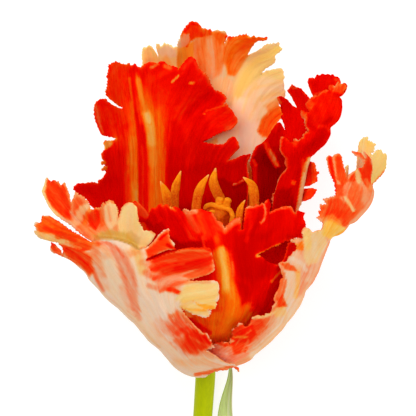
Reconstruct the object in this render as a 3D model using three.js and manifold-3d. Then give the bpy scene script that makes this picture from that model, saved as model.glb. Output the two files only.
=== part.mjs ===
// Parrot tulip, cut and laid down: one flower head of six ragged tepals,
// six stamens and a pistil on a stem with one clasping leaf.
// Millimetres, +Z up. The flower lies along Y with its head at +Y; the belly
// of the back tepal, the stem and the leaf touch the plane z = 0.

import * as THREE from 'three';
import Module from 'manifold-3d';

const wasm = await Module();
wasm.setup();
const { Manifold, Mesh: ManifoldMesh } = wasm;

// ---------------------------------------------------------------- dimensions
const TEPAL_THICKNESS = 0.9;      // solid thickness of a tepal
const TEPAL_STEP = 4.2;           // facet size on a tepal
const BELLY_FLOOR = 1.0;          // the back tepal lies flat where it rests
const HEAD_TILT = 28;             // degrees, flower axis above the horizontal
const RECEPTACLE = [0, 0, 14.2];  // centre of the receptacle
const STEM_RADIUS = 2.9;
const STEM_CENTRE_Z = 3.45;       // height of the lying stem's centre line
const FILAMENT_RADIUS = 0.75;
const LEAF_THICKNESS = 0.8;
const ORIGIN = [1.3, -42.83, 0.55]; // moved to the foot of the bounding box

// Tepal tables. A tepal is made of sheets z = f(x, y). Each sheet has its
// outline (x, y), its pins (x, y, z), and the seams where it folds over into
// the next sheet: [width of the rounding, points (x, y, z) of the fold].
const SHEETS = {
  B: {
    outline: [
      [-18.26, 87.1], [-17.78, 91.49], [-15.45, 91.5], [-13.54, 88.37], [-13.97, 92.42], [-12.55, 91.39],
      [-11.95, 92.04], [-8.2, 91.19], [-6.97, 95.2], [-4.35, 98.26], [5.52, 96.01], [6.4, 94.37],
      [5.25, 91.8], [6.98, 94.36], [12.17, 94.96], [17.93, 93.8], [14.24, 92.2], [12.3, 89.19],
      [18.26, 92.17], [21.41, 92.37], [22.59, 90.82], [20.62, 89.23], [20.38, 87], [16.13, 83.25],
      [22.11, 84.93], [23.13, 82.61], [23.4, 77.26], [21.43, 75.03], [22.93, 71.83], [18.64, 64.62],
      [23.14, 54.27], [23.44, 46.84], [21.66, 36.43], [7.72, 7.17], [2.34, 0.94], [-2.41, 0.94],
      [-10.47, 9.58], [-17.03, 20.02], [-22.09, 31.95], [-24.13, 43.87], [-24.09, 55.74], [-21, 77.83],
    ],
    pins: [
      [-16.19, 87.97, 18], [-0.03, 88.03, 17], [13.2, 87.38, 18], [10.18, 93.43, 24], [16.51, 93.16, 28],
      [21.73, 91.13, 28], [22.72, 81.77, 24], [23.4, 77.54, 21], [16.89, 63.76, 10.8], [20.93, 69.85, 15],
      [-4.36, 97.72, 29], [-0.02, 96.28, 25], [4.94, 95.22, 23.5], [-7.3, 92.78, 25], [-4.42, 90.78, 20],
      [-16.05, 91.1, 24], [-11.68, 91.39, 24], [-9.73, 88, 17.5], [-0.03, 76.49, 11.5], [10.33, 76.43, 13],
      [-13.34, 76.41, 13.5], [-0.04, 64.75, 7], [10.39, 64.73, 8], [-13.45, 64.72, 8.2], [-22.24, 70.51, 12.8],
      [-23.8, 55.75, 10.5], [-23.25, 43.86, 9], [-13.51, 52.84, 5], [-0.04, 52.86, 3.2], [13.41, 52.83, 5.5],
      [21.35, 58.42, 10.3], [23.15, 52.78, 10], [23.13, 42.38, 10.5], [-0.05, 40.85, 0.2], [-13.57, 40.85, 2],
      [-20.92, 31.34, 7.5], [13.45, 40.86, 3.5], [19.9, 31.96, 9], [-0.05, 28.79, -0.3], [-10.58, 28.81, 0.9],
      [10.48, 28.81, 1], [15.77, 21.5, 7.5], [-16.44, 20, 7.5], [-11.07, 11.06, 7.5], [-0.05, 16.79, 1.4],
      [8.95, 15.39, 4], [11.29, 11.65, 7.5], [-0.04, 5.03, 6.3], [-6.3, 5.12, 8], [6.22, 5.11, 7.8],
      [-0.04, 0.65, 10.5], [-2.41, 1.08, 10.2], [2.34, 1.08, 10.2],
    ],
    seams: [],
  },
  A: {
    outline: [
      [-27.5, 85.55], [-25.57, 86.86], [-19.6, 85.67], [-12, 87.12], [-7.92, 84.81], [-3.81, 88.37],
      [0.86, 83.11], [2.91, 78.59], [5.84, 77.59], [5.85, 75.29], [9.66, 69.69], [7.92, 67.7],
      [-0.92, 64], [5.59, 63.38], [8.51, 65.35], [10.27, 62.71], [6.8, 58.72], [13.24, 59.5],
      [12.1, 57.18], [13.01, 49.8], [10.7, 34.92], [4.43, 12.59], [-0.63, 2.95], [-3, 3.22],
      [-9.84, 10.6], [-29.06, 38.01], [-31.23, 44.46], [-33.42, 45.33], [-37.7, 49.93], [-36.61, 51.38],
      [-31.49, 51.74], [-28.95, 54.39], [-28.91, 55.4], [-30.13, 55.43], [-28.6, 56.71], [-30.18, 57.66],
      [-29.36, 58.12], [-29.5, 63.49], [-26.39, 64.67], [-29.93, 65.66], [-31.88, 73.75], [-28.93, 76.12],
      [-26.59, 74.24], [-23.83, 73.85], [-28.78, 78],
    ],
    pins: [
      [-29.45, 75.64, 31], [-24.94, 76.12, 20], [-19.18, 76.27, 16.5], [-13.31, 76.34, 15], [-7.39, 76.27, 16.5],
      [-1.51, 76.38, 14], [2.92, 76.32, 15.5], [6.42, 76.12, 20], [-27.51, 84.99, 29], [-23.41, 84.8, 22],
      [-19.02, 85.39, 22], [-13.19, 86, 21.5], [-7.92, 84.24, 21.5], [-4.4, 87.66, 23], [-0.32, 83.69, 21],
      [-30.45, 68.52, 28], [-26.41, 67.33, 20], [-18.65, 67.52, 14], [-11.6, 67.6, 11.5], [-5.06, 67.52, 13.8],
      [0.85, 67.55, 12.8], [4.99, 68.96, 15], [9.07, 69.71, 19], [0.26, 64.29, 13], [9.69, 63, 17],
      [-29.87, 59.24, 28], [-25.57, 58.55, 18.8], [-18.72, 58.7, 11.4], [-11.66, 58.76, 8.2], [-4.5, 58.75, 9],
      [2.05, 58.75, 8.6], [7.97, 59.29, 11.5], [12.66, 59.22, 15], [-37.43, 50.5, 33], [-32.09, 49.12, 24],
      [-27.4, 49.76, 17], [-20.82, 49.81, 10.6], [-13.47, 49.83, 6.8], [-6.02, 49.84, 6], [1.45, 49.84, 6.2],
      [8.9, 49.82, 8.6], [12.72, 49.8, 11.5], [-30.67, 42.71, 23], [-26.6, 39.44, 14.8], [-20.88, 39.4, 8.8],
      [-13.51, 39.37, 5.2], [-4.54, 39.37, 3.9], [4.45, 39.37, 4.5], [11.58, 39.4, 8.5], [-25.07, 32.68, 16.5],
      [-19.38, 31.96, 9.2], [-12.02, 30.39, 4.7], [-1.54, 30.37, 3.7], [9.21, 30.43, 6.8], [-16.95, 21.02, 11.2],
      [-9.01, 19.94, 5.6], [-0.04, 19.9, 4.4], [6.23, 19.99, 7.2], [-10.44, 12.37, 10.2], [-4.52, 11.03, 6.8],
      [3.54, 11.11, 8.6], [-5.09, 5.81, 9.8], [-0.04, 5.78, 9.2], [-1.81, 2.67, 12], [-3, 3.22, 11.3],
      [-0.33, 3.1, 11.7],
    ],
    seams: [],
  },
  C: {
    outline: [
      [39.31, 77.5], [38.25, 76.15], [38.88, 73.41], [38.06, 70.02], [35.67, 67.43], [35.59, 65.53],
      [34.3, 62.75], [30.46, 59.12], [29.88, 57.68], [31.49, 57.35], [32.69, 54.64], [32.47, 52.51],
      [29.42, 50.81], [32.21, 49.64], [27.25, 45.04], [25.41, 33.65], [22.28, 25.68], [12.91, 10.06],
      [4.7, 2.76], [2.04, 2.23], [9.21, 21.49], [12.19, 31.93], [13.97, 42.37], [13.58, 59.26],
      [15.34, 62.79], [21.72, 69.73], [23.51, 67.41], [20.98, 76.54], [22.74, 76.7], [26.94, 73.77],
      [24.02, 78.85], [25.29, 80.53], [30.85, 75.62], [31.52, 76.72], [29.81, 81.53], [33.81, 83.2],
      [37.94, 82.12], [38.68, 79.99], [40.16, 79.49],
    ],
    pins: [
      [30.38, 81.51, 29], [34.68, 82.62, 30], [37.94, 80.68, 34], [39.9, 79.23, 40], [31.09, 77.02, 26],
      [36.07, 77.08, 31], [38.47, 75.81, 40], [24.76, 78.86, 24], [27.71, 77.45, 23], [21.86, 76.26, 23.5],
      [26.36, 73.77, 20], [32, 72.99, 25], [35.97, 72.09, 33], [38.88, 73.41, 43], [37.8, 69.75, 42],
      [22.25, 72.6, 20], [27.84, 68.81, 19.5], [32.16, 67.65, 28], [35.62, 66.69, 40], [21.73, 69.15, 18],
      [18.87, 64.84, 14.5], [23.54, 64.49, 16.5], [29.21, 62.88, 22], [34.3, 62.75, 38], [20.66, 61.6, 14],
      [15.64, 62.2, 13.8], [13.89, 57.2, 12.2], [19.25, 57.22, 11.2], [25.04, 58.03, 15.5], [29.89, 58.26, 34],
      [32.14, 54.79, 35], [32.47, 52.22, 34], [28.32, 50.24, 30], [31.65, 49.35, 33], [14.22, 49.81, 10.4],
      [19.28, 49.81, 10.2], [24.17, 49.77, 15], [27.52, 45.91, 28], [13.97, 40.88, 7.8], [19.29, 40.89, 9.6],
      [23.55, 40.92, 16], [26.44, 41.55, 26], [11.89, 31.93, 7.2], [16.92, 31.97, 9.4], [21.53, 32.05, 14.5],
      [24.86, 33.04, 21], [9.8, 22.39, 7.4], [14.52, 22.48, 10.5], [20.27, 23.28, 17.5], [5.91, 12.62, 9.2],
      [9.74, 12.47, 12.4], [14.97, 13.28, 17.5], [3.23, 5.3, 11.4], [5.89, 5.39, 13], [8.52, 6.73, 16],
      [2.04, 2.23, 12.1], [3.22, 2.13, 12.9],
    ],
    seams: [[0, [
      [39.31, 77.5, 40.41], [38.25, 76.15, 38.87], [38.88, 73.41, 43], [38.06, 70.02, 42.51], [35.67, 67.43, 39.18],
      [35.59, 65.53, 40.69], [34.3, 62.75, 38], [30.46, 59.12, 34.05], [29.88, 57.68, 34.1], [25.41, 36.27, 21.88],
    ]]],
  },
  C_flap: {
    outline: [
      [25.41, 36.27], [29.88, 57.68], [30.46, 59.12], [34.3, 62.75], [35.59, 65.53], [35.67, 67.43],
      [38.06, 70.02], [38.88, 73.41], [38.25, 76.15], [39.31, 77.5], [40.07, 79.42], [38.06, 80.53],
      [35.25, 78.85], [35.46, 77.5], [31.34, 76.37], [29.1, 74.13], [29.78, 71.4], [27.72, 72.18],
      [29.21, 66.3], [27.8, 64.31], [24.31, 63.34], [22.43, 64.89], [21.86, 63.45], [21.58, 61.16],
      [23.2, 58.78], [23.49, 55.92], [21.31, 53.39], [19.36, 47.64], [18.88, 37.48], [21.74, 35.18],
    ],
    pins: [
      [38.03, 79.93, 43], [39.76, 79.11, 42.5], [35.48, 77.95, 43], [37.02, 76.39, 46], [31.31, 75.77, 41],
      [33.82, 74.32, 48], [36.87, 73.16, 49], [28.5, 71.82, 40], [31.82, 70.64, 48.5], [35.74, 69.78, 49],
      [28.71, 66.63, 42], [31.85, 67, 48], [34.15, 65.34, 47], [25.69, 63.87, 39], [29.09, 63.66, 46.5],
      [32.55, 62, 45], [22.41, 64.01, 34], [22.4, 59.68, 34.5], [26.36, 60.33, 44], [30.08, 59.78, 43],
      [23.23, 55.93, 35.5], [26.17, 55.27, 41.5], [28.78, 54.72, 40], [20.47, 50.81, 31.5], [23.72, 50.18, 38],
      [26.86, 49.6, 38], [19.37, 45.33, 29.5], [22.67, 45.03, 35], [26.11, 44.46, 35], [19.43, 38.07, 27],
      [22.82, 37.52, 30], [25.17, 37.51, 29],
    ],
    seams: [[4.56, [
      [39.31, 77.5, 40.41], [38.25, 76.15, 38.87], [38.88, 73.41, 43], [38.06, 70.02, 42.51], [35.67, 67.43, 39.18],
      [35.59, 65.53, 40.69], [34.3, 62.75, 38], [30.46, 59.12, 34.05], [29.88, 57.68, 34.1], [25.41, 36.27, 21.88],
    ]]],
  },
  F: {
    outline: [
      [-4.26, 6.1], [-2.6, 1.83], [-0.6, -0.66], [1.44, -1.08], [6.95, 0.34], [9.47, 3.7],
      [17.79, 13.41], [25.59, 28.34], [26.05, 31.73], [24.54, 35.1], [22.61, 33.99], [20.13, 28.9],
      [14.23, 31.71], [21.7, 35.41], [27.14, 35.93], [27.43, 43.09], [25.42, 43.64], [24.87, 42.55],
      [22.57, 44.87], [17.6, 42.97], [17.31, 46.75], [14.82, 45], [11.09, 44.46], [10.32, 38.51],
      [8.96, 38.51], [9.49, 41.76], [5.44, 39.06], [1.93, 43.12], [-1.02, 44.19], [-4.79, 44.33],
      [-5.88, 43.11], [-7.77, 44.73], [-12.13, 45.54], [-14.35, 44.46], [-15.39, 42.28], [-19.04, 46.23],
      [-20.18, 45.01], [-18.11, 31.27], [-12.99, 21.75], [-5.89, 10.73],
    ],
    pins: [
      [-0.6, -0.66, 25], [1.44, -1.08, 23], [3.78, -0.85, 22], [6.95, 0.34, 27], [9.47, 3.7, 35],
      [2.87, 1.28, 33], [4.84, 4.02, 40.5], [1.99, 7.16, 46], [8.51, 6.46, 43.5], [4.2, 13.22, 55],
      [-1.38, 11.71, 52.5], [-4.22, 8.63, 47], [11.2, 13.13, 53], [16.03, 14.4, 50], [-5.51, 19.01, 60.5],
      [-9.14, 18.91, 58], [4.17, 19.05, 61.5], [12.5, 18.95, 59], [19.33, 18.71, 52.6], [-1.34, 24.7, 66],
      [4.69, 24.73, 67], [12.41, 24.64, 64], [20.28, 24.48, 58.4], [23.67, 27.21, 56.6], [-10.94, 26.07, 66],
      [-15.06, 29.64, 66], [-6.78, 30.28, 70], [4.39, 30.31, 71.5], [12.33, 30.25, 69], [19.28, 28.51, 64.5],
      [24.06, 33.41, 61.5], [25.53, 29.49, 59], [-17.78, 35.69, 67], [-15.04, 38.98, 67], [-12.2, 35.76, 72],
      [-5.38, 35.78, 74], [3.28, 36.36, 77], [12.25, 35.78, 73.5], [19.15, 35.72, 69.5], [26.12, 36.77, 65.5],
      [-18.51, 45.28, 70], [-16.36, 42.82, 69], [-13.54, 43.37, 73], [-9.41, 44.46, 76.5], [-3.98, 43.39, 80],
      [0.59, 42.85, 80], [4.63, 40.14, 77.5], [9.49, 40.68, 77], [12.16, 44.46, 79], [15.37, 44.46, 80],
      [17.87, 45.27, 76.5], [23.14, 44.19, 72.5], [26.87, 42.82, 67.5], [27.14, 40.08, 67.5],
    ],
    seams: [[0, [
      [-4.26, 6.1, 42.1], [-2.6, 1.83, 32.49], [-0.6, -0.66, 25], [1.44, -1.08, 23], [6.95, 0.34, 27],
      [9.47, 3.7, 35],
    ]]],
  },
  F_back: {
    outline: [
      [-4.26, 6.1], [-2.6, 1.83], [-0.6, -0.66], [1.44, -1.08], [6.95, 0.34], [9.47, 3.7],
      [0.56, -0.69],
    ],
    pins: [
      [-4.28, 5.98, 40], [0.56, -0.73, 19.3], [2.91, -0.43, 19.3], [-1.19, 0.61, 22], [-2.61, 3.41, 30],
      [5.52, 0.99, 23.5], [7.5, 2.83, 30], [9.44, 3.82, 37], [-2.62, 1.56, 28], [-0.6, -0.67, 23],
      [1.44, -1, 21.5], [3.78, -0.76, 20.6], [6.97, 0.47, 24.5],
    ],
    seams: [[0.85, [
      [-4.26, 6.1, 42.1], [-2.6, 1.83, 32.49], [-0.6, -0.66, 25], [1.44, -1.08, 23], [6.95, 0.34, 27],
      [9.47, 3.7, 35],
    ]]],
  },
  D: {
    outline: [
      [46.68, 49.7], [47.05, 47.24], [45.11, 43.9], [38.86, 37.68], [35.36, 35.51], [30.62, 23.28],
      [28.68, 20.65], [27.32, 16.85], [22.29, 9.42], [13.41, 0.66], [10.22, -1.03], [2.91, -3.06],
      [-0.29, 1.05], [-0.57, 3.26], [2.26, 5.88], [5.9, 6.88], [7.04, 5.94], [7.83, 10.7],
      [9.19, 12.22], [11.43, 11.34], [13.07, 14.21], [18.08, 15.28], [21.81, 25.16], [20.3, 29.12],
      [25.26, 32.67], [24.63, 34.89], [23.22, 35.73], [26.87, 35.97], [26.54, 38.18], [27.89, 39],
      [29.29, 37.9], [32.07, 38.44], [32.29, 40.36], [30.57, 41.73], [31.36, 45.28], [33.02, 45.82],
      [32.14, 47.04], [35.7, 47.86], [32.67, 58.21], [35.91, 59.16], [36.75, 58.5], [38.67, 52.35],
      [43.19, 56.4], [39.76, 59.86], [43.83, 57.34], [43.05, 59.61], [45.44, 56.69],
    ],
    pins: [
      [1.43, -0.92, 34.5], [0, 1.71, 40], [0.29, 4.22, 44], [2.26, 5.27, 47.5], [4.84, 0.58, 40.1],
      [5.91, 6.28, 50.5], [7.1, 2.44, 42.6], [9.75, 11.65, 57], [11.18, 9.57, 54.5], [7.57, 9.19, 52.5],
      [13.08, 13.62, 57.5], [10.77, 4.25, 44.5], [15.84, 14.48, 58.2], [18.61, 16.44, 58.5], [15.48, 8.73, 49],
      [19.13, 19.27, 60], [20.74, 22.92, 61.8], [21.5, 26.01, 63.8], [20.58, 29.12, 67], [22.76, 31.05, 67.6],
      [25.24, 33.23, 67], [24.9, 35.99, 69], [26.81, 38.45, 69], [29.56, 37.9, 68.5], [30.35, 34.26, 63],
      [28.56, 30.05, 59.5], [26.46, 24.42, 56.5], [23.75, 18.77, 54.2], [19.93, 13.04, 51], [32.05, 38.99, 68],
      [31.13, 41.73, 70], [32.16, 46.64, 71.5], [35.72, 47.46, 71], [34.23, 43.37, 68], [35.34, 50.71, 73],
      [33.79, 57.42, 77], [36.49, 58.23, 77], [38.06, 53.15, 73], [40.14, 52.1, 70], [39.62, 48.01, 69.5],
      [42.8, 54.27, 71], [44.31, 56.41, 73], [40.33, 59.46, 76], [43.9, 58.81, 75], [45.58, 52.69, 66],
      [44.21, 48.85, 66], [41.47, 45.28, 66], [38.31, 41.71, 63.5], [35.83, 38.95, 63.5],
    ],
    seams: [[2.85, [
      [46.68, 49.7, 62], [47.05, 47.24, 56.44], [45.11, 43.9, 52], [38.86, 37.68, 46], [35.36, 35.51, 42.4],
      [30.62, 23.28, 37], [28.68, 20.65, 35.43], [27.32, 16.85, 33.5], [22.29, 9.42, 28.71], [13.41, 0.66, 22.74],
      [10.22, -1.03, 21.42], [2.91, -3.06, 19.5],
    ]]],
  },
  D_back: {
    outline: [
      [38.86, 37.68], [35.36, 35.51], [30.62, 23.28], [28.68, 20.65], [27.32, 16.85], [22.29, 9.42],
      [13.41, 0.66], [10.22, -1.03], [2.91, -3.06], [15.59, 10.28], [20.57, 16.5], [29.55, 34.21],
      [35.05, 38.67], [36.26, 43.88], [38.86, 42.75], [39.99, 40.9],
    ],
    pins: [
      [36.26, 43.6, 33], [38.87, 42.17, 38], [34.48, 40.4, 28], [32.07, 36.29, 23.5], [29.54, 33.63, 21],
      [36.12, 37.52, 30], [32.83, 32.25, 26], [27.26, 28.03, 19.5], [31.13, 26.99, 25], [24.36, 22.13, 18.3],
      [28.28, 21.71, 23.5], [20.56, 15.93, 17.5], [24.83, 15.81, 22], [15.58, 9.71, 16.6], [20.18, 9.92, 21],
      [10.88, 4.64, 15.6], [15.53, 5.12, 19], [6.46, 0.66, 15.6], [10.27, 0.92, 17.5], [4.1, -2.09, 16.4],
      [6.16, -1.47, 16.8], [2.91, -2.77, 17.3],
    ],
    seams: [[2.85, [
      [46.68, 49.7, 62], [47.05, 47.24, 56.44], [45.11, 43.9, 52], [38.86, 37.68, 46], [35.36, 35.51, 42.4],
      [30.62, 23.28, 37], [28.68, 20.65, 35.43], [27.32, 16.85, 33.5], [22.29, 9.42, 28.71], [13.41, 0.66, 22.74],
      [10.22, -1.03, 21.42], [2.91, -3.06, 19.5],
    ]]],
  },
  D_tips: {
    outline: [
      [39.61, 50.19], [38.33, 55.76], [39.52, 52.65], [40.65, 52.67], [41.98, 62.16], [43.61, 63.79],
      [46.19, 62.21], [45.04, 59.51], [47.43, 60.49], [49.44, 59.56], [49.49, 54.96], [44.32, 46.66],
      [41.4, 46.93],
    ],
    pins: [
      [39.61, 50.19, 69.6], [41.4, 46.93, 67.15], [44.32, 46.66, 64.35], [42.49, 49.12, 67.2], [38.74, 55.91, 70.6],
      [38.91, 53.19, 70], [41.38, 55.14, 67.5], [41.77, 60.28, 70], [43.62, 63.53, 71], [45.93, 61.67, 69],
      [47.44, 60.35, 67], [49.77, 58.48, 65], [48.2, 53.32, 60], [46.29, 50.56, 59.5], [44.76, 55.44, 66],
    ],
    seams: [],
  },
  E: {
    outline: [
      [-29.54, 35.5], [-25.03, 35.56], [-19.04, 33.44], [-16.38, 33.29], [-9.58, 38.71], [-7.74, 33.45],
      [-10.71, 33.08], [-15.34, 30.56], [-5.86, 33.45], [1.39, 33.45], [2.47, 27.74], [-4.84, 24.79],
      [3.29, 24.41], [3.04, 17.71], [1.13, 16.86], [-3.24, 19.22], [1.4, 16.29], [-0.24, 14.28],
      [-6.54, 17.35], [2.8, 5.63], [0.02, 4.9], [7.94, 0.4], [9.73, -2.05], [7.12, -1.08],
      [1.43, -3.12], [-1.49, -4.97], [-4.42, -4.49], [-8.79, -1.7], [-20.16, 11.64], [-28.5, 19.67],
      [-33.95, 26.63], [-39.14, 30.89], [-42.92, 33.07], [-42.41, 34.79], [-39.03, 31.67], [-40.57, 35.21],
      [-46.67, 37], [-46.85, 40.32], [-45.1, 40.61], [-45.08, 41.98], [-42.5, 41.99], [-32.63, 36.02],
    ],
    pins: [
      [-30.69, 34.94, 72], [-26.99, 35.27, 76], [-22.83, 34.77, 79], [-18.78, 33.17, 79.5], [-15.3, 33.69, 78.5],
      [-10.66, 38.03, 82], [-8.79, 35.08, 82], [-13.44, 31.51, 77.5], [-6.67, 32.9, 79.5], [-1.29, 33.19, 81],
      [1.66, 32.64, 80], [2.2, 29.38, 78.5], [-4.01, 28.24, 76], [0.04, 26.63, 76.5], [-2.67, 24.38, 73.5],
      [3.02, 23.85, 74], [3.57, 21.07, 72], [2.49, 17.71, 69.5], [-1.87, 18.8, 69.5], [0.58, 15.44, 67.5],
      [-2.98, 16.24, 67], [-6.27, 17.06, 67], [-4.65, 14.18, 64], [-1.08, 10.21, 61.5], [1.97, 6.67, 57.5],
      [-7.44, 11.26, 60.5], [-4.72, 7.12, 55.5], [-1.38, 5.3, 53], [1.97, 3.59, 52.5], [5.95, 0.32, 45],
      [9.43, -1.7, 38], [0.01, 1.48, 45.5], [-1.44, -1.97, 36], [-5.68, 0.7, 42], [-45.38, 41.16, 64],
      [-46.62, 37.83, 62], [-42.5, 41.44, 66], [-42.57, 36.49, 65], [-36.87, 37.35, 68.5], [-32.7, 33.55, 70],
      [-40.55, 35.35, 62], [-42.46, 33.35, 58], [-37.13, 32.9, 64], [-35.83, 30.94, 62.5], [-28.43, 32.53, 74],
      [-30.22, 27.41, 64.5], [-25.74, 29.81, 73.5], [-26.71, 24.06, 63], [-22.62, 24.8, 69.5], [-22.92, 19.86, 61],
      [-17.53, 28.24, 76], [-17.81, 19.21, 66], [-19.4, 15.6, 58.5], [-13.75, 14.97, 63], [-14.72, 10.53, 57],
      [-10.36, 5.5, 51.5], [-11.71, 19.87, 69], [-10.81, 24.92, 73.5], [-10.67, 15.92, 66], [-9.05, 2.3, 45],
      [-4.04, 21.61, 72],
    ],
    seams: [[3.13, [
      [-39.14, 30.89, 53], [-33.95, 26.63, 45.04], [-28.5, 19.67, 40.09], [-20.16, 11.64, 32.88], [-8.79, -1.7, 22.5],
      [-4.42, -4.49, 20], [-1.49, -4.97, 19.5], [1.43, -3.12, 36],
    ]], [0, [
      [-16.38, 33.29, 78.66], [-19.04, 33.44, 79.63], [-25.03, 35.56, 77.75], [-29.54, 35.5, 73.37],
    ]]],
  },
  E_back: {
    outline: [
      [1.43, -3.12], [-1.49, -4.97], [-4.42, -4.49], [-8.79, -1.7], [-20.16, 11.64], [-28.5, 19.67],
      [-33.95, 26.63], [-39.14, 30.89], [-37.79, 33.66], [-34.79, 34.4], [-31.17, 33.11], [-27.31, 29.5],
      [-13.97, 10.96], [-5.34, -1.85], [-3.85, -3.31],
    ],
    pins: [
      [-37.79, 33.66, 42], [-34.79, 34.4, 34], [-31.17, 33.11, 25], [-33.74, 29.47, 32], [-27.31, 29.5, 19.5],
      [-29.96, 25.86, 26], [-23.03, 23.52, 15.6], [-26.33, 21.07, 22], [-18.68, 17.52, 13], [-22.01, 16.03, 20],
      [-13.97, 10.96, 11.8], [-17.4, 10.31, 17], [-9.82, 5.04, 12], [-13.3, 4.64, 15.6], [-6.83, 0.71, 14],
      [-8.86, 0.28, 16.6], [-5.34, -1.86, 15.3], [-6.21, -2.93, 17], [-3.85, -3.33, 17.6], [-1.5, -4.11, 18.3],
      [0.56, -4, 18.6],
    ],
    seams: [[3.13, [
      [-39.14, 30.89, 53], [-33.95, 26.63, 45.04], [-28.5, 19.67, 40.09], [-20.16, 11.64, 32.88], [-8.79, -1.7, 22.5],
      [-4.42, -4.49, 20], [-1.49, -4.97, 19.5], [1.43, -3.12, 36],
    ]]],
  },
  E_up: {
    outline: [
      [-16.38, 33.29], [-19.04, 33.44], [-25.03, 35.56], [-29.54, 35.5], [-32.89, 36.5], [-42.84, 44.46],
      [-44.87, 48.89], [-43.96, 52.76], [-42.81, 51.65], [-40.16, 51.89], [-39.6, 50.51], [-38.69, 51.46],
      [-36.69, 45.83], [-35.2, 48.83], [-31.13, 43.91], [-25.45, 46.49], [-23.84, 44.46], [-23.94, 40.65],
      [-22.45, 44.46], [-19.1, 45.67], [-17.27, 39.86], [-13.39, 37.2],
    ],
    pins: [
      [-44.27, 51.66, 60], [-39.88, 51.07, 64], [-40.58, 46.67, 61.5], [-43.41, 45.84, 60.5], [-39.39, 42.53, 63],
      [-36.99, 45.56, 66.5], [-35.21, 48.28, 69], [-33.07, 45.28, 68], [-34.35, 40.61, 64.5], [-31.43, 43.37, 68],
      [-29.95, 39.78, 64.5], [-27.47, 44.46, 71], [-25.2, 45.82, 73.5], [-23.95, 40.1, 70.5], [-26.5, 37.89, 68],
      [-20.77, 45, 76], [-18.61, 42.57, 76], [-20.39, 37.92, 71], [-13.95, 37.46, 79], [-15.34, 35.01, 77],
      [-17.05, 33.61, 73.5], [-19.3, 34.11, 71], [-23.19, 35.72, 69], [-27.39, 36.23, 66.5], [-30.93, 36.24, 67],
    ],
    seams: [[1.42, [
      [-16.38, 33.29, 78.66], [-19.04, 33.44, 79.63], [-25.03, 35.56, 77.75], [-29.54, 35.5, 73.37],
    ]]],
  },
};

// node name, sheets, sheets facing down, extra sheets joined by overlap, colour
const TEPALS = [
  ['tepal_outer_back', ['B'], [], [], 0xe8a860],
  ['tepal_outer_left', ['E', 'E_up', 'E_back'], ['E_back'], [], 0xe8b8a0],
  ['tepal_outer_right', ['D', 'D_back'], ['D_back'], ['D_tips'], 0xe89878],
  ['tepal_inner_left', ['A'], [], [], 0xd81408],
  ['tepal_inner_right', ['C', 'C_flap'], ['C_flap'], [], 0xc81008],
  ['tepal_inner_front', ['F', 'F_back'], ['F_back'], [], 0xd82008],
];

// ------------------------------------------------------------------- helpers
function solve(a, b) {
  const n = b.length;
  for (let i = 0; i < n; i++) {
    let p = i;
    for (let r = i + 1; r < n; r++) if (Math.abs(a[r][i]) > Math.abs(a[p][i])) p = r;
    [a[i], a[p]] = [a[p], a[i]];
    [b[i], b[p]] = [b[p], b[i]];
    for (let r = i + 1; r < n; r++) {
      const f = a[r][i] / a[i][i];
      if (f === 0) continue;
      for (let c = i; c < n; c++) a[r][c] -= f * a[i][c];
      b[r] -= f * b[i];
    }
  }
  for (let i = n - 1; i >= 0; i--) {
    for (let c = i + 1; c < n; c++) b[i] -= a[i][c] * b[c];
    b[i] /= a[i][i];
  }
  return b;
}

// Smooth surface through pins: a thin-plate spline.
function spline(pins) {
  const n = pins.length;
  const kernel = (x, y) => { const q = x * x + y * y; return q > 1e-12 ? 0.5 * q * Math.log(q) : 0; };
  const a = [];
  const b = [];
  for (let i = 0; i < n; i++) {
    const row = pins.map((p) => kernel(pins[i][0] - p[0], pins[i][1] - p[1]));
    a.push([...row, 1, pins[i][0], pins[i][1]]);
    b.push(pins[i][2]);
  }
  a.push([...pins.map(() => 1), 0, 0, 0], [...pins.map((p) => p[0]), 0, 0, 0], [...pins.map((p) => p[1]), 0, 0, 0]);
  b.push(0, 0, 0);
  const c = solve(a, b);
  return (x, y) => {
    let z = c[n] + c[n + 1] * x + c[n + 2] * y;
    for (let i = 0; i < n; i++) z += c[i] * kernel(x - pins[i][0], y - pins[i][1]);
    return z;
  };
}

function nearest(line, x, y) {
  let best = Infinity;
  let z = 0;
  for (let i = 0; i + 1 < line.length; i++) {
    const [ax, ay, az] = line[i];
    const [bx, by, bz] = line[i + 1];
    const l = (bx - ax) ** 2 + (by - ay) ** 2;
    const t = Math.min(1, Math.max(0, ((x - ax) * (bx - ax) + (y - ay) * (by - ay)) / l));
    const d = Math.hypot(x - ax - t * (bx - ax), y - ay - t * (by - ay));
    if (d < best) { best = d; z = az + t * (bz - az); }
  }
  return [best, z];
}

function heightOf(sheet) {
  const f = spline(sheet.pins);
  return (x, y) => {
    let z = f(x, y);
    for (const [width, line] of sheet.seams) {
      const [d, zs] = nearest(line, x, y);
      if (width > 0) {
        const t = Math.min(1, d / width);
        z = zs + (z - zs) * Math.sqrt(1 - (1 - t) ** 2);
      } else if (d < 1e-3) z = zs;
    }
    return Math.max(z, BELLY_FLOOR);
  };
}

const cross2 = (a, b, c) => (b[0] - a[0]) * (c[1] - a[1]) - (b[1] - a[1]) * (c[0] - a[0]);

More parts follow.
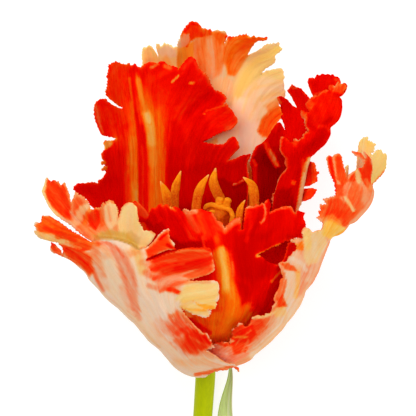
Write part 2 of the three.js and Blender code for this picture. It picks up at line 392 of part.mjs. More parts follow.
// Triangles inside a plane outline, with inner points on a hexagonal grid.
function triangulate(outline, step) {
  let ring = outline.slice();
  if (THREE.ShapeUtils.area(ring.map((p) => new THREE.Vector2(p[0], p[1]))) < 0) ring.reverse();
  const pts = ring.map((p) => p.slice());
  let tris = THREE.ShapeUtils.triangulateShape(pts.map((p) => new THREE.Vector2(p[0], p[1])), [])
    .map((t) => (cross2(pts[t[0]], pts[t[1]], pts[t[2]]) > 0 ? t.slice() : [t[0], t[2], t[1]]));
  // split the long outline edges
  ring.forEach((p, i) => {
    const j = (i + 1) % ring.length;
    const q = ring[j];
    const n = Math.max(1, Math.round(Math.hypot(q[0] - p[0], q[1] - p[1]) / step));
    if (n === 1) return;
    const at = tris.findIndex((t) => [0, 1, 2].some((k) => t[k] === i && t[(k + 1) % 3] === j));
    const apex = tris[at].find((v) => v !== i && v !== j);
    const chain = [i];
    for (let k = 1; k < n; k++) chain.push(pts.push([p[0] + (q[0] - p[0]) * k / n, p[1] + (q[1] - p[1]) * k / n]) - 1);
    chain.push(j);
    tris.splice(at, 1);
    for (let k = 0; k < n; k++) tris.push([chain[k], chain[k + 1], apex]);
  });
  const loop = [...ring, ring[0]].map((p) => [p[0], p[1], 0]);
  const xs = pts.map((p) => p[0]);
  const ys = pts.map((p) => p[1]);
  const h = step * Math.sqrt(3) / 2;
  let row = 0;
  for (let y = Math.min(...ys); y < Math.max(...ys); y += h, row++) {
    for (let x = Math.min(...xs) + (row % 2) * step / 2; x < Math.max(...xs); x += step) {
      const p = [x + 0.01 * Math.sin(7 * row + x), y];
      if (nearest(loop, p[0], p[1])[0] < 0.55 * step) continue;
      const i = tris.findIndex((t) => cross2(pts[t[0]], pts[t[1]], p) > 0 && cross2(pts[t[1]], pts[t[2]], p) > 0 && cross2(pts[t[2]], pts[t[0]], p) > 0);
      if (i < 0) continue;
      const [a, b, c] = tris[i];
      const k = pts.push(p) - 1;
      tris[i] = [a, b, k];
      tris.push([b, c, k], [c, a, k]);
    }
  }
  // flip inner edges until every triangle pair is Delaunay
  for (let pass = 0; pass < 60; pass++) {
    const edges = new Map();
    tris.forEach((t, i) => { for (let k = 0; k < 3; k++) edges.set(t[k] * 100000 + t[(k + 1) % 3], [i, t[(k + 2) % 3]]); });
    const used = new Set();
    let flips = 0;
    for (const [key, [i, c]] of edges) {
      const a = Math.floor(key / 100000);
      const b = key % 100000;
      if (a > b) continue;
      const other = edges.get(b * 100000 + a);
      if (!other || used.has(i) || used.has(other[0])) continue;
      const [j, d] = other;
      const [A, B, C, D] = [pts[a], pts[b], pts[c], pts[d]];
      if (cross2(C, D, B) <= 1e-9 || cross2(D, C, A) <= 1e-9) continue;
      const [ax, ay, bx, by, cx, cy] = [A[0] - D[0], A[1] - D[1], B[0] - D[0], B[1] - D[1], C[0] - D[0], C[1] - D[1]];
      const det = (ax * ax + ay * ay) * (bx * cy - cx * by) - (bx * bx + by * by) * (ax * cy - cx * ay) + (cx * cx + cy * cy) * (ax * by - bx * ay);
      if (det <= 1e-9) continue;
      tris[i] = [c, d, b];
      tris[j] = [d, c, a];
      used.add(i); used.add(j);
      flips++;
    }
    if (!flips) break;
  }
  return { pts, tris };
}

// Closed solid on both sides of a surface given by points and triangles.
function thicken(points, tris, thickness) {
  const n = points.length;
  const normals = points.map(() => new THREE.Vector3());
  const v = points.map((p) => new THREE.Vector3(...p));
  const count = new Map();
  for (const [a, b, c] of tris) {
    const f = v[b].clone().sub(v[a]).cross(v[c].clone().sub(v[a]));
    for (const k of [a, b, c]) normals[k].add(f);
    for (const [p, q] of [[a, b], [b, c], [c, a]]) count.set(p * n + q, true);
  }
  const pos = [];
  for (const s of [0.5, -0.5]) v.forEach((p, i) => { const q = p.clone().addScaledVector(normals[i].clone().normalize(), s * thickness); pos.push(q.x, q.y, q.z); });
  const index = [];
  for (const [a, b, c] of tris) {
    index.push(a, b, c, c + n, b + n, a + n);
    for (const [p, q] of [[a, b], [b, c], [c, a]]) if (!count.has(q * n + p)) index.push(q, p, p + n, q, p + n, q + n);
  }
  return { pos, index };
}

function toManifold({ pos, index }) {
  return new Manifold(new ManifoldMesh({ numProp: 3, vertProperties: new Float32Array(pos), triVerts: new Uint32Array(index) }));
}

function fromManifold(m) {
  const g = m.getMesh();
  const pos = [];
  for (let i = 0; i < g.numVert; i++) pos.push(g.vertProperties[i * g.numProp], g.vertProperties[i * g.numProp + 1], g.vertProperties[i * g.numProp + 2]);
  return { pos, index: Array.from(g.triVerts) };
}

function geometry({ pos, index }) {
  const g = new THREE.BufferGeometry();
  g.setAttribute('position', new THREE.Float32BufferAttribute(pos, 3));
  g.setIndex(index);
  g.computeVertexNormals();
  return g;
}

function tepal(names, down, extra) {
  const points = [];
  const tris = [];
  const seen = new Map();
  for (const name of names) {
    const f = heightOf(SHEETS[name]);
    const { pts, tris: local } = triangulate(SHEETS[name].outline, TEPAL_STEP);
    const map = pts.map(([x, y]) => {
      const z = f(x, y);
      const key = [x, y, z].map((c) => Math.round(c * 200)).join();
      if (!seen.has(key)) seen.set(key, points.push([x, y, z]) - 1);
      return seen.get(key);
    });
    for (const [a, b, c] of local) tris.push(down.includes(name) ? [map[a], map[c], map[b]] : [map[a], map[b], map[c]]);
  }
  let solid = thicken(points, tris, TEPAL_THICKNESS);
  if (extra.length) {
    let m = toManifold(solid);
    for (const name of extra) {
      const f = heightOf(SHEETS[name]);
      const { pts, tris: local } = triangulate(SHEETS[name].outline, TEPAL_STEP);
      m = m.add(toManifold(thicken(pts.map(([x, y]) => [x, y, f(x, y)]), local, TEPAL_THICKNESS)));
    }
    solid = fromManifold(m);
  }
  return geometry(solid);
}

// Closed solid through rings of points, with a flat fan on each end.
function loft(rings) {
  const n = rings[0].length;
  const pos = rings.flat(2);
  const index = [];
  for (let r = 0; r + 1 < rings.length; r++) {
    for (let i = 0; i < n; i++) {
      const [a, b] = [r * n + i, r * n + (i + 1) % n];
      index.push(a, b, b + n, a, b + n, a + n);
    }
  }
  const centre = (ring) => [0, 1, 2].map((k) => ring.reduce((s, p) => s + p[k], 0) / n);
  const first = pos.length / 3;
  pos.push(...centre(rings[0]), ...centre(rings[rings.length - 1]));
  const last = (rings.length - 1) * n;
  for (let i = 0; i < n; i++) {
    index.push(first, (i + 1) % n, i, first + 1, last + i, last + (i + 1) % n);
  }
  return geometry({ pos, index });
}

// Rings of a round or lobed tube along a curve; radius(t, angle).
function tube(points, segments, sides, radius) {
  const curve = new THREE.CatmullRomCurve3(points.map((p) => new THREE.Vector3(...p)), false, 'centripetal');
  const frames = curve.computeFrenetFrames(segments, false);
  const rings = [];
  for (let i = 0; i <= segments; i++) {
    const t = i / segments;
    const c = curve.getPointAt(t);
    const ring = [];
    for (let k = 0; k < sides; k++) {
      const a = (2 * Math.PI * k) / sides;
      const r = radius(t, a);
      const q = c.clone().addScaledVector(frames.normals[i], r * Math.cos(a)).addScaledVector(frames.binormals[i], r * Math.sin(a));
      ring.push([q.x, q.y, q.z]);
    }
    rings.push(ring);
  }
  return loft(rings);
}

// Point at a place of the flower: azimuth about its axis, radius and height.
const tilt = THREE.MathUtils.degToRad(HEAD_TILT);
function inFlower(azimuth, r, h) {
  const a = THREE.MathUtils.degToRad(azimuth);
  const b = r * Math.sin(a);
  return [RECEPTACLE[0] + r * Math.cos(a), RECEPTACLE[1] + h * Math.cos(tilt) + b * Math.sin(tilt), RECEPTACLE[2] + h * Math.sin(tilt) - b * Math.cos(tilt)];
}

const flower = new THREE.Group();
flower.name = 'parrot_tulip';

function add(name, geo, colour, roughness) {
  const mesh = new THREE.Mesh(geo, new THREE.MeshStandardMaterial({ color: colour, roughness, metalness: 0 }));
  mesh.name = name;
  mesh.position.set(-ORIGIN[0], -ORIGIN[1], -ORIGIN[2]);
  flower.add(mesh);
}

// -------------------------------------------------------------------- tepals
for (const [name, sheets, down, extra, colour] of TEPALS) add(name, tepal(sheets, down, extra), colour, 0.5);

// ---------------------------------------------------------------------- stem
const STEM_PATH = [
      [0.02, 1.32, 14.9], [0.05, -0, 14.2], [0.06, -5.76, 11.39], [-0.31, -11.71, 8.99],
      [-0.71, -17.8, 7.01], [-1.06, -24.02, 5.46], [-1.41, -30.33, 4.34], [-1.77, -36.71, 3.67],
      [-2, -43.12, 3.45], [-2.27, -60, 3.45], [-2.6, -80, 3.45], [-2.2, -100, 3.45],
      [-1.8, -120, 3.45], [-0.87, -140, 3.45], [0.6, -160, 3.45], [2.6, -184, 3.45],
    ];
add('stem', tube(STEM_PATH, 34, 14, (t) => {
  const top = 1 - t;
  if (t < 0.012) return 2.6;
  return STEM_RADIUS + 0.35 * Math.exp(-t * t / 0.0006) + (top < 0.02 ? 0 : 0);
}), 0xa8b820, 0.45);

// ---------------------------------------------------------------------- leaf
// Rows along the leaf from tip to sheath: y, then five points (x, z).
const LEAF_ROWS = [
  [-2.2, [7.35, 4.4], [7.45, 4.2], [7.6, 4.1], [7.75, 4.2], [7.85, 4.4]],
  [-6, [6.85, 4.8], [7.15, 4.1], [7.5, 3.7], [7.9, 3.9], [8.2, 4.5]],
  [-15, [4.25, 5.4], [5.1, 3.6], [6.1, 2.8], [7.15, 3.1], [8, 4.4]],
  [-28, [3, 6], [4.2, 3.2], [6, 2.1], [7.8, 2.2], [9.3, 4]],
  [-45, [2.3, 6.3], [4.2, 2.8], [7.3, 1.4], [10.8, 1.5], [13.6, 3.9]],
  [-65, [2, 6.6], [4.4, 2.5], [9, 1.05], [14, 1.2], [18.4, 3.6]],
  [-85, [2, 6.9], [4.4, 2.4], [9.2, 1], [14.2, 1.1], [18.6, 3.4]],
  [-105, [2.3, 7.3], [4.3, 2.6], [7.8, 1.05], [11.8, 1.3], [15.2, 3.7]],
  [-122, [1.6, 7.6], [3.4, 3.9], [5, 1.2], [7.6, 1.4], [9.8, 3.9]],
  [-136, [0.5, 7.2], [2.4, 5.8], [3.1, 3.5], [2.9, 1.6], [4.4, 1.3]],
  [-144, [0.9, 6.9], [2.3, 5.9], [3.2, 4.4], [3.4, 3], [2.9, 1.9]],
];
{
  const rows = LEAF_ROWS;
  const pts = [];
  const tris = [];
  const sub = 2;
  const fine = [];
  for (let i = 0; i + 1 < rows.length; i++) for (let k = 0; k < sub; k++) fine.push([i, k / sub]);
  fine.push([rows.length - 2, 1]);
  const curves = [0, 1, 2, 3, 4].map((j) => new THREE.CatmullRomCurve3(rows.map((r) => new THREE.Vector3(r[1 + j][0], r[0] + (r[1 + j][2] || 0), r[1 + j][1])), false, 'centripetal'));
  for (const [i, f] of fine) {
    const t = (i + f) / (rows.length - 1);
    for (let j = 0; j < 5; j++) { const p = curves[j].getPoint(t); pts.push([p.x, p.y, p.z]); }
  }
  for (let i = 0; i + 1 < fine.length; i++) {
    for (let j = 0; j < 4; j++) {
      const a = i * 5 + j;
      tris.push([a, a + 5, a + 1], [a + 1, a + 5, a + 6]);
    }
  }
  add('leaf', geometry(thicken(pts, tris, LEAF_THICKNESS)), 0x9cb088, 0.55);
}

// ------------------------------------------------------------------- stamens
// anther points from base to tip, and the azimuth of the filament's foot
const STAMENS = [
  { azimuth: 200, radius: 1.42, anther: [[-10.48, 36.42, 35], [-10.48, 42.75, 38.5], [-10.85, 47.87, 42], [-12.65, 52.02, 44.5]] },
  { azimuth: 140, radius: 1.2, anther: [[-8.7, 37.51, 29], [-8.83, 45.04, 32], [-8.42, 50.49, 34.5], [-7.66, 52.92, 35.8], [-6.93, 55.06, 36.6]] },
  { azimuth: 262, radius: 1.3, anther: [[-2.76, 35.91, 40], [-2.55, 43.32, 42.5], [-2.01, 47.86, 44.3], [-0.9, 50.96, 45.8], [1.08, 53.88, 47]] },
  { azimuth: 82, radius: 1.42, anther: [[5.49, 40.4, 28.5], [5.05, 45.62, 30], [3.57, 48.79, 31.5], [2.41, 51.95, 32.6], [3.07, 55.96, 33.6]] },
  { azimuth: 20, radius: 1.42, anther: [[14.2, 36.97, 32], [14.17, 44.75, 35], [14, 48.47, 36.6], [13.29, 51.18, 38], [10.9, 53.25, 39]] },
  { azimuth: 318, radius: 0.98, anther: [[8.99, 33.61, 38.5], [9.53, 40.48, 41.5], [9.99, 43.89, 43], [10.58, 45.45, 43.8], [11.39, 46.73, 44.3]] },
];
STAMENS.forEach(({ azimuth, radius, anther }, i) => {
  const foot = inFlower(azimuth, 2.95, 2.6);
  const low = inFlower(azimuth, 3.6, 9);
  const end = new THREE.Vector3(...anther[0]);
  const dir = new THREE.Vector3(...anther[1]).sub(end).normalize();
  const join = end.clone().addScaledVector(dir, -0.35);
  const mid = [0, 1, 2].map((k) => low[k] * 0.45 + join.getComponent(k) * 0.55 + (k === 1 ? -1 : 0));
  add(`filament_${i + 1}`, tube([foot, low, mid, join.clone().addScaledVector(dir, -3).toArray(), join.toArray()], 12, 6, (t) => FILAMENT_RADIUS * (1.15 - 0.45 * t)), 0xd88a10, 0.5);
  // widest below the middle, drawn out to a fine point
  add(`anther_${i + 1}`, tube(anther, 14, 8, (t) => {
    const point = Math.max(0, (t - 0.7) / 0.3);
    return radius * Math.min(1, 0.8 + 0.7 * t) * (1 - 0.84 * point ** 1.6);
  }), 0xe89a10, 0.8);
});

// -------------------------------------------------------------------- pistil
const PISTIL = [[0, 2.3, 15.42], [0.2, 10.6, 19.83], [1.2, 24.72, 27.35], [2.6, 35.32, 32.98], [3.6, 40.62, 35.8], [4, 44.5, 37.86]];
// curled lobes of the stigma
const STIGMA = [
  { radius: 0.75, path: [[-0.35, 44, 37.9], [0.57, 45.03, 38.2], [2, 45.37, 38.3], [3.71, 44.86, 38.3], [5.43, 44.46, 38.3], [6.85, 43.97, 38.5], [7.68, 42.75, 38.6], [7.77, 41.32, 38.4], [7.09, 39.89, 37.8]] },
  { radius: 1.2, path: [[4.57, 44.46, 37.2], [4.17, 46.18, 37.9], [4.46, 47.6, 38.2]] },
  { radius: 1.1, path: [[6.12, 44.17, 37.4], [6.23, 45.89, 38.2], [6.82, 47.23, 38.8]] },
  { radius: 0.5, path: [[1.28, 43.32, 38.7], [2.14, 43.43, 39.3], [2.94, 43.23, 39.4]] },
];
const solidOf = (geo) => toManifold({ pos: geo.attributes.position.array, index: geo.index.array });
let pistil = solidOf(tube(PISTIL, 18, 18, (t, a) => {
  const lobes = 1 + 0.12 * Math.cos(3 * a);
  if (t < 0.8) return (1.5 + 1.0 * Math.sin(Math.PI * Math.min(1, t / 0.8) ** 0.8 * 0.75)) * lobes;
  const s = (t - 0.8) / 0.2;
  return (2.1 + 1.1 * Math.sin(Math.PI * 0.5 * s)) * (1 + (0.12 + 0.08 * s) * Math.cos(3 * a)) * (s > 0.97 ? 0.75 : 1);
}));
for (const { radius, path } of STIGMA) {
  pistil = pistil.add(solidOf(tube(path, 4 * path.length, 8, (t) => radius * Math.sqrt(Math.max(0.15, 1 - Math.abs(2 * t - 1) ** 6)))));
}
add('pistil', geometry(fromManifold(pistil)), 0xd09a20, 0.6);

export default flower;
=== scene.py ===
import math

import bpy
import numpy as np
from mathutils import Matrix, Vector, noise
from mathutils.geometry import delaunay_2d_cdt


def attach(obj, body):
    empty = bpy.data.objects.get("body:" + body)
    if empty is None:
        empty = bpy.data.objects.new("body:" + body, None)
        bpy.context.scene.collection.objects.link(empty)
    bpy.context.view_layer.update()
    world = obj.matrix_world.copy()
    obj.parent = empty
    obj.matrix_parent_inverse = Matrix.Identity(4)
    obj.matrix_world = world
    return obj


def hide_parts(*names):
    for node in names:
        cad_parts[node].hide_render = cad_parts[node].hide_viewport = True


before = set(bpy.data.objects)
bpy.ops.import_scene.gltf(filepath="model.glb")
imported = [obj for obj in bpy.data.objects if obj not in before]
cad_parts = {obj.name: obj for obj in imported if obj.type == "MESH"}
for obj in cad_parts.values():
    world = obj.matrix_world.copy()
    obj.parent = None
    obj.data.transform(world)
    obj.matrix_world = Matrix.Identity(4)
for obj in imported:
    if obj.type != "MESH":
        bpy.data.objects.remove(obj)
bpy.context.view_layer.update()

MM = 0.001

# ------------------------------------------------------------------ dimensions
GRID = 0.44      # spacing of points on a tepal, mm
EDGE = 0.25      # spacing of points along its rim, mm
RIM = 0.30                             # tepal thickness at the rim, mm
FLOOR_Z = 0.45                         # lowest height of a tepal's middle surface
CAMERA = (-0.445, 87.29, 739.45)       # straight above the head
LENS = 212.55

# Sheets z = f(x, y) of each tepal: outline (x, y), pins (x, y, z) of a smooth
# surface, guides that the veins follow (v, points from foot to rim), and
# markings: kind, points, half width, feather, strength, and what they lead to:
# r red, y yellow, g greenish pigment (on E and E_up also painted olive shade),
# and s painted shade, above zero darker for shadow in hollows, creases and under
# other tepals, below zero painted light that brightens shadowed places.
SHEETS = {
    "B": {
        "outline": [
            [-19.56, 129.93], [-19.79, 131.55], [-19.4, 133.67], [-19.08, 134.32], [-18.21, 134.32], [-17.61, 134.72], [-16.75, 134.33], [-16.21, 133.42], [-15.39, 132.13], [-14.84, 131.2],
            [-15.08, 132.65], [-15.46, 133.95], [-15.27, 135.25], [-14.43, 134.47], [-13.85, 134.22], [-13.25, 134.87], [-12.09, 134.76], [-10.94, 134.51], [-10.07, 134.4], [-9.5, 134.02],
            [-9.34, 134.55], [-9.18, 135.6], [-8.58, 136.94], [-8.27, 138.03], [-7.4, 139.14], [-6.52, 140.25], [-5.65, 141.09], [-4.5, 141.13], [-3.63, 141.03], [-2.77, 140.4],
            [-2.19, 139.75], [-1.32, 139.64], [-0.44, 139.39], [0.14, 139.8], [0.72, 139], [1.59, 139.14], [2.47, 139.27], [3.34, 138.86], [4.22, 138.84], [4.8, 138.02],
            [5.1, 137.2], [4.53, 136.13], [3.95, 134.63], [5.11, 136.66], [5.68, 137.19], [7.13, 137.14], [8.58, 137.49], [10.01, 137.7], [10.87, 137.79], [11.46, 137.23],
            [12.6, 137.31], [13.17, 137.42], [13.76, 136.86], [14.61, 136.96], [15.48, 136.52], [16.63, 136.63], [16.64, 136.09], [15.79, 135.7], [14.07, 135.77], [12.94, 135.03],
            [11.83, 133.48], [11, 132.02], [12.43, 132.64], [14.14, 133.37], [15.83, 134.37], [16.96, 135], [18.39, 135.1], [20.11, 135.2], [20.42, 134.24], [21.29, 133.65],
            [20.17, 132.59], [19.32, 132.06], [19.34, 130.94], [19.08, 129.83], [17.95, 129.04], [16.25, 128], [15.4, 127.2], [14.83, 126.08], [15.69, 126.89], [16.83, 127.4],
            [18.25, 127.61], [19.67, 127.82], [20.81, 127.76], [21.39, 126.88], [21.4, 126.03], [21.83, 125.44], [21.42, 124.6], [21.72, 123.75], [21.74, 122.91], [21.77, 122.07],
            [22.22, 121.21], [22.1, 120.09], [21.83, 119.53], [20.98, 118.7], [20.13, 117.86], [21.02, 116.4], [21.63, 114.66], [20.78, 113.52], [19.63, 112.09], [18.49, 110.36],
            [17.34, 107.45], [18.55, 104.5], [20.05, 101.25], [21.84, 97.1], [22.14, 89.67], [20.36, 79.26], [16.25, 68.81], [10.91, 58.32], [6.42, 50], [3.13, 45.34],
            [1.04, 43.77], [-1.34, 43.48], [-3.71, 43.77], [-6.4, 45.92], [-11.77, 52.41], [-18.33, 62.85], [-23.39, 74.78], [-25.43, 86.7], [-25.39, 98.57], [-24.15, 110.4],
            [-22.3, 120.66],
        ],
        "pins": [
            [-17.49, 130.8, 17.45], [-1.33, 130.86, 16.45], [11.9, 130.21, 17.45], [8.88, 136.26, 23.45], [15.21, 135.99, 27.45], [20.43, 133.96, 27.45], [21.42, 124.6, 23.45],
            [22.1, 120.37, 20.45], [15.59, 106.59, 10.25], [19.63, 112.68, 14.45], [-5.66, 140.55, 28.45], [-1.32, 139.11, 24.45], [3.64, 138.05, 22.95], [-8.6, 135.61, 24.45],
            [-5.72, 133.61, 19.45], [-17.35, 133.93, 23.45], [-12.98, 134.22, 23.45], [-11.03, 130.83, 16.95], [-1.33, 119.32, 10.95], [9.03, 119.26, 12.45], [-14.64, 119.24, 12.95],
            [-1.34, 107.58, 6.45], [9.09, 107.56, 7.45], [-14.75, 107.55, 7.65], [-23.54, 113.34, 12.25], [-25.1, 98.58, 9.95], [-24.55, 86.69, 8.45], [-14.81, 95.67, 4.45],
            [-1.34, 95.69, 2.65], [12.11, 95.66, 4.95], [20.05, 101.25, 9.75], [21.85, 95.61, 9.45], [21.83, 85.21, 9.95], [-1.35, 83.68, -0.35], [-14.87, 83.68, 1.45],
            [-22.22, 74.17, 6.95], [12.15, 83.69, 2.95], [18.6, 74.79, 8.45], [-1.35, 71.62, -0.85], [-11.88, 71.64, 0.35], [9.18, 71.64, 0.45], [14.47, 64.33, 6.95],
            [-17.74, 62.83, 6.95], [-12.37, 53.89, 6.95], [-1.35, 59.62, 0.85], [7.65, 58.22, 3.45], [9.99, 54.48, 6.95], [-1.34, 47.86, 5.75], [-7.6, 47.95, 7.45],
            [4.92, 47.94, 7.25], [-1.34, 43.48, 9.95], [-3.71, 43.91, 9.65], [1.04, 43.91, 9.65],
        ],
        "guides": [
            [0, [[-1.34, 45.03], [-1.35, 74.65], [-0.45, 104.63], [1.04, 119.32], [0.73, 130.86], [-0.45, 138.59]]],
            [6, [[0.15, 46.44], [2.86, 74.65], [3.74, 104.62], [3.71, 119.31], [5.75, 129.45], [10.35, 135.14], [16.06, 136.5]]],
            [11, [[1.64, 47.88], [6.78, 71.64], [7.94, 95.68], [7.87, 113.44], [9.31, 123.64], [14.2, 130.65], [20.42, 134.24]]],
            [16, [[3.14, 49.35], [10.97, 71.67], [12.11, 95.66], [11.74, 110.46], [14.02, 119.17], [17.72, 124.21], [21.69, 125.73]]],
            [22, [[4.93, 50.84], [15.69, 74.74], [16.28, 89.68], [14.42, 106.02], [16.7, 113.31], [20.72, 117.27]]],
            [-6, [[-2.83, 46.45], [-5.26, 74.65], [-5.23, 104.62], [-4.6, 119.32], [-5.16, 129.45], [-5.98, 136.26], [-5.08, 140.58]]],
            [-12, [[-4.33, 47.89], [-10.37, 74.65], [-11.2, 104.61], [-11.11, 119.27], [-11.96, 128.03], [-12.97, 134.48]]],
            [-18, [[-5.82, 49.36], [-17.23, 73.2], [-18.91, 104.56], [-18.19, 119.23], [-18.16, 126.55], [-18.22, 134.19]]],
        ],
        "fill": [0.02, 0.5, 0, 0],
        "other": [0.12, 0.75, 0.7, 1],
        "marks": [
            # fourth value s below zero is painted light: it brightens B where A lies over it and shades it
            ["P", [[6.67, 119.29], [6.65, 123.38], [8.41, 127.43], [11, 131.61], [16.96, 134.87], [21.84, 134.18], [19.36, 129.82], [15.41, 126.05], [11.37, 121.55], [9.04, 115.76], [7.89, 110.51]], 0, 1.14, 0.95, [0, 0.9, None, -0.1]],
            ["L", [[6.23, 118.12], [6.95, 123.38], [8.7, 127.42], [11.59, 131.32]], 0.4, 0.85, 0.6, [0.04, 0.7, 0.05, None]],
            ["L", [[10.16, 129.12], [13.59, 132.32], [17.55, 134.31]], 0.43, 0.85, 0.5, [0, 0.7, None, None]],
            ["P", [[14.26, 125.81], [17.12, 127.39], [21.66, 127.72], [21.99, 124.58], [17.16, 123.67]], 0, 0.85, 0.85, [0, 0.85, None, -0.06]],
            ["P", [[7.86, 115.77], [10.2, 121.57], [15.41, 126.05], [21.7, 124.59], [22.4, 119.51], [18.41, 116.75], [12.61, 112.21], [8.49, 109.91]], 0, 1.71, 0.85, [0, 0.38, 0.04, -0.2]],
            ["P", [[5.49, 115.79], [7.85, 119.86], [11.38, 119.8], [13.75, 115.69], [12.62, 110.45], [9.1, 105.78], [6.71, 108.75]], 0, 1.99, 0.95, [0, 0.2, None, -0.42]],
            ["P", [[-20.46, 128.5], [-19.64, 134.98], [-14.39, 135.52], [-9.2, 134.55], [-9.3, 128.03]], 0, 0.57, 0.95, [0, 0.8, None, -0.38]],
            ["P", [[-15.63, 133.43], [-12.68, 134.49], [-9.79, 134.02], [-9.84, 131.91], [-13.37, 131.34]], 0, 0.85, 0.75, [0, 0.3, None, -0.24]],
            ["L", [[-17.94, 133.93], [-18.35, 131.32], [-17.83, 129.13]], 0.43, 0.85, 0.5, [0.12, 1, None, None]],
            ["L", [[-12.8, 130.81], [-11.66, 128.6]], 0.57, 1.14, 0.5, [0.18, 1, None, None]],
            ["P", [[-9.6, 128.03], [-9.2, 134.29], [-6.87, 135.16], [-4.53, 135.79], [-4.57, 130.86], [-6.94, 127.46]], 0, 0.71, 0.95, [0.34, 1.25, None, -0.12]],
            ["L", [[-8.71, 128.03], [-8.64, 133.52]], 0.43, 0.57, 0.6, [0.28, 1, 0.05, -0.06]],
            ["P", [[-4.86, 130.3], [-4.53, 136.32], [-1.03, 138.04], [3.05, 139.13], [4.25, 134.21], [3.69, 127.45], [0.74, 125.15], [-2.81, 126.88]], 0, 1.42, 0.9, [0.36, 0.6, None, -0.1]],
            ["L", [[-2.51, 128.02], [-2.8, 132.54], [-2.49, 135.84]], 0.46, 1.14, 0.6, [0.54, 0.8, None, None]],
            ["L", [[0.44, 125.73], [0.44, 131.42], [0.14, 135.88]], 0.57, 1.14, 0.75, [0.16, 0.4, None, -0.1]],
            ["L", [[2.8, 129.17], [2.64, 133.67], [2.18, 137.52]], 0.46, 1.14, 0.65, [0.46, 0.8, None, None]],
            ["P", [[-3.95, 136.88], [-1.03, 137.5], [-1.62, 135.85], [-4.54, 135.25]], 0, 0.57, 0.7, [0.42, 0.7, None, None]],
            ["P", [[-8.56, 137.75], [-7.39, 139.41], [-5.65, 141.35], [-2.77, 140.66], [0.72, 139.94], [0.72, 138.33], [-1.9, 137.48], [-4.24, 136.87], [-5.7, 136.01], [-6.58, 134.65], [-7.45, 134.87]], 0, 0.43, 0.95, [0.82, 1, None, -0.04]],
            ["L", [[-6.23, 140.53], [-4.51, 139.27], [-2.78, 138.26]], 0.23, 0.51, 0.5, [0.92, None, None, None]],
            ["L", [[-7.4, 138.87], [-5.94, 140.68], [-3.92, 141.02], [-1.9, 140.16], [0.72, 139.67]], 0.23, 0.51, 0.8, [1.04, 1, None, None]],
            ["L", [[-1.61, 139.9], [-1.03, 138.04]], 0.28, 0.85, 0.6, [0.5, 0.6, None, None]],
            ["P", [[-8.58, 136.68], [-7.7, 138.05], [-5.97, 138.13], [-5.69, 136.28], [-7.46, 134.61], [-8.63, 134.04]], 0, 0.43, 0.95, [0.24, 0.3, None, -0.06]],
            ["P", [[0.72, 138.87], [3.34, 139.13], [5.39, 137.47], [4.24, 134.76], [2.48, 135.88]], 0, 0.71, 0.85, [0.6, 0.9, None, -0.05]],
            ["P", [[3.68, 130.87], [4.25, 134.49], [5.69, 136.92], [10.59, 137.81], [16.91, 136.75], [16.94, 135.68], [13.51, 135.27], [11.29, 131.88], [9.57, 129.13], [7.53, 126.28], [5.46, 126.87]], 0, 1, 0.95, [0.55, 0.95, None, -0.06]],
            ["L", [[5.98, 136.91], [10.88, 137.39], [16.34, 136.5]], 0.34, 0.71, 0.7, [0.78, 0.9, None, None]],
            ["L", [[4.81, 137.21], [7.71, 137.76], [11.73, 137.86], [16.33, 137.04]], 0.2, 0.51, 0.8, [0.95, 1, None, None]],
            ["L", [[8.93, 133.57], [11.79, 135.35], [14.06, 136.04]], 0.43, 1.14, 0.6, [0.66, 0.8, None, None]],
            ["L", [[12.41, 133.45], [13.8, 135.25], [16.36, 135.96]], 0.17, 0.34, 0.6, [0.42, 0.7, None, None]],
            ["L", [[8.36, 132.5], [7.22, 129.15]], 0.57, 1.42, 0.5, [0.42, 0.8, None, None]],
            ["P", [[0.15, 125.15], [4.87, 126.3], [7.24, 123.96], [6.67, 118.12], [3.11, 120.48], [0.74, 122.24]], 0, 1.42, 0.85, [0.12, 0.6, None, -0.14]],
            ["L", [[4.88, 125.72], [5.77, 123.39], [6.07, 119.88]], 0.23, 0.74, 0.45, [0.12, 0.5, None, -0.1]],
            ["L", [[10.57, 107.54], [10.83, 113.4], [13.13, 120.35], [17.16, 123.1]], 0.57, 1.42, 0.5, [0, 0.3, None, -0.2]],
            ["L", [[12, 113.97], [14.6, 119.73], [20.05, 121.84]], 0.17, 0.71, 0.4, [0.07, 0.8, None, None]],
            ["L", [[9.93, 115.75], [11.08, 119.81], [13.69, 123.81]], 0.14, 0.63, 0.4, [0.06, 0.9, None, None]],
            ["L", [[13.7, 122.65], [17.73, 123.64], [21.42, 124.32]], 0.14, 0.63, 0.4, [0.07, 0.8, None, None]],
            ["L", [[15.47, 119.13], [18.93, 120.75], [21.79, 120.94]], 0.23, 0.57, 0.5, [0.16, 0.85, None, None]],
            ["L", [[16.08, 117.38], [19.24, 119.31], [21.25, 119.54]], 0.23, 0.57, 0.45, [0.12, 0.7, None, None]],
            ["P", [[7.92, 102.23], [7.3, 109.34], [10.83, 112.82], [14.95, 112.75], [15.6, 105.71], [10.9, 101.03]], 0, 1.71, 0.9, [0, 0.1, None, -0.27]],
            ["P", [[14.39, 110.13], [15.53, 113.62], [18.13, 116.18], [21, 117.55], [21.9, 115.52], [21.66, 112.64], [19.66, 110.05], [17.63, 108.03], [15.57, 108.35]], 0, 0.97, 0.92, [0.68, 0.9, None, -0.05]],
            ["L", [[17.83, 117.05], [20.12, 118.43]], 0.57, 1.14, 0.6, [0.46, 0.8, None, None]],
            ["P", [[-2.24, 106.99], [1.34, 108.76], [4.92, 110.23], [9.07, 111.08], [8.5, 108.15], [4.93, 106.4], [0.75, 105.81]], 0, 0.57, 0.9, [0, 0.3, None, -0.34]],
            ["P", [[-0.74, 106.7], [0.75, 107.88], [2.24, 108.47], [2.54, 106.99], [1.05, 106.11]], 0, 0.71, 0.8, [0.24, 0.9, None, -0.34]],
            ["P", [[4.34, 100.46], [8.51, 105.2], [12.65, 105.74], [12.08, 102.2], [7.93, 101.04]], 0, 0.71, 0.9, [0.06, 0.2, None, -0.34]],
            ["P", [[15.59, 106.29], [17.34, 108.04], [18.84, 105.09], [20.65, 100.66], [17.98, 102.74]], 0, 0.57, 0.9, [0.5, 0.9, None, None]],
            ["L", [[18.56, 103.92], [20.05, 101.25]], 0.2, 0.34, 0.7, [0.15, 0.6, None, None]],
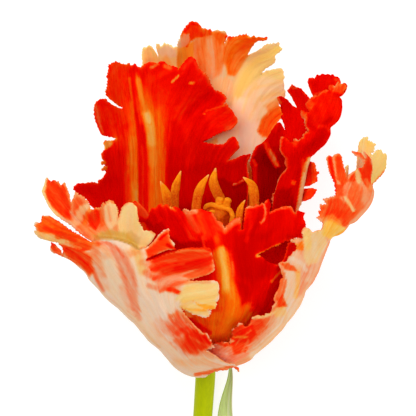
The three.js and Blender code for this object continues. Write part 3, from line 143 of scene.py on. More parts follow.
            ["P", [[-17.76, 98.63], [18.01, 100.09], [15.68, 71.76], [5.52, 49.4], [-5.81, 47.92], [-17.77, 65.79]], 0, 5.7, 0.8, [0.75, 0.9, None, None]],
        ],
    },
    "A": {
        "outline": [
            [-28.8, 128.38], [-27.97, 129.31], [-26.87, 129.69], [-25.78, 129.36], [-24.66, 129.29], [-23.79, 129.6], [-22.94, 129.06], [-21.77, 129.2], [-20.9, 128.5], [-20.02, 128.64],
            [-19.14, 129.35], [-17.97, 129.79], [-16.51, 129.94], [-15.35, 129.53], [-14.47, 129.96], [-13.3, 129.95], [-12.43, 129.1], [-10.97, 128.66], [-9.8, 128.5], [-9.22, 127.64],
            [-8.63, 128.21], [-7.75, 129.35], [-6.87, 130.35], [-5.7, 131.34], [-5.11, 131.2], [-4.24, 130.49], [-3.66, 129.35], [-2.78, 127.65], [-1.62, 127.08], [-0.44, 125.94],
            [0.14, 124.26], [0.73, 122.57], [1.61, 121.42], [2.49, 121.66], [3.37, 121.33], [4.54, 120.42], [5.12, 119.24], [4.55, 118.12], [5.42, 117.8], [6.01, 116.63],
            [6.59, 116.03], [7.18, 114.86], [8.06, 113.68], [8.36, 112.52], [7.49, 111.38], [6.62, 110.53], [4.28, 110.01], [1.63, 108.88], [-0.44, 107.71], [-2.22, 106.83],
            [0.15, 106.25], [2.52, 106.09], [4.29, 106.21], [5.46, 107.35], [6.33, 108.06], [7.21, 108.18], [8.09, 107], [8.67, 106.7], [8.97, 105.54], [8.4, 104.69],
            [6.96, 103.27], [5.5, 101.55], [7.56, 101.96], [9.89, 102.79], [11.35, 102.92], [11.94, 102.33], [11.37, 101.47], [10.8, 100.01], [11.7, 97.06], [11.71, 92.63],
            [10.86, 85.21], [9.4, 77.75], [7.32, 70.28], [5.22, 62.83], [3.13, 55.42], [1.04, 50.1], [-0.74, 47.2], [-1.93, 45.78], [-3.11, 45.5], [-4.3, 46.05],
            [-6.69, 48.94], [-11.14, 53.43], [-16.76, 60.59], [-22.04, 68.35], [-26.93, 75.52], [-30.36, 80.84], [-31.97, 84.95], [-32.53, 87.29], [-33.62, 87.29], [-34.72, 88.16],
            [-35.27, 89.61], [-36.62, 90.47], [-37.96, 91.33], [-38.48, 92.19], [-39, 92.76], [-38.72, 93.62], [-37.91, 94.21], [-36.03, 94.52], [-34.13, 94.84], [-32.79, 94.57],
            [-32.49, 95.45], [-31.66, 95.75], [-30.82, 96.34], [-30.25, 97.22], [-30.21, 98.23], [-31.43, 98.26], [-31.28, 98.78], [-29.9, 99.54], [-30.43, 99.92], [-31.37, 99.95],
            [-31.48, 100.49], [-30.66, 100.95], [-30.92, 101.37], [-31.3, 102.65], [-30.9, 103.53], [-30.37, 104.43], [-30.52, 105.3], [-30.8, 106.32], [-30.14, 106.94], [-28.78, 106.86],
            [-27.69, 107.5], [-28.52, 108.05], [-29.88, 108.27], [-31.23, 108.49], [-31.76, 109.62], [-32.29, 111.03], [-32.79, 112.41], [-33.02, 113.52], [-33.23, 115.19], [-33.18, 116.58],
            [-32.63, 117.46], [-31.82, 118.23], [-31.02, 118.58], [-30.23, 118.95], [-29.46, 118.05], [-27.89, 117.07], [-26.26, 116.48], [-25.13, 116.68], [-26.8, 117.46], [-28.4, 118.45],
            [-29.7, 119.73], [-30.08, 120.83], [-29.68, 122.03], [-29.54, 124.34], [-29.65, 125.75], [-29.09, 127.22],
        ],
        "pins": [
            [-30.75, 118.47, 30.45], [-26.24, 118.95, 19.45], [-20.48, 119.1, 15.95], [-14.61, 119.17, 14.45], [-8.69, 119.1, 15.95], [-2.81, 119.21, 13.45], [1.62, 119.15, 14.95],
            [5.12, 118.95, 19.45], [-28.81, 127.82, 28.45], [-24.71, 127.63, 21.45], [-20.32, 128.22, 21.45], [-14.49, 128.83, 20.95], [-9.22, 127.07, 20.95], [-5.7, 130.49, 22.45],
            [-1.62, 126.52, 20.45], [-31.75, 111.35, 27.45], [-27.71, 110.16, 19.45], [-19.95, 110.35, 13.45], [-12.9, 110.43, 10.95], [-6.36, 110.35, 13.25], [-0.45, 110.38, 12.25],
            [3.69, 111.79, 14.45], [7.77, 112.54, 18.45], [-1.04, 107.12, 12.45], [8.39, 105.83, 16.45], [-31.17, 102.07, 27.45], [-26.87, 101.38, 18.25], [-20.02, 101.53, 10.85],
            [-12.96, 101.59, 7.65], [-5.8, 101.58, 8.45], [0.75, 101.58, 8.05], [6.67, 102.12, 10.95], [11.36, 102.05, 14.45], [-38.73, 93.33, 32.45], [-33.39, 91.95, 23.45],
            [-28.7, 92.59, 16.45], [-22.12, 92.64, 10.05], [-14.77, 92.66, 6.25], [-7.32, 92.67, 5.45], [0.15, 92.67, 5.65], [7.6, 92.65, 8.05], [11.42, 92.63, 10.95],
            [-31.97, 85.54, 22.45], [-27.9, 82.27, 14.25], [-22.18, 82.23, 8.25], [-14.81, 82.2, 4.65], [-5.84, 82.2, 3.35], [3.15, 82.2, 3.95], [10.28, 82.23, 7.95],
            [-26.37, 75.51, 15.95], [-20.68, 74.79, 8.65], [-13.32, 73.22, 4.15], [-2.84, 73.2, 3.15], [7.91, 73.26, 6.25], [-18.25, 63.85, 10.65], [-10.31, 62.77, 5.05],
            [-1.34, 62.73, 3.85], [4.93, 62.82, 6.65], [-11.74, 55.2, 9.65], [-5.82, 53.86, 6.25], [2.24, 53.94, 8.05], [-6.39, 48.64, 9.25], [-1.34, 48.61, 8.65],
            [-3.11, 45.5, 11.45], [-4.3, 46.05, 10.75], [-1.63, 45.93, 11.15],
        ],
        "guides": [
            [0, [[-2.82, 46.62], [-5.82, 53.86], [-11.79, 62.8], [-17.16, 73.26], [-19.84, 82.22], [-20.1, 89.67], [-20, 104.48], [-21.11, 113.27], [-22.23, 119.08], [-23.28, 127.1]]],
            [-6, [[-3.41, 46.62], [-7.6, 54.48], [-14.75, 64.34], [-21.26, 75.4], [-24.21, 85.21], [-24.69, 95.57], [-25.17, 104.36], [-26.29, 113.13], [-27.31, 120.29], [-27.99, 128.47]]],
            [-11, [[-4.01, 46.62], [-9.38, 54.53], [-17.67, 64.42], [-25.26, 76.36], [-28.17, 85.23], [-28.92, 95.51], [-30.1, 104.15], [-31.5, 109.93], [-32.65, 116.62]]],
            [-16, [[-4.6, 46.62], [-11.14, 54.6], [-20.01, 65.95], [-27.51, 76.41], [-30.89, 85.24], [-34.2, 90.2], [-37.94, 93.06]]],
            [5, [[-2.52, 46.62], [-4.03, 53.84], [-8.83, 64.23], [-13.02, 76.21], [-15.99, 85.2], [-16.85, 92.66], [-17.08, 104.52], [-17.89, 113.32], [-19, 120.57], [-19.73, 128.78]]],
            [10, [[-1.93, 46.63], [-2.24, 53.85], [-5.24, 64.21], [-9.44, 76.2], [-13.01, 86.69], [-13.88, 94.16], [-13.83, 104.54], [-13.47, 113.35], [-11.04, 121.42], [-7.75, 128.78]]],
            [15, [[-1.63, 46.63], [-0.45, 53.88], [-1.64, 64.22], [-5.24, 76.19], [-8.23, 86.09], [-10, 95.65], [-9.36, 104.53], [-6.36, 112.71], [-2.22, 119.79], [0.73, 123.69]]],
            [20, [[-1.34, 46.63], [1.05, 53.91], [1.65, 64.26], [0.15, 76.2], [-2.84, 86.09], [-4.03, 95.06], [-1.93, 104.5], [1.92, 111.54], [6.89, 114.87]]],
            [26, [[-1.04, 46.63], [2.83, 54.54], [5.52, 64.31], [5.83, 76.23], [3.74, 86.09], [3.14, 95.05], [5.49, 102.72], [8.38, 106.41]]],
            [32, [[-0.74, 46.63], [4.32, 56.91], [8.5, 68.8], [9.99, 77.75], [9.68, 86.1], [9.95, 95.01], [11.07, 102.05]]],
        ],
        "fill": [0.97, 0.8, 0, 0],
        "other": [0.1, 0.62, 0.5, 1],
        "marks": [
            # fourth value s: above zero is painted shade deep in the cup and along a crease, below zero is painted
            # light on the left lobes
            ["P", [[-35.19, 95.4], [-30.81, 96.63], [-25.26, 96.15], [-24.21, 85.21], [-34.69, 85.26], [-39.54, 92.46]], 0, 2.28, 0.85, [1.05, None, None, -0.03]],
            ["P", [[-29.59, 129.42], [-23.8, 129.32], [-23.91, 123.66], [-24.58, 113.78], [-30.49, 118.49]], 0, 2.28, 0.85, [0.8, 1, None, -0.03]],
            ["P", [[-32.11, 117.22], [-25.13, 116.68], [-24.61, 104.38], [-27.4, 104.28], [-29.62, 110.63], [-32.75, 113.82]], 0, 2.28, 0.7, [0.83, 1, None, -0.07]],
            ["P", [[-11.15, 105.13], [-6.95, 112.71], [-1.63, 118.05], [1.62, 120.29], [4.83, 120.11], [8.35, 113.67], [1.92, 109.77], [-1.63, 106.83], [8.38, 106.12], [11.95, 102.04], [12.06, 71.81], [-13.31, 71.73], [-13.89, 89.68], [-12.97, 100.11]], 0, 2.56, 0.8, [1.03, 0.5, None, None]],
            ["P", [[-12.37, 100.11], [11.95, 102.04], [12.06, 71.81], [-14.8, 71.74], [-13.3, 89.68]], 0, 3.42, 0.8, [1.12, None, None, 0.1]],
            ["P", [[-8.82, 88.19], [12.01, 92.63], [12.03, 59.97], [-11.77, 59.86]], 0, 3.42, 0.8, [1.15, None, None, 0.3]],
            ["P", [[1.94, 96.84], [7.89, 94.43], [11.11, 96.77], [12.05, 80.75], [3.15, 80.7]], 0, 1.42, 0.7, [1.18, None, None, 0.35]],
            ["P", [[-1.33, 115.7], [5.42, 117.22], [8.35, 113.38], [6.03, 111.13], [0.15, 110.68]], 0, 1.71, 0.75, [0.85, None, None, None]],
            ["P", [[-8.09, 121.41], [-2.8, 122.61], [-1.63, 118.05], [-5.77, 115.08], [-9.3, 116.23]], 0, 2.28, 0.6, [0.85, 0.8, None, None]],
            ["L", [[-17.46, 125.43], [-12.75, 126.55], [-8.64, 127.07]], 0.43, 1.42, 0.6, [0.84, 0.8, None, None]],
            ["L", [[-16.02, 123.73], [-12.76, 125.7], [-8.63, 127.36]], 0.28, 0.74, 0.55, [1.08, None, None, None]],
            ["L", [[1.91, 121.12], [-1.04, 119.5], [-4.29, 117.15], [-6.65, 114.77], [-8.43, 111.84], [-9.93, 108.93], [-10.85, 104.54], [-11.78, 98.63], [-12.39, 92.67], [-13.01, 87.29]], 0.46, 1.28, 0.8, [1.12, 0.4, None, None]],
            ["L", [[-2.81, 119.21], [0.73, 120.32], [3.67, 119.61]], 0.57, 1.14, 0.5, [1.06, None, None, None]],
            ["P", [[-24.6, 110.26], [-20.52, 113.86], [-19.42, 104.49], [-19.54, 85.2], [-25.07, 85.21], [-25.23, 98.5]], 0, 2.85, 0.75, [0.76, 1, None, None]],
            ["P", [[-27.3, 120.57], [-20.46, 120.26], [-18.76, 115.65], [-19.36, 111.53], [-25.73, 111.99]], 0, 2.28, 0.7, [0.76, 1, None, None]],
            ["L", [[-22.17, 85.5], [-22.29, 89.67], [-22.41, 92.63], [-22.5, 96.77], [-22.57, 101.49], [-22.6, 105.9], [-22.52, 109.72]], 0.91, 1.71, 0.92, [0.57, 1.2, None, None]],
            ["L", [[-21.88, 84.91], [-22.01, 88.48], [-22.13, 92.04], [-22.28, 94.41]], 0.34, 1.2, 0.95, [0.16, 1.2, None, None]],
            ["L", [[-22.23, 93.82], [-22.43, 97.37], [-22.64, 100.61]], 0.23, 1.14, 0.85, [0.38, 1.2, None, None]],
            ["L", [[-22.74, 102.07], [-22.71, 105.6], [-22.59, 107.96]], 0.28, 1.14, 0.7, [0.4, 1.2, None, None]],
            ["L", [[-22.58, 108.54], [-22.57, 112.66], [-22.65, 117.33]], 0.63, 1.71, 0.85, [0.58, 1, None, None]],
            ["L", [[-22.92, 100.89], [-22.95, 104.42], [-22.76, 107.95]], 0.51, 1.28, 0.85, [0.4, 1.1, None, None]],
            ["L", [[-22.44, 109.13], [-22.27, 113.25], [-22.43, 116.76], [-22.81, 119.65], [-23.23, 122.53], [-23.51, 125.1]], 0.17, 0.74, 0.85, [0.54, 1, None, None]],
            ["L", [[-8.74, 108.04], [-10.49, 115.65], [-13.42, 120.31], [-17.49, 123.73]], 0.85, 3.7, 0.65, [0.84, 1, None, None]],
            ["P", [[-18.7, 121.44], [-15.2, 119.17], [-12.56, 116.25], [-11.7, 111.59], [-13.23, 105.13], [-14.46, 96.83], [-15.37, 90.87], [-17.69, 101.56]], 0, 2.85, 0.85, [0.7, 1, None, None]],
            ["P", [[-21.54, 126.26], [-20.1, 125.13], [-18.69, 122.01], [-16.97, 118.58], [-14.64, 115.39], [-13.2, 111.01], [-12.94, 104.54], [-13.27, 96.84], [-13.59, 89.68], [-14.21, 83.7], [-19.84, 83.71], [-18.91, 92.65], [-18.29, 98.59], [-18.25, 104.5], [-18.65, 109.78], [-19.5, 114.47], [-20.48, 118.52], [-21.47, 121.98]], 0, 1.99, 0.9, [0.57, 1.2, None, None]],
            ["L", [[-16.88, 84.9], [-16.71, 90.87], [-16.53, 96.82]], 0.85, 2.28, 0.8, [0.55, 1.2, None, 0.04]],
            ["L", [[-16.53, 97.42], [-16.69, 101.57], [-17.07, 105.69]], 0.85, 2.28, 0.85, [0.46, 1.2, None, None]],
            ["L", [[-17.22, 100.97], [-17.13, 105.69], [-17.16, 109.22], [-17.61, 112.15], [-18.35, 115.07]], 0.46, 1.85, 0.85, [0.33, 1.2, None, None]],
            ["L", [[-17.35, 106.87], [-17.51, 109.8], [-17.84, 112.44], [-18.59, 115.06]], 0.46, 1.42, 0.95, [0.14, 1.1, None, None]],
            ["L", [[-18.04, 112.73], [-19.16, 116.51], [-20.01, 119.4], [-20.62, 122.28], [-20.98, 124.85]], 0.23, 1.03, 0.88, [0.38, 1.1, None, None]],
            ["L", [[-18.7, 115.06], [-18.1, 113.02]], 0.23, 0.97, 0.9, [0, 0.9, None, None]],
            ["L", [[-17.77, 84.3], [-17.16, 87.89], [-16.26, 90.87]], 0.57, 1.71, 0.6, [0.5, 1.2, None, 0.05]],
            ["P", [[-11.4, 113.33], [-8.13, 112.13], [-6.98, 104.51], [-8.2, 98.03], [-10.89, 98.63]], 0, 1.99, 0.7, [1.08, None, None, None]],
            ["L", [[-18.95, 85.2], [-19.01, 91.16], [-19.03, 97.1], [-19.05, 103.02], [-19.45, 107.42], [-20.07, 111.52]], 0.34, 0.57, 0.86, [1.03, 0.7, None, None]],
            ["L", [[-20.71, 85.2], [-20.79, 91.16], [-20.81, 97.09], [-20.8, 102.99], [-20.85, 107.4], [-21.17, 111.5], [-21.62, 115.02]], 0.31, 0.57, 0.84, [0.99, 0.7, None, None]],
            ["L", [[-19.86, 95.02], [-19.85, 101.53], [-19.99, 105.65]], 0.14, 0.4, 0.7, [0.78, 0.8, None, None]],
            ["L", [[-21.62, 115.02], [-22.01, 118.22], [-22.32, 121.4], [-22.56, 124.83]], 0.23, 0.57, 0.75, [1, None, None, None]],
            ["L", [[-1.04, 116], [1.92, 116.81], [5.42, 117.8]], 0.11, 0.26, 0.8, [0.62, 0.7, None, None]],
            ["L", [[-10.86, 124.4], [-10.12, 125.16], [-9.08, 126.06]], 0.17, 0.23, 0.95, [0.14, 0.9, None, None]],
            ["L", [[-5.73, 123.99], [-5.14, 124.14], [-4.56, 124.28]], 0.23, 0.23, 0.95, [0.28, 1, None, None]],
            ["L", [[-1.63, 115.26], [-1.45, 115.26]], 0.14, 0.23, 0.9, [0.4, 1, None, None]],
            ["P", [[-8.05, 127.64], [-7.46, 129.36], [-6.28, 131.06], [-4.82, 131.34], [-3.95, 129.35], [-2.78, 127.65], [-1.03, 125.39], [-2.8, 123.73], [-6.31, 124.83]], 0, 0.85, 0.7, [0.92, 0.05, None, None]],
            ["L", [[-6.59, 126.52], [-5.12, 128.79], [-4.53, 130.49]], 0.23, 0.51, 0.6, [1.02, 0.1, None, None]],
            ["L", [[-3.38, 124.85], [-1.91, 125.68], [-0.74, 124.83]], 0.23, 0.51, 0.5, [0.84, 0, None, None]],
            ["L", [[-7.46, 128.22], [-5.7, 130.21], [-4.82, 130.91]], 0.23, 0.57, 0.6, [0.7, 0.05, None, None]],
            ["L", [[-4.24, 129.92], [-3.37, 128.22]], 0.23, 0.57, 0.6, [0.74, 0.05, None, None]],
            ["L", [[-1.91, 127.08], [-0.45, 125.39], [0.44, 122.86]], 0.17, 0.46, 0.5, [0.7, 0.1, None, None]],
            ["L", [[-28.03, 126.49], [-27.46, 127.96], [-26.61, 129.16]], 0.17, 0.46, 0.5, [0.62, 0.1, None, None]],
            ["L", [[-17.12, 128.53], [-15.94, 128.96], [-15.06, 129.39]], 0.17, 0.4, 0.8, [0.42, 0.5, None, None]],
            ["L", [[-13.02, 128.82], [-11.56, 128.24]], 0.28, 0.63, 0.7, [0.4, 0.6, None, None]],
            ["L", [[-32.79, 116.61], [-32.48, 114.13], [-32.01, 111.62], [-31.23, 109.36]], 0.14, 0.28, 0.75, [0.5, 0.1, None, None]],
            ["L", [[-32.13, 116.39], [-31.74, 112.21]], 0.11, 0.23, 0.5, [0.62, 0.1, None, None]],
            ["L", [[7.3, 94.35], [8.18, 94.46], [9.06, 94.84], [9.95, 95.45]], 0.17, 0.23, 0.95, [0.26, 0.3, None, None]],
            ["L", [[7.3, 93.54], [9.95, 94.71]], 0.28, 0.57, 0.6, [1.2, None, None, 0.4]],
            ["L", [[11.36, 102.05], [11.09, 100.01], [11.69, 97.95]], 0.14, 0.28, 0.8, [0.6, 0.3, None, None]],
            ["P", [[-30.64, 104.13], [-30.93, 106.16], [-29.87, 107.25], [-28.24, 107.48], [-28.5, 105.41]], 0, 0.34, 0.95, [0.16, 1, None, None]],
            ["P", [[-31.79, 99.48], [-31.73, 101.2], [-30.39, 101.24], [-30.15, 100.1]], 0, 0.23, 0.9, [0.3, 1, None, None]],
            ["P", [[-31.85, 98.05], [-31.54, 99.06], [-29.89, 99.68], [-29.94, 98.39]], 0, 0.23, 0.9, [0.26, 1, None, None]],
            ["L", [[-31.17, 103.52], [-31.3, 102.36], [-30.92, 101.22]], 0.11, 0.26, 0.7, [0.5, 0.3, None, None]],
            ["P", [[7.78, 112.25], [6.33, 110.25], [4.28, 110.01], [4.86, 111.46]], 0, 0.57, 0.7, [0.7, 0.3, None, None]],
        ],
    },
    "C": {
        "outline": [
            [28.54, 123.52], [28.51, 124.36], [29.07, 124.91], [29.93, 124.9], [30.52, 124.62], [31.08, 125.75], [31.95, 125.61], [32.51, 126.03], [33.37, 125.73], [34.21, 125.84],
            [34.76, 125.53], [35.57, 125.76], [36.11, 125.14], [36.64, 124.95], [37.16, 124.03], [37.38, 122.82], [37.88, 122.76], [38.39, 122.99], [38.86, 122.32], [38.82, 121.43],
            [38.01, 120.33], [37.47, 119.5], [36.95, 118.98], [37.38, 117.72], [37.58, 116.24], [37.3, 114.54], [36.76, 112.85], [35.69, 111.48], [34.37, 110.26], [34.29, 108.36],
            [33.77, 106.96], [33, 105.58], [31.67, 104.21], [30.3, 103.09], [29.16, 101.95], [28.58, 100.51], [29.38, 100.48], [30.19, 100.18], [30.5, 99.04], [30.83, 97.91],
            [31.39, 97.47], [30.87, 96.48], [31.17, 95.34], [29.8, 94.2], [28.12, 93.64], [27.02, 93.36], [27.02, 92.78], [28.95, 92.91], [29.8, 92.91], [30.91, 92.47],
            [30.35, 91.61], [29.21, 90.17], [27.56, 89.31], [26.22, 88.74], [25.95, 87.87], [25.41, 86.13], [25.15, 83.22], [24.11, 76.48], [20.98, 68.51], [16.61, 60.24],
            [11.61, 52.89], [6.63, 48.36], [3.4, 45.59], [1.92, 44.81], [0.74, 45.06], [1.63, 47.55], [4.31, 54.58], [7.91, 64.32], [10.89, 74.76], [12.67, 85.2],
            [12.92, 92.64], [12.6, 98.56], [12, 100.62], [12.28, 102.09], [13.16, 104.44], [14.04, 105.62], [15.22, 106.21], [16.1, 106.94], [17.27, 108.25], [18.41, 110.27],
            [20.42, 112.56], [22.07, 110.09], [22.21, 110.24], [21.9, 111.98], [20.98, 114], [21.56, 114.58], [21.25, 115.43], [20.92, 116.85], [20.29, 118.24], [19.68, 119.37],
            [20.25, 119.79], [21.44, 119.53], [22.34, 119.13], [23.55, 118.02], [24.46, 117.18], [25.64, 116.6], [25.03, 118.03], [24.1, 119.72], [23.19, 120.84], [22.72, 121.68],
            [23.15, 122.25], [23.72, 122.81], [23.99, 123.36], [24.59, 122.8], [25.17, 122.52], [26.34, 122.08], [27.22, 121.36], [28.09, 120.49], [28.97, 119.32], [29.55, 118.45],
            [30.22, 119.55], [29.77, 120.7], [29.16, 122.12],
        ],
        "pins": [
            [29.08, 124.34, 28.45], [33.38, 125.45, 29.45], [36.64, 123.51, 33.45], [38.6, 122.06, 39.45], [29.79, 119.85, 25.45], [34.77, 119.91, 30.45], [37.17, 118.64, 39.45],
            [23.46, 121.69, 23.45], [26.41, 120.28, 22.45], [20.56, 119.09, 22.95], [25.06, 116.6, 19.45], [30.7, 115.82, 24.45], [34.67, 114.92, 32.45], [37.58, 116.24, 42.45],
            [36.5, 112.58, 41.45], [20.95, 115.43, 19.45], [26.54, 111.64, 18.95], [30.86, 110.48, 27.45], [34.32, 109.52, 39.45], [20.43, 111.98, 17.45], [17.57, 107.67, 13.95],
            [22.24, 107.32, 15.95], [27.91, 105.71, 21.45], [33, 105.58, 37.45], [19.36, 104.43, 13.45], [14.34, 105.03, 13.25], [12.59, 100.03, 11.65], [17.95, 100.05, 10.65],
            [23.74, 100.86, 14.95], [28.59, 101.09, 33.45], [30.84, 97.62, 34.45], [31.17, 95.05, 33.45], [27.02, 93.07, 29.45], [30.35, 92.18, 32.45], [12.92, 92.64, 9.85],
            [17.98, 92.64, 9.65], [22.87, 92.6, 14.45], [26.22, 88.74, 27.45], [12.67, 83.71, 7.25], [17.99, 83.72, 9.05], [22.25, 83.75, 15.45], [25.14, 84.38, 25.45],
            [10.59, 74.76, 6.65], [15.62, 74.8, 8.85], [20.23, 74.88, 13.95], [23.56, 75.87, 20.45], [8.5, 65.22, 6.85], [13.22, 65.31, 9.95], [18.97, 66.11, 16.95],
            [4.61, 55.45, 8.65], [8.44, 55.3, 11.85], [13.67, 56.11, 16.95], [1.93, 48.13, 10.85], [4.59, 48.22, 12.45], [7.22, 49.56, 15.45], [0.74, 45.06, 11.55],
            [1.92, 44.96, 12.35],
        ],
        "guides": [
            [-6, [[1.33, 46.67], [6.71, 59.88], [11.19, 74.76], [12.94, 89.67], [13.77, 101.51], [15.22, 105.62]]],
            [-2, [[1.63, 46.68], [7.89, 59.91], [13.85, 74.78], [16.21, 89.67], [18.21, 102.98], [20.43, 111.69], [20.56, 119.09]]],
            [4, [[2.22, 46.7], [9.65, 59.96], [17.38, 76.3], [20.59, 89.66], [23.17, 102.93], [25.68, 113.12], [24.02, 122.53]]],
            [10, [[2.81, 46.71], [12.56, 58.63], [20.79, 74.9], [24.41, 89.63], [27.42, 102.68], [30.94, 113.45], [31.38, 124.9]]],
            [16, [[3.4, 46.45], [15.46, 60.19], [23.02, 76.44], [26.23, 89.61], [29.11, 101.06], [33.98, 111.96], [37.13, 122.86]]],
            [20, [[3.7, 46.17], [17.77, 61.44], [24.11, 76.48], [26.48, 88.16], [29.51, 91.9], [30.63, 92.18]]],
        ],
        "fill": [1.03, 0.7, 0, 0],
        "other": [0.25, 0.6, 0.6, 1],
        "marks": [
            # fourth value s is painted shade in the dark hollow low in the cup
            ["P", [[10.89, 77.74], [12.58, 101.5], [14.33, 106.2], [17.87, 106.79], [21.99, 104.41], [23.71, 98.48], [22.52, 88.17], [17.97, 78.97]], 0, 1.71, 0.95, [1.23, None, None, 0.12]],
            ["L", [[15.64, 78.95], [17.39, 89.67], [19.15, 98.57]], 0.85, 1.71, 0.6, [1.27, None, None, 0.26]],
            ["L", [[16.73, 102.4], [18.55, 99.16], [19.74, 96.79]], 0.85, 1.14, 0.6, [1.27, None, None, 0.18]],
            ["P", [[15.81, 106.79], [16.99, 107.38], [18.18, 105.32], [19.69, 102.68], [20.61, 99.74], [19.43, 99.75], [17.62, 102.4]], 0, 0.68, 0.9, [0.46, 0.7, None, None]],
            ["L", [[17.89, 104.74], [19.41, 101.81]], 0.17, 0.51, 0.6, [0.2, 0.5, None, None]],
            ["L", [[16.41, 105.62], [18.22, 102.1], [19.73, 99.45]], 0.11, 0.4, 0.6, [0.8, 0.6, None, None]],
            ["L", [[13.49, 99.74], [13.51, 96.19], [13.22, 92.64]], 0.23, 0.63, 0.7, [0.9, 0.8, None, 0.1]],
            ["P", [[15.51, 106.79], [17.83, 109.7], [21.32, 110.82], [22.57, 104.41], [19.69, 102.68]], 0, 1.42, 0.7, [1.12, None, None, 0.15]],
            ["P", [[4.58, 46.79], [9.09, 64.34], [10.9, 79.23], [24.12, 79.4], [20.66, 66.18], [11.88, 51.5]], 0, 1.71, 0.95, [1.13, None, None, 0.08]],
            ["L", [[11.1, 101.5], [11.41, 99.74], [12.01, 97.97]], 0.28, 0.46, 0.9, [0.5, 0.4, None, None]],
            ["L", [[12.88, 101.5], [13.78, 100.04]], 0.23, 0.34, 0.8, [0.65, 0.6, None, None]],
            ["L", [[19.68, 119.37], [20.88, 117.97]], 0.23, 0.43, 0.8, [0.5, 0.3, None, None]],
            ["L", [[23.71, 123.09], [24.32, 122.25], [25.19, 122.24]], 0.2, 0.34, 0.7, [0.65, 0.1, None, None]],
            ["P", [[28.33, 100.24], [30.47, 100.17], [31.4, 97.04], [30.63, 94.48], [27.56, 93.35], [27.04, 94.23]], 0, 0.57, 0.95, [0.8, 0.6, None, None]],
            ["P", [[27.02, 92.49], [29.23, 92.76], [30.91, 92.47], [28.93, 89.88], [26.22, 88.74]], 0, 0.57, 0.95, [0.78, 0.6, None, None]],
            ["P", [[30.79, 125.47], [32.51, 126.03], [37.41, 124], [35.84, 122.42], [31.45, 121.5]], 0, 1.14, 0.5, [0.96, None, None, None]],
            ["L", [[29.81, 119.29], [30.91, 120.38], [32.59, 120.91]], 0.2, 0.34, 0.6, [0.6, 0.2, None, None]],
            ["L", [[36.12, 124.43], [37.15, 123.74], [36.62, 122.92]], 0.2, 0.34, 0.7, [0.6, 0.2, None, None]],
        ],
    },
    "C_flap": {
        "outline": [
            [36.76, 123.36], [36.18, 122.78], [35.6, 121.92], [34.51, 122.25], [33.95, 121.68], [34.16, 120.33], [33.36, 120.81], [32.52, 120.54], [31.68, 119.98], [30.83, 119.13],
            [30.04, 119.2], [29.48, 118.64], [28.64, 117.8], [27.8, 116.96], [28.01, 115.75], [28.48, 114.23], [27.72, 114.6], [26.95, 115.26], [26.42, 115.01], [26.4, 113.85],
            [26.91, 112.36], [27.42, 110.61], [27.91, 109.13], [26.82, 108.31], [26.5, 107.14], [25.44, 106.63], [24.13, 107.01], [24.09, 106.12], [23.01, 106.17], [21.95, 107.39],
            [21.13, 107.72], [20.56, 106.28], [20.28, 103.99], [21.1, 102.51], [21.9, 101.61], [21.65, 100.2], [22.19, 98.75], [21.11, 97.35], [20.01, 96.22], [19.45, 94.79],
            [18.89, 92.48], [18.06, 90.47], [18.07, 88.16], [17.81, 85.26], [17.58, 80.31], [20.44, 78.01], [24.11, 79.1], [25.15, 83.22], [25.41, 86.13], [25.95, 87.87],
            [26.22, 88.74], [27.02, 92.78], [27.02, 93.36], [27.88, 96.83], [28.58, 100.51], [29.16, 101.95], [30.3, 103.09], [31.67, 104.21], [33, 105.58], [33.77, 106.96],
            [34.29, 108.36], [34.37, 110.26], [35.69, 111.48], [36.76, 112.85], [37.3, 114.54], [37.58, 116.24], [37.38, 117.72], [36.95, 118.98], [37.47, 119.5], [38.01, 120.33],
            [38.76, 121.38], [38.77, 122.25], [38.2, 122.81], [37.61, 122.51], [37.03, 122.49],
        ],
        "pins": [
            [36.73, 122.76, 42.45], [38.46, 121.94, 41.95], [34.18, 120.78, 42.45], [35.72, 119.22, 45.45], [30.01, 118.6, 40.45], [32.52, 117.15, 47.45], [35.57, 115.99, 48.45],
            [27.2, 114.65, 39.45], [30.52, 113.47, 47.95], [34.44, 112.61, 48.45], [27.41, 109.46, 41.45], [30.55, 109.83, 47.45], [32.85, 108.17, 46.45], [24.39, 106.7, 38.45],
            [27.79, 106.49, 45.95], [31.25, 104.83, 44.45], [21.11, 106.84, 33.45], [21.1, 102.51, 33.95], [25.06, 103.16, 43.45], [28.78, 102.61, 42.45], [21.93, 98.76, 34.95],
            [24.87, 98.1, 40.95], [27.48, 97.55, 39.45], [19.17, 93.64, 30.95], [22.42, 93.01, 37.45], [25.56, 92.43, 37.45], [18.07, 88.16, 28.95], [21.37, 87.86, 34.45],
            [24.81, 87.29, 34.45], [18.13, 80.9, 26.45], [21.52, 80.35, 29.45], [23.87, 80.34, 28.45],
        ],
        "guides": [
            [0, [[18.43, 79.45], [18.88, 90.17], [21.66, 99.35], [21.11, 106.84]]],
            [6, [[20.97, 79.47], [21.89, 91.01], [25.07, 102.32], [27.16, 111.77], [30.81, 118.82]]],
            [11, [[23.28, 80.35], [24.72, 91.01], [28.77, 102.89], [32.17, 112.03], [35.87, 121.9]]],
        ],
        "fill": [1.03, 0.9, 0, 0],
        "other": [0.2, 0.75, 0.8, 0],
        "marks": [
            # fourth value s is painted shade on the lower part of the flap and along its folds
            ["P", [[21.37, 101.07], [25.61, 103.72], [26.72, 92.44], [24.94, 83.25], [18.1, 83.81], [19.17, 93.64]], 0, 1.71, 0.7, [1.08, None, None, 0.08]],
            ["P", [[17.8, 85.55], [19.16, 92.48], [22.98, 93], [25.14, 86.14], [23.31, 79.18], [17.59, 79.15]], 0, 1.71, 0.8, [1.16, None, None, 0.25]],
            ["P", [[28.07, 116.94], [30.83, 119.13], [33.04, 120.21], [36.27, 118.92], [37.01, 114.89], [34.48, 110.95], [30.01, 109.85]], 0, 1.99, 0.7, [0.86, 1, None, None]],
            ["L", [[29.11, 116.84], [30.55, 114.34], [31.07, 111.49]], 0.28, 0.85, 0.5, [1.06, None, None, None]],
            ["L", [[32.35, 118.39], [33.28, 115.39], [33.02, 112.03]], 0.23, 0.74, 0.5, [1.04, None, None, None]],
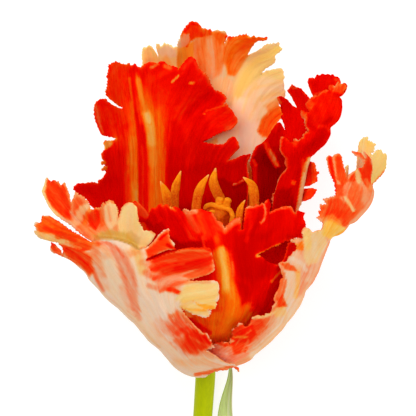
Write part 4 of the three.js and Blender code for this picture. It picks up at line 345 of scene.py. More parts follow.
            ["L", [[34.15, 112.61], [31.65, 109.82], [29.46, 106.48]], 0.28, 0.85, 0.6, [1.1, None, None, 0.05]],
            ["L", [[25.61, 103.72], [28.95, 104.81], [31.7, 108.16]], 0.57, 1.71, 0.5, [1.12, None, None, 0.08]],
            ["L", [[27.42, 111.18], [30.01, 109.29], [32.79, 109.82]], 0.23, 0.74, 0.6, [1.1, None, None, 0.08]],
            ["L", [[35.04, 111.51], [36.43, 114.31], [36.79, 117.75]], 0.28, 0.85, 0.6, [0.88, 1, None, None]],
            ["L", [[30.54, 110.11], [32.77, 110.37], [33.95, 109.28]], 0.23, 0.57, 0.6, [0.78, 0.4, None, None]],
            ["P", [[34.7, 120.45], [35.61, 122.49], [38.19, 122.8], [39.03, 121.65], [37.48, 119.84]], 0, 0.57, 0.85, [0.66, 0.5, None, None]],
            ["P", [[26.15, 114.74], [27.21, 114.94], [27.95, 112.84], [27.68, 111.16], [26.91, 112.36]], 0, 0.46, 0.8, [0.58, 0.6, None, None]],
            ["P", [[27.8, 116.96], [28.9, 117.77], [30.14, 116.74], [29.02, 115.06]], 0, 0.63, 0.7, [0.64, 0.6, None, None]],
            ["L", [[24.12, 106.86], [25.44, 106.78], [26.51, 107.29], [26.82, 108.31], [27.78, 109.13], [27.42, 110.61], [26.91, 112.36], [26.4, 113.85], [26.42, 115.01]], 0.17, 0.31, 0.95, [0.5, 0.25, None, None]],
            ["L", [[21.13, 107.57], [20.7, 106.27], [20.42, 103.98], [21.1, 102.51], [21.9, 101.61], [21.78, 100.2], [22.19, 98.75], [21.24, 97.34], [20.14, 96.22], [19.59, 94.78], [19.03, 92.48], [18.2, 90.47], [18.07, 88.16]], 0.17, 0.31, 0.95, [0.52, 0.2, None, None]],
            ["L", [[21.37, 102.21], [22.17, 101.32], [22.19, 98.75]], 0.28, 0.4, 0.6, [0.62, 0.2, None, None]],
            ["L", [[28.01, 115.75], [27.8, 116.82], [28.63, 117.65], [30.03, 119.05], [31.67, 119.83], [33.34, 120.5]], 0.17, 0.31, 0.8, [0.58, 0.25, None, None]],
            ["L", [[34.18, 120.78], [34.23, 121.82], [35.59, 121.76], [36.46, 123.06]], 0.17, 0.31, 0.8, [0.6, 0.3, None, None]],
            ["L", [[28.25, 101.21], [27.3, 98.67], [26.79, 95.85], [26.29, 92.44], [25.79, 88.72], [25.44, 85.56]], 0.6, 0.43, 0.95, [0.05, 0.6, None, None]],
            ["L", [[26.51, 100.91], [26.59, 98.1]], 0.2, 0.46, 0.6, [0.6, 0.6, None, None]],
            ["P", [[23.26, 95.29], [24.65, 94.99], [24.67, 93.85], [23.26, 94.14]], 0, 0.34, 0.9, [0.6, 1, None, None]],
            ["L", [[24.37, 106.4], [24.31, 104.93]], 0.17, 0.28, 0.6, [0.7, 0.2, None, None]],
        ],
    },
    "F": {
        "outline": [
            [-16.24, 86.2], [-16.69, 85.11], [-17.9, 87.02], [-19.25, 88.38], [-20.34, 89.06], [-21.48, 87.84], [-21.31, 83.45], [-20.76, 78.51], [-19.41, 74.1], [-17.26, 69.65],
            [-14.29, 64.58], [-10.49, 58.82], [-7.19, 53.56], [-5.56, 48.93], [-3.9, 44.66], [-1.9, 42.17], [0.14, 41.75], [2.48, 41.98], [5.65, 43.17], [8.17, 46.53],
            [12.63, 51.19], [16.49, 56.24], [19.76, 61.47], [22.48, 66.6], [24.29, 71.17], [24.75, 74.56], [24.14, 76.52], [23.24, 77.93], [22.12, 77.93], [21.31, 76.82],
            [21.07, 75.15], [20.25, 72.94], [18.83, 71.73], [17.12, 71.92], [15.44, 72.78], [14.31, 73.9], [12.93, 74.54], [14.57, 75.42], [16.5, 76.22], [19.01, 77.29],
            [20.4, 78.24], [22.09, 78.5], [24.01, 79.05], [25.84, 78.76], [25.65, 79.87], [25.6, 81.26], [26.27, 82.36], [26.12, 83.46], [25.56, 84.83], [26.13, 85.92],
            [25.27, 86.2], [24.12, 86.47], [23.57, 85.38], [23.28, 85.65], [22.7, 86.47], [22.12, 87.56], [21.27, 87.7], [19.89, 87.56], [17.96, 86.75], [16.3, 85.8],
            [16.57, 87.29], [16.85, 87.83], [16.57, 88.64], [16.01, 89.58], [15.18, 89.18], [14.9, 88.37], [14.07, 88.63], [13.52, 87.83], [12.45, 88.23], [11.92, 87.56],
            [10.85, 87.83], [9.79, 87.29], [9.53, 85.4], [9.28, 82.7], [9.02, 81.34], [7.66, 81.34], [8.2, 81.61], [8.33, 82.97], [8.19, 84.59], [7.38, 84.46],
            [6.3, 84.05], [5.49, 83.24], [4.95, 82.7], [4.14, 81.89], [3.6, 82.43], [3.06, 83.52], [1.98, 83.79], [1.44, 84.87], [0.63, 85.95], [-0.18, 86.22],
            [-1.25, 86.48], [-2.32, 87.02], [-4.47, 86.89], [-5.28, 86.48], [-6.09, 87.16], [-6.9, 86.89], [-7.18, 85.94], [-7.99, 86.75], [-9.07, 87.56], [-9.89, 87.56],
            [-10.7, 87.83], [-11.52, 88.37], [-12.34, 88.1], [-13.43, 88.37], [-14.26, 87.56], [-15.65, 87.29],
        ],
        "pins": [
            [-1.9, 42.17, 24.45], [0.14, 41.75, 22.45], [2.48, 41.98, 21.45], [5.65, 43.17, 26.45], [8.17, 46.53, 34.45], [1.57, 44.11, 32.45], [3.54, 46.85, 39.95],
            [0.69, 49.99, 45.45], [7.21, 49.29, 42.95], [2.9, 56.05, 54.45], [-2.68, 54.54, 51.95], [-5.52, 51.46, 46.45], [9.9, 55.96, 52.45], [14.73, 57.23, 49.45],
            [-6.81, 61.84, 59.95], [-10.44, 61.74, 57.45], [2.87, 61.88, 60.95], [11.2, 61.78, 58.45], [18.03, 61.54, 52.05], [-2.64, 67.53, 65.45], [3.39, 67.56, 66.45],
            [11.11, 67.47, 63.45], [18.98, 67.31, 57.85], [22.37, 70.04, 56.05], [-12.24, 68.9, 65.45], [-16.36, 72.47, 65.45], [-8.08, 73.11, 69.45], [3.09, 73.14, 70.95],
            [11.03, 73.08, 68.45], [17.98, 71.34, 63.95], [22.76, 76.24, 60.95], [24.23, 72.32, 58.45], [-19.08, 78.52, 66.45], [-16.34, 81.81, 66.45], [-13.5, 78.59, 71.45],
            [-6.68, 78.61, 73.45], [1.98, 79.19, 76.45], [10.95, 78.61, 72.95], [17.85, 78.55, 68.95], [24.82, 79.6, 64.95], [-19.81, 88.11, 69.45], [-17.66, 85.65, 68.45],
            [-14.84, 86.2, 72.45], [-10.71, 87.29, 75.95], [-5.28, 86.22, 79.45], [-0.71, 85.68, 79.45], [3.33, 82.97, 76.95], [8.19, 83.51, 76.45], [10.86, 87.29, 78.45],
            [14.07, 87.29, 79.45], [16.57, 88.1, 75.95], [21.84, 87.02, 71.95], [25.57, 85.65, 66.95], [25.84, 82.91, 66.95],
        ],
        "guides": [
            [0, [[0.71, 43.33], [3.19, 54.57], [4.22, 66.15], [3.36, 74.52], [1.98, 79.73], [-0.45, 85.95]]],
            [-6, [[-1.31, 45.12], [-0.45, 56.04], [-0.17, 67.55], [-2.07, 75.9], [-4.49, 81.89], [-7.17, 86.75]]],
            [-12, [[-3.58, 47.38], [-4.9, 57.49], [-7.02, 68.93], [-10.22, 78.6], [-13.99, 87.29]]],
            [-18, [[-5.27, 49.26], [-10.47, 60.29], [-15.54, 71.65], [-18.24, 78.53], [-20.08, 88.38]]],
            [6, [[3.59, 44.35], [8.21, 56.02], [9.75, 66.08], [8.53, 75.32], [8.21, 80.25], [10.86, 87.29]]],
            [12, [[6.42, 46.67], [12.98, 58.21], [15.57, 67.41], [15.95, 75.82], [16.37, 81.87], [16.29, 88.1]]],
            [18, [[8.69, 48.19], [16.96, 59.22], [20.75, 66.38], [22.81, 72.89], [23.99, 79.6], [24.71, 85.65]]],
        ],
        "fill": [1.06, 0.7, 0, 0],
        "other": [0.55, 0.45, 1, 0],
        "marks": [
            # fourth value s: above zero is painted shade in hollows and along dark lines where other tepals overlap F,
            # below zero is painted light where D and the cup's bottom shade F
            ["P", [[7.16, 75.88], [14.3, 74.73], [21.72, 71.78], [19.83, 59.69], [13.05, 55.81], [8.96, 61.83]], 0, 2.85, 0.9, [1.11, 0.5, None, None]],
            ["L", [[8.84, 72.55], [10.58, 66.35], [11.22, 60.62]], 0.57, 1.71, 0.5, [1.08, None, None, None]],
            ["P", [[13.89, 67.44], [18.3, 70.2], [21.3, 67.22], [18.12, 59.17], [12.47, 55.84], [11.24, 59.46]], 0, 2.28, 0.9, [1.05, None, None, -0.11]],
            ["P", [[5.49, 82.97], [10.88, 84.32], [15.84, 80.78], [19.36, 74.08], [16.62, 69.67], [11.69, 66.33], [8.33, 68.64], [6.62, 75.33]], 0, 2.28, 0.8, [1.14, None, None, 0.07]],
            ["P", [[9.83, 81.88], [9.79, 87.29], [14.07, 88.1], [16.85, 87.83], [23.54, 87.29], [25.85, 85.1], [25.89, 80.71], [19.26, 78.53]], 0, 1.42, 0.7, [1.06, None, None, None]],
            ["L", [[10.86, 86.21], [11.17, 82.43], [9.86, 78.61]], 0.2, 0.68, 0.6, [0.92, None, None, None]],
            ["L", [[19.08, 85.66], [18.03, 81.85], [14.23, 78.59]], 0.4, 1.14, 0.5, [1.14, None, None, None]],
            ["L", [[14.07, 87.29], [13.05, 83.51], [10.93, 80.25]], 0.23, 0.74, 0.6, [1.16, None, None, 0.04]],
            ["P", [[0.11, 64.16], [6.7, 66.41], [10.64, 61.8], [13.01, 57.02], [8.61, 50.49], [4.66, 48.12], [0.69, 48.15], [-1.84, 54.55]], 0, 3.13, 0.95, [0.6, 1.2, None, -0.03]],
            ["L", [[2.32, 61.88], [3.46, 56.06], [2.94, 50.65]], 0.85, 1.99, 0.6, [0.5, 1.2, 0.08, None]],
            ["P", [[-2.69, 52.42], [7.41, 53.64], [6.98, 47.31], [-1.01, 46.82]], 0, 1.99, 0.85, [0.64, 1.25, 0.06, -0.26]],
            ["L", [[2.95, 73.97], [3.65, 71.19], [4.22, 66.15], [4.8, 61.87], [5.12, 57.23]], 1.23, 2.42, 0.95, [0.56, 1.1, None, None]],
            ["L", [[1.98, 79.73], [2.53, 77], [2.82, 74.25]], 0.51, 0.97, 0.85, [0.82, 1.1, None, None]],
            ["L", [[2.81, 75.35], [3.5, 73.14], [3.93, 69.8], [4.37, 65.3]], 0.4, 1.71, 0.9, [0.34, 1.05, None, None]],
            ["L", [[3.08, 76.45], [3.75, 72.58], [4.1, 69.24], [4.33, 65.86]], 0.23, 1.14, 0.85, [0.14, 0.9, None, None]],
            ["L", [[1.17, 81.9], [1.99, 78.65]], 0.4, 0.74, 0.6, [0.66, 0.9, None, None]],
            ["P", [[7.24, 67.25], [10.3, 66.36], [11.2, 61.78], [8.71, 60.1]], 0, 1.42, 0.8, [1.12, None, None, 0.08]],
            ["L", [[6.1, 72.57], [6.4, 68.94]], 0.14, 0.34, 0.6, [0.5, 0.5, None, None]],
            ["P", [[-0.45, 72.58], [1.19, 73.69], [2.3, 67], [2.61, 58.99], [0.67, 58.4]], 0, 0.85, 0.7, [0.95, None, None, None]],
            ["P", [[-6.9, 86.75], [-3.67, 86.48], [0.63, 85.68], [3.33, 82.97], [3.87, 81.35], [-0.99, 78.64], [-4.77, 79.72], [-6.38, 83.51]], 0, 1.42, 0.8, [0.8, 0.3, None, None]],
            ["L", [[-4.47, 85.95], [-3.68, 82.98], [-2.34, 79.73]], 0.23, 0.68, 0.6, [1, 0.2, None, None]],
            ["L", [[-2.86, 85.14], [-2.33, 82.98], [-1.25, 80.82]], 0.23, 0.74, 0.6, [0.72, 1, None, None]],
            ["L", [[-0.98, 85.68], [0.09, 82.98], [1.17, 80.28]], 0.23, 0.68, 0.5, [0.96, 0.2, None, None]],
            ["L", [[-5.82, 86.21], [-4.75, 83.79], [-3.14, 81.36]], 0.4, 0.97, 0.7, [0.58, 0.2, None, None]],
            ["L", [[-6.9, 86.75], [-5.28, 86.22], [-3.67, 86.48]], 0.34, 0.51, 0.8, [0.4, 0.15, None, None]],
            ["L", [[0.63, 85.68], [2.25, 83.52], [4.14, 81.62], [6.57, 83.78], [8.46, 84.59]], 0.23, 0.46, 0.85, [0.58, 0.2, None, None]],
            ["L", [[4.14, 81.08], [5.76, 82.7], [7.65, 83.78]], 0.34, 0.8, 0.7, [0.56, 0.3, None, None]],
            ["L", [[-10.16, 87.56], [-9.08, 86.48], [-8, 84.59]], 0.23, 0.4, 0.8, [0.5, 0.8, None, None]],
            ["L", [[-7.46, 83.51], [-5.32, 79.71], [-1.8, 77.82]], 0.23, 0.57, 0.6, [0.6, 0.3, None, None]],
            ["L", [[-12.34, 87.83], [-11.27, 85.94], [-11.29, 83.49]], 0.14, 0.28, 0.6, [0.65, 0.2, None, None]],
            ["P", [[-16.25, 85.65], [-12.88, 88.1], [-10.7, 87.83], [-6.91, 85.67], [-5.86, 80.26], [-10.76, 78.6], [-14.08, 81.84]], 0, 1.14, 0.7, [1.08, None, None, 0.02]],
            ["L", [[-14.56, 86.2], [-12.4, 82.94], [-9.66, 80.24]], 0.28, 0.74, 0.5, [0.96, None, None, None]],
            ["L", [[-8.81, 86.21], [-7.74, 82.97], [-6.13, 79.71]], 0.2, 0.63, 0.4, [1.12, None, None, None]],
            ["P", [[-20.9, 88.93], [-18.96, 88.65], [-16.25, 85.65], [-17.41, 84.28], [-20.16, 85.65]], 0, 0.57, 0.85, [0.62, 0.4, None, None]],
            ["L", [[-10.76, 78.6], [-8.05, 76.97], [-3.97, 77.53], [-1.8, 77.82]], 0.51, 0.97, 0.9, [1.16, None, None, 0.12]],
            ["L", [[-1.8, 79.73], [-1.26, 76.45]], 0.2, 0.34, 0.7, [0.62, 0.4, None, None]],
            ["P", [[-19.64, 84], [-16.3, 84.01], [-14.08, 81.29], [-15.17, 78.02], [-19.08, 79.07]], 0, 0.85, 0.9, [1.15, None, None, 0.15]],
            ["P", [[-19.65, 83.45], [-17.71, 83.45], [-16.33, 80.72], [-18.55, 80.43]], 0, 0.57, 0.8, [0.58, 1, None, 0.2]],
            ["P", [[-14.91, 83.2], [-12.95, 83.76], [-11.3, 81.05], [-12.95, 78.59], [-14.9, 79.65]], 0, 0.85, 0.9, [1.16, None, None, 0.16]],
            ["L", [[9.78, 87.69], [11.92, 87.56], [14.07, 88.37], [15.18, 89.18]], 0.17, 0.31, 0.8, [0.55, 0.2, None, None]],
            ["L", [[14.62, 88.1], [15.05, 85.94], [14.66, 84.32], [13.86, 83.51]], 0.17, 0.31, 0.85, [0.5, 0.2, None, None]],
            ["L", [[16.3, 85.94], [19.06, 87.15], [21.83, 87.56], [22.7, 86.2]], 0.17, 0.31, 0.8, [0.58, 0.2, None, None]],
            ["L", [[12.93, 74.46], [14.85, 75.14], [16.78, 75.94], [19.02, 77.15]], 0.37, 0.34, 0.95, [0.6, 1, None, 0.05]],
            ["L", [[14.25, 77.77], [20.62, 79.9]], 0.43, 1.42, 0.4, [1.06, None, None, None]],
            ["L", [[16.99, 67.09], [18.36, 68.62], [19.75, 70.14]], 0.2, 0.26, 0.95, [0.55, 1, None, None]],
            ["L", [[24.3, 78.9], [25.98, 78.76]], 0.28, 0.34, 0.9, [0.3, 0.2, None, None]],
            ["P", [[-8.19, 62.38], [-1.55, 60.72], [-1, 56.63], [-6.59, 56.87]], 0, 0.85, 0.9, [0.12, 0.85, None, -0.2]],
            ["P", [[-5.73, 58.07], [-1, 57.52], [1.51, 55.75], [0.68, 53.96], [-3.24, 55.43]], 0, 0.85, 0.9, [0.6, 1.1, None, -0.22]],
            ["L", [[-4.08, 54.68], [-1.85, 53.4], [0.12, 52.44]], 0.4, 0.46, 0.9, [0.98, None, None, -0.05]],
            ["L", [[-3.79, 56.62], [-0.45, 55.45], [1.79, 55.46]], 0.57, 0.85, 0.8, [0.62, 1, None, 0.1]],
        ],
    },
    "F_back": {
        "outline": [
            [-5.56, 48.93], [-3.9, 44.66], [-1.9, 42.17], [0.14, 41.75], [2.48, 41.98], [5.65, 43.17], [8.17, 46.53], [6.2, 45.66], [4.22, 43.82], [1.61, 42.4],
            [-0.74, 42.14], [-2.49, 43.46], [-3.91, 46.25],
        ],
        "pins": [
            [-5.58, 48.81, 39.45], [-0.74, 42.1, 18.75], [1.61, 42.4, 18.75], [-2.49, 43.44, 21.45], [-3.91, 46.24, 29.45], [4.22, 43.82, 22.95], [6.2, 45.66, 29.45],
            [8.14, 46.65, 36.45], [-3.92, 44.39, 27.45], [-1.9, 42.16, 22.45], [0.14, 41.83, 20.95], [2.48, 42.07, 20.05], [5.67, 43.3, 23.95],
        ],
        "guides": [
            [0, [[0.71, 43.33], [3.19, 54.57], [4.22, 66.15], [3.36, 74.52], [1.98, 79.73], [-0.45, 85.95]]],
            [-6, [[-1.31, 45.12], [-0.45, 56.04], [-0.17, 67.55], [-2.07, 75.9], [-4.49, 81.89], [-7.17, 86.75]]],
            [-12, [[-3.58, 47.38], [-4.9, 57.49], [-7.02, 68.93], [-10.22, 78.6], [-13.99, 87.29]]],
            [-18, [[-5.27, 49.26], [-10.47, 60.29], [-15.54, 71.65], [-18.24, 78.53], [-20.08, 88.38]]],
            [6, [[3.59, 44.35], [8.21, 56.02], [9.75, 66.08], [8.53, 75.32], [8.21, 80.25], [10.86, 87.29]]],
            [12, [[6.42, 46.67], [12.98, 58.21], [15.57, 67.41], [15.95, 75.82], [16.37, 81.87], [16.29, 88.1]]],
            [18, [[8.69, 48.19], [16.96, 59.22], [20.75, 66.38], [22.81, 72.89], [23.99, 79.6], [24.71, 85.65]]],
        ],
        "fill": [0.9, 0.3, 0, 0],
        "other": [0.55, 0.45, 1, 0],
        "marks": [
        ],
    },
    "D": {
        "outline": [
            [-0.16, 41.51], [-1.59, 43.88], [-1.87, 46.09], [-0.73, 47.53], [0.96, 48.71], [2.92, 49.39], [4.6, 49.71], [5.74, 48.77], [5.73, 50.27], [6.56, 51.43],
            [6.26, 52.62], [6.53, 53.53], [7.63, 53.87], [7.89, 55.05], [8.72, 55.5], [9.28, 54.77], [10.13, 54.17], [10.69, 54.44], [11.24, 55.3], [11.79, 56.15],
            [11.77, 57.04], [13.43, 57.32], [15.1, 57.44], [15.64, 58.16], [16.78, 58.11], [17.31, 59.27], [17.29, 60.13], [18.14, 60.94], [17.82, 62.38], [18.35, 63.79],
            [19.18, 64.91], [19.43, 66.04], [19.67, 67.45], [20.51, 67.99], [19.91, 69.13], [19.6, 70.26], [19, 71.95], [20.1, 72.49], [21.21, 72.76], [21.46, 73.88],
            [22.29, 74.42], [22.84, 74.96], [23.96, 75.5], [23.93, 76.61], [23.33, 77.72], [21.92, 78.56], [23.59, 78.96], [25.57, 78.8], [25.54, 79.63], [25.24, 81.01],
            [25.78, 81.55], [26.59, 81.83], [27.42, 81.28], [27.99, 80.73], [28.81, 81], [29.93, 81], [30.77, 81.27], [31.02, 82.09], [30.99, 83.19], [30.12, 84.01],
            [29.27, 84.56], [30.1, 85.38], [29.81, 86.34], [30.37, 86.47], [30.35, 87.29], [30.06, 88.11], [31.46, 88.11], [31.72, 88.65], [30.84, 89.87], [32.77, 90.01],
            [34.4, 90.69], [34.04, 93.54], [33.15, 95.69], [32.28, 97.57], [31.68, 99.71], [31.37, 101.04], [32.17, 101.44], [33.01, 101.05], [33.8, 101.72], [34.61, 101.99],
            [35.45, 101.33], [35.76, 100.26], [36.39, 98.12], [37.03, 96.25], [37.37, 95.18], [37.62, 95.99], [38.71, 96.81], [39.52, 97.35], [40.32, 97.75], [41.41, 98.16],
            [41.89, 99.23], [40.71, 100.83], [39.6, 101.36], [38.75, 102.16], [38.46, 102.69], [39.57, 102.3], [40.67, 102.03], [41.51, 101.37], [42.53, 100.17], [42.05, 101.64],
            [41.75, 102.44], [42.6, 101.64], [43.48, 100.85], [44.14, 99.52], [44.42, 98.2], [44.49, 96.33], [44.33, 94.71], [44.68, 93.62], [45.38, 92.53], [45.93, 91.46],
            [45.75, 90.07], [45.06, 88.41], [43.81, 86.73], [42.2, 85.05], [40.86, 83.64], [39.22, 82.79], [38.46, 81.65], [37.56, 80.51], [36.37, 79.79], [35.03, 79.34],
            [34.06, 78.34], [33.4, 76.48], [32.59, 74.19], [30.97, 69.58], [30.15, 67.85], [29.32, 66.11], [28.21, 64.65], [27.38, 63.48], [26.84, 61.73], [26.02, 59.68],
            [24.91, 57.9], [23.79, 56.12], [22.39, 54.34], [20.99, 52.25], [19.28, 50.45], [17.57, 48.64], [15.86, 47.12], [14.13, 45.6], [12.98, 44.69], [12.11, 43.49],
            [10.66, 42.56], [8.92, 41.8], [6, 40.86], [3.66, 40.09], [1.61, 39.77],
        ],
        "pins": [
            [0.13, 41.91, 33.95], [-1.3, 44.54, 39.45], [-1.01, 47.05, 43.45], [0.96, 48.1, 46.95], [3.54, 43.41, 39.55], [4.61, 49.11, 49.95], [5.8, 45.27, 42.05],
            [8.45, 54.48, 56.45], [9.88, 52.4, 53.95], [6.27, 52.02, 51.95], [11.78, 56.45, 56.95], [9.47, 47.08, 43.95], [14.54, 57.31, 57.65], [17.31, 59.27, 57.95],
            [14.18, 51.56, 48.45], [17.83, 62.1, 59.45], [19.44, 65.75, 61.25], [20.2, 68.84, 63.25], [19.28, 71.95, 66.45], [21.46, 73.88, 67.05], [23.94, 76.06, 66.45],
            [23.6, 78.82, 68.45], [25.51, 81.28, 68.45], [28.26, 80.73, 67.95], [29.05, 77.09, 62.45], [27.26, 72.88, 58.95], [25.16, 67.25, 55.95], [22.45, 61.6, 53.65],
            [18.63, 55.87, 50.45], [30.75, 81.82, 67.45], [29.83, 84.56, 69.45], [30.86, 89.47, 70.95], [34.42, 90.29, 70.45], [32.93, 86.2, 67.45], [34.04, 93.54, 72.45],
            [32.49, 100.25, 76.45], [35.19, 101.06, 76.45], [36.76, 95.98, 72.45], [38.84, 94.93, 69.45], [38.32, 90.84, 68.95], [41.5, 97.1, 70.45], [43.01, 99.24, 72.45],
            [39.03, 102.29, 75.45], [42.6, 101.64, 74.45], [44.28, 95.52, 65.45], [42.91, 91.68, 65.45], [40.17, 88.11, 65.45], [37.01, 84.54, 62.95], [34.53, 81.78, 62.95],
        ],
        "guides": [
            [-12, [[1.25, 46.55], [8.47, 53.29], [14.56, 57.01], [18.12, 61.8], [20.46, 69.68], [22.3, 74.14], [25.82, 79.63], [30.09, 86.2]]],
            [-6, [[2.4, 44.03], [11.34, 50.81], [17.4, 57.17], [22.31, 65.65], [25.53, 72.37], [28.67, 78.5], [31.83, 84.56], [33.58, 90.56], [33.56, 100.78]]],
            [0, [[3.56, 42.41], [13.15, 48.2], [19.83, 55.19], [24.68, 64.4], [28.16, 72.29], [32.06, 79.03], [36.9, 86.19], [39.73, 92.21], [41.83, 100.3]]],
            [6, [[4.72, 41.4], [15.47, 48.07], [21.88, 55.08], [26.23, 62.3], [29.51, 68.25], [33.3, 77.89], [38.85, 82.59], [43.17, 86.74], [45.28, 91.42], [43.79, 100.32]]],
        ],
        "fill": [0.28, 0.18, 0, 0],
        "other": [0.5, 0.5, 1, 0],
        "marks": [
            # fourth value s below zero is painted light on D's lower part near the foot, where it lies in shadow
            ["P", [[20.94, 72.48], [25.43, 74.63], [30.13, 73.39], [29.21, 68.26], [25.95, 62.02], [22.7, 56.25], [17.15, 49.84], [14.89, 48.1], [17.49, 55.34], [21.29, 61.66]], 0, 2.28, 0.8, [0.22, 0.12, None, None]],
            ["L", [[30, 75.67], [28.48, 71.72], [26.62, 67.2], [24.18, 62.1]], 0.46, 1.71, 0.55, [0.36, 0.05, None, None]],
            ["L", [[31.07, 76.79], [29.61, 72.26], [27.5, 67.17]], 0.23, 0.85, 0.6, [0.08, 0.1, None, None]],
            ["L", [[30.39, 73.96], [29.96, 71.11], [29.2, 68.55]], 0.4, 1, 0.5, [0.3, 0.1, None, None]],
            ["L", [[25.41, 60.87], [22.14, 55.67], [17.73, 49.8], [12.66, 45.68]], 0.97, 1.71, 0.85, [0.04, 0.2, None, -0.03]],
            ["L", [[16.33, 55.42], [15.33, 51.8], [12.57, 48.23]], 0.43, 1.42, 0.6, [0.2, 0.12, None, None]],
            ["L", [[31.72, 75.64], [29.99, 70.54], [27.56, 65.73], [24.84, 60.61]], 0.23, 0.51, 0.5, [0.2, 0.3, None, None]],
            ["L", [[22.36, 72.45], [21.96, 67.37], [22.12, 62.78], [22.52, 59.84]], 1.2, 1.14, 0.9, [0.1, 0.15, None, None]],
            ["L", [[24.13, 71.28], [24.3, 66.71], [23.87, 62.7]], 0.34, 0.71, 0.8, [0.2, 0.85, None, None]],
            ["L", [[20.06, 56.4], [19.06, 52.8], [16.58, 49.56], [13.78, 46.9]], 0.91, 1.42, 0.85, [0.12, 0.22, None, None]],
            ["L", [[14.9, 47.79], [19.95, 52.44], [24.34, 58.56], [27.03, 64.3]], 0.23, 0.57, 0.6, [0.2, 0.3, None, None]],
            ["P", [[25.78, 73.49], [25.52, 80.73], [26.85, 82.1], [30.76, 81.54], [32.76, 77.33], [30.19, 72.25], [27.34, 71.18]], 0, 0.85, 0.9, [0.08, 0.55, 0.04, None]],
            ["L", [[26.35, 80.73], [27.06, 76.84]], 0.57, 1.14, 0.7, [0.1, 0.85, None, None]],
            ["L", [[28.6, 79.62], [29.23, 73.98]], 0.4, 0.85, 0.5, [0.03, 0.25, None, None]],
            ["P", [[20.94, 72.48], [22, 74.7], [24.24, 75.77], [26.73, 71.76], [24.46, 70.13]], 0, 0.85, 0.8, [0.16, 0.2, None, None]],
            ["L", [[22.03, 73.59], [24.95, 72.38], [26.8, 70.05]], 0.28, 0.71, 0.6, [0.05, 0.1, None, None]],
            ["P", [[19.28, 72.23], [20.94, 72.48], [23.26, 71.3], [24.18, 69.86], [21.02, 70.23]], 0, 0.43, 0.85, [0.72, 0.5, None, None]],
            ["P", [[19.32, 70.27], [20.76, 69.39], [21.13, 66.26], [19.84, 61.72], [21.35, 59.9], [18.48, 58.9], [17.04, 58.99], [17.83, 61.81], [18.63, 64.07]], 0, 0.57, 0.85, [0.6, 0.35, None, None]],
            ["P", [[18.39, 62.36], [20.08, 63.44], [21.64, 59.89], [19.05, 59.16]], 0, 0.57, 0.8, [0.8, 0.5, None, None]],
            ["P", [[17.35, 58.38], [18.45, 59.78], [21.35, 59.9], [21.17, 57.54], [18.58, 56.79]], 0, 0.43, 0.85, [0.15, 0.65, None, None]],
            ["P", [[10.94, 56.47], [14, 57.02], [16.82, 57.21], [16.1, 54.21], [13.35, 50.69], [10.85, 48.31], [9.64, 50.86]], 0, 1.71, 0.85, [0.6, 0.2, None, None]],
            ["P", [[11.23, 56.17], [14.57, 56.71], [15.23, 54.26], [11.86, 52.62]], 0, 0.85, 0.7, [0.78, 0.3, None, None]],
            ["L", [[12.05, 56.88], [14.83, 57.3], [17.07, 58.09]], 0.23, 0.34, 0.9, [0.12, 0.6, None, None]],
            ["P", [[6.26, 53.23], [8.45, 55.06], [11.81, 54.99], [13.02, 51.94], [10.83, 48.95], [7.42, 49.64], [5.72, 50.85]], 0, 0.71, 0.9, [0.9, 0.4, None, None]],
            ["P", [[0.68, 48.39], [5.74, 49.08], [11.4, 48.92], [10.93, 46.07], [7.55, 43.61], [4.1, 44.37], [0.12, 46.49]], 0, 1.71, 0.85, [0.42, 0.05, None, -0.24]],
            ["L", [[1.8, 49.66], [4.61, 48.96], [7.15, 49.19]], 0.23, 0.63, 0.85, [0.86, 0.5, None, None]],
            ["P", [[0.97, 46.85], [4.64, 46.92], [6.1, 44.62], [3.54, 43.73]], 0, 1.14, 0.9, [0.06, 0, None, -0.32]],
            ["P", [[5.73, 49.68], [10.81, 49.58], [10.34, 46.41], [6.93, 45.88]], 0, 0.85, 0.8, [0.84, 0.5, None, None]],
            ["L", [[1.25, 47.18], [4.09, 45.33], [6.38, 44.61]], 0.43, 0.85, 0.6, [0.42, 0.1, None, None]],
            ["L", [[7.43, 49.03], [8.52, 50.86], [11.28, 53.25]], 0.14, 0.28, 0.7, [0.5, 0.2, None, None]],
            ["L", [[6.84, 51.14], [8.51, 51.48], [10.47, 51.31]], 0.17, 0.28, 0.7, [0.4, 0.9, None, None]],
            ["L", [[9.2, 46.45], [10.79, 50.21]], 0.17, 0.34, 0.6, [0.4, 0.1, None, None]],
            ["P", [[29.55, 84.56], [30.34, 87.83], [31.69, 89.47], [34.98, 90.29], [38.48, 87.84], [41.42, 86.74], [39.37, 83.42], [37.16, 81.76], [34.76, 83.44], [31.25, 84.56]], 0, 0.85, 0.9, [0.72, 0.45, None, None]],
            ["L", [[32.95, 85.65], [36.37, 85.64]], 0.57, 1.14, 0.5, [0.82, 0.4, None, None]],
            ["P", [[30.83, 80.16], [31.27, 83.46], [33.57, 84.27], [35.94, 82.88], [37.76, 81.48], [36.43, 79.25], [33.85, 78.44]], 0, 0.85, 0.92, [0.16, 1.05, None, None]],
            ["L", [[31.26, 84.28], [33.55, 84.82], [35.34, 83.44]], 0.34, 0.71, 0.7, [0.38, 0.75, None, None]],
            ["P", [[36.1, 90.02], [35.98, 94.36], [38.77, 96], [42.89, 93.87], [45.28, 91.7], [43.68, 87.84], [40.89, 86.19], [37.95, 87.29]], 0, 1.14, 0.9, [0.61, 0.3, None, None]],
            ["L", [[41.68, 94.95], [43.2, 92.23], [42.99, 89.49]], 0.74, 1.42, 0.75, [0.3, 0.2, None, None]],
            ["L", [[39.5, 97.62], [41.63, 95.76], [44.37, 92.79]], 0.34, 0.74, 0.7, [0.24, 0.95, None, None]],
            ["P", [[35.69, 94.35], [37.94, 95.46], [38.87, 93.3], [37.17, 91.65]], 0, 0.85, 0.7, [0.32, 0.15, None, None]],
            ["L", [[45.26, 92.25], [44.77, 89.5], [42.58, 86.74], [39.37, 83.42]], 0.34, 0.71, 0.75, [0.3, 0.22, None, None]],
            ["L", [[36.56, 93.82], [36.92, 90.56]], 0.34, 0.71, 0.5, [0.38, 0.1, None, None]],
            ["L", [[36.93, 90.29], [38.14, 88.66], [39.4, 86.88]], 0.28, 0.34, 0.95, [0.12, 0.5, 0.03, None]],
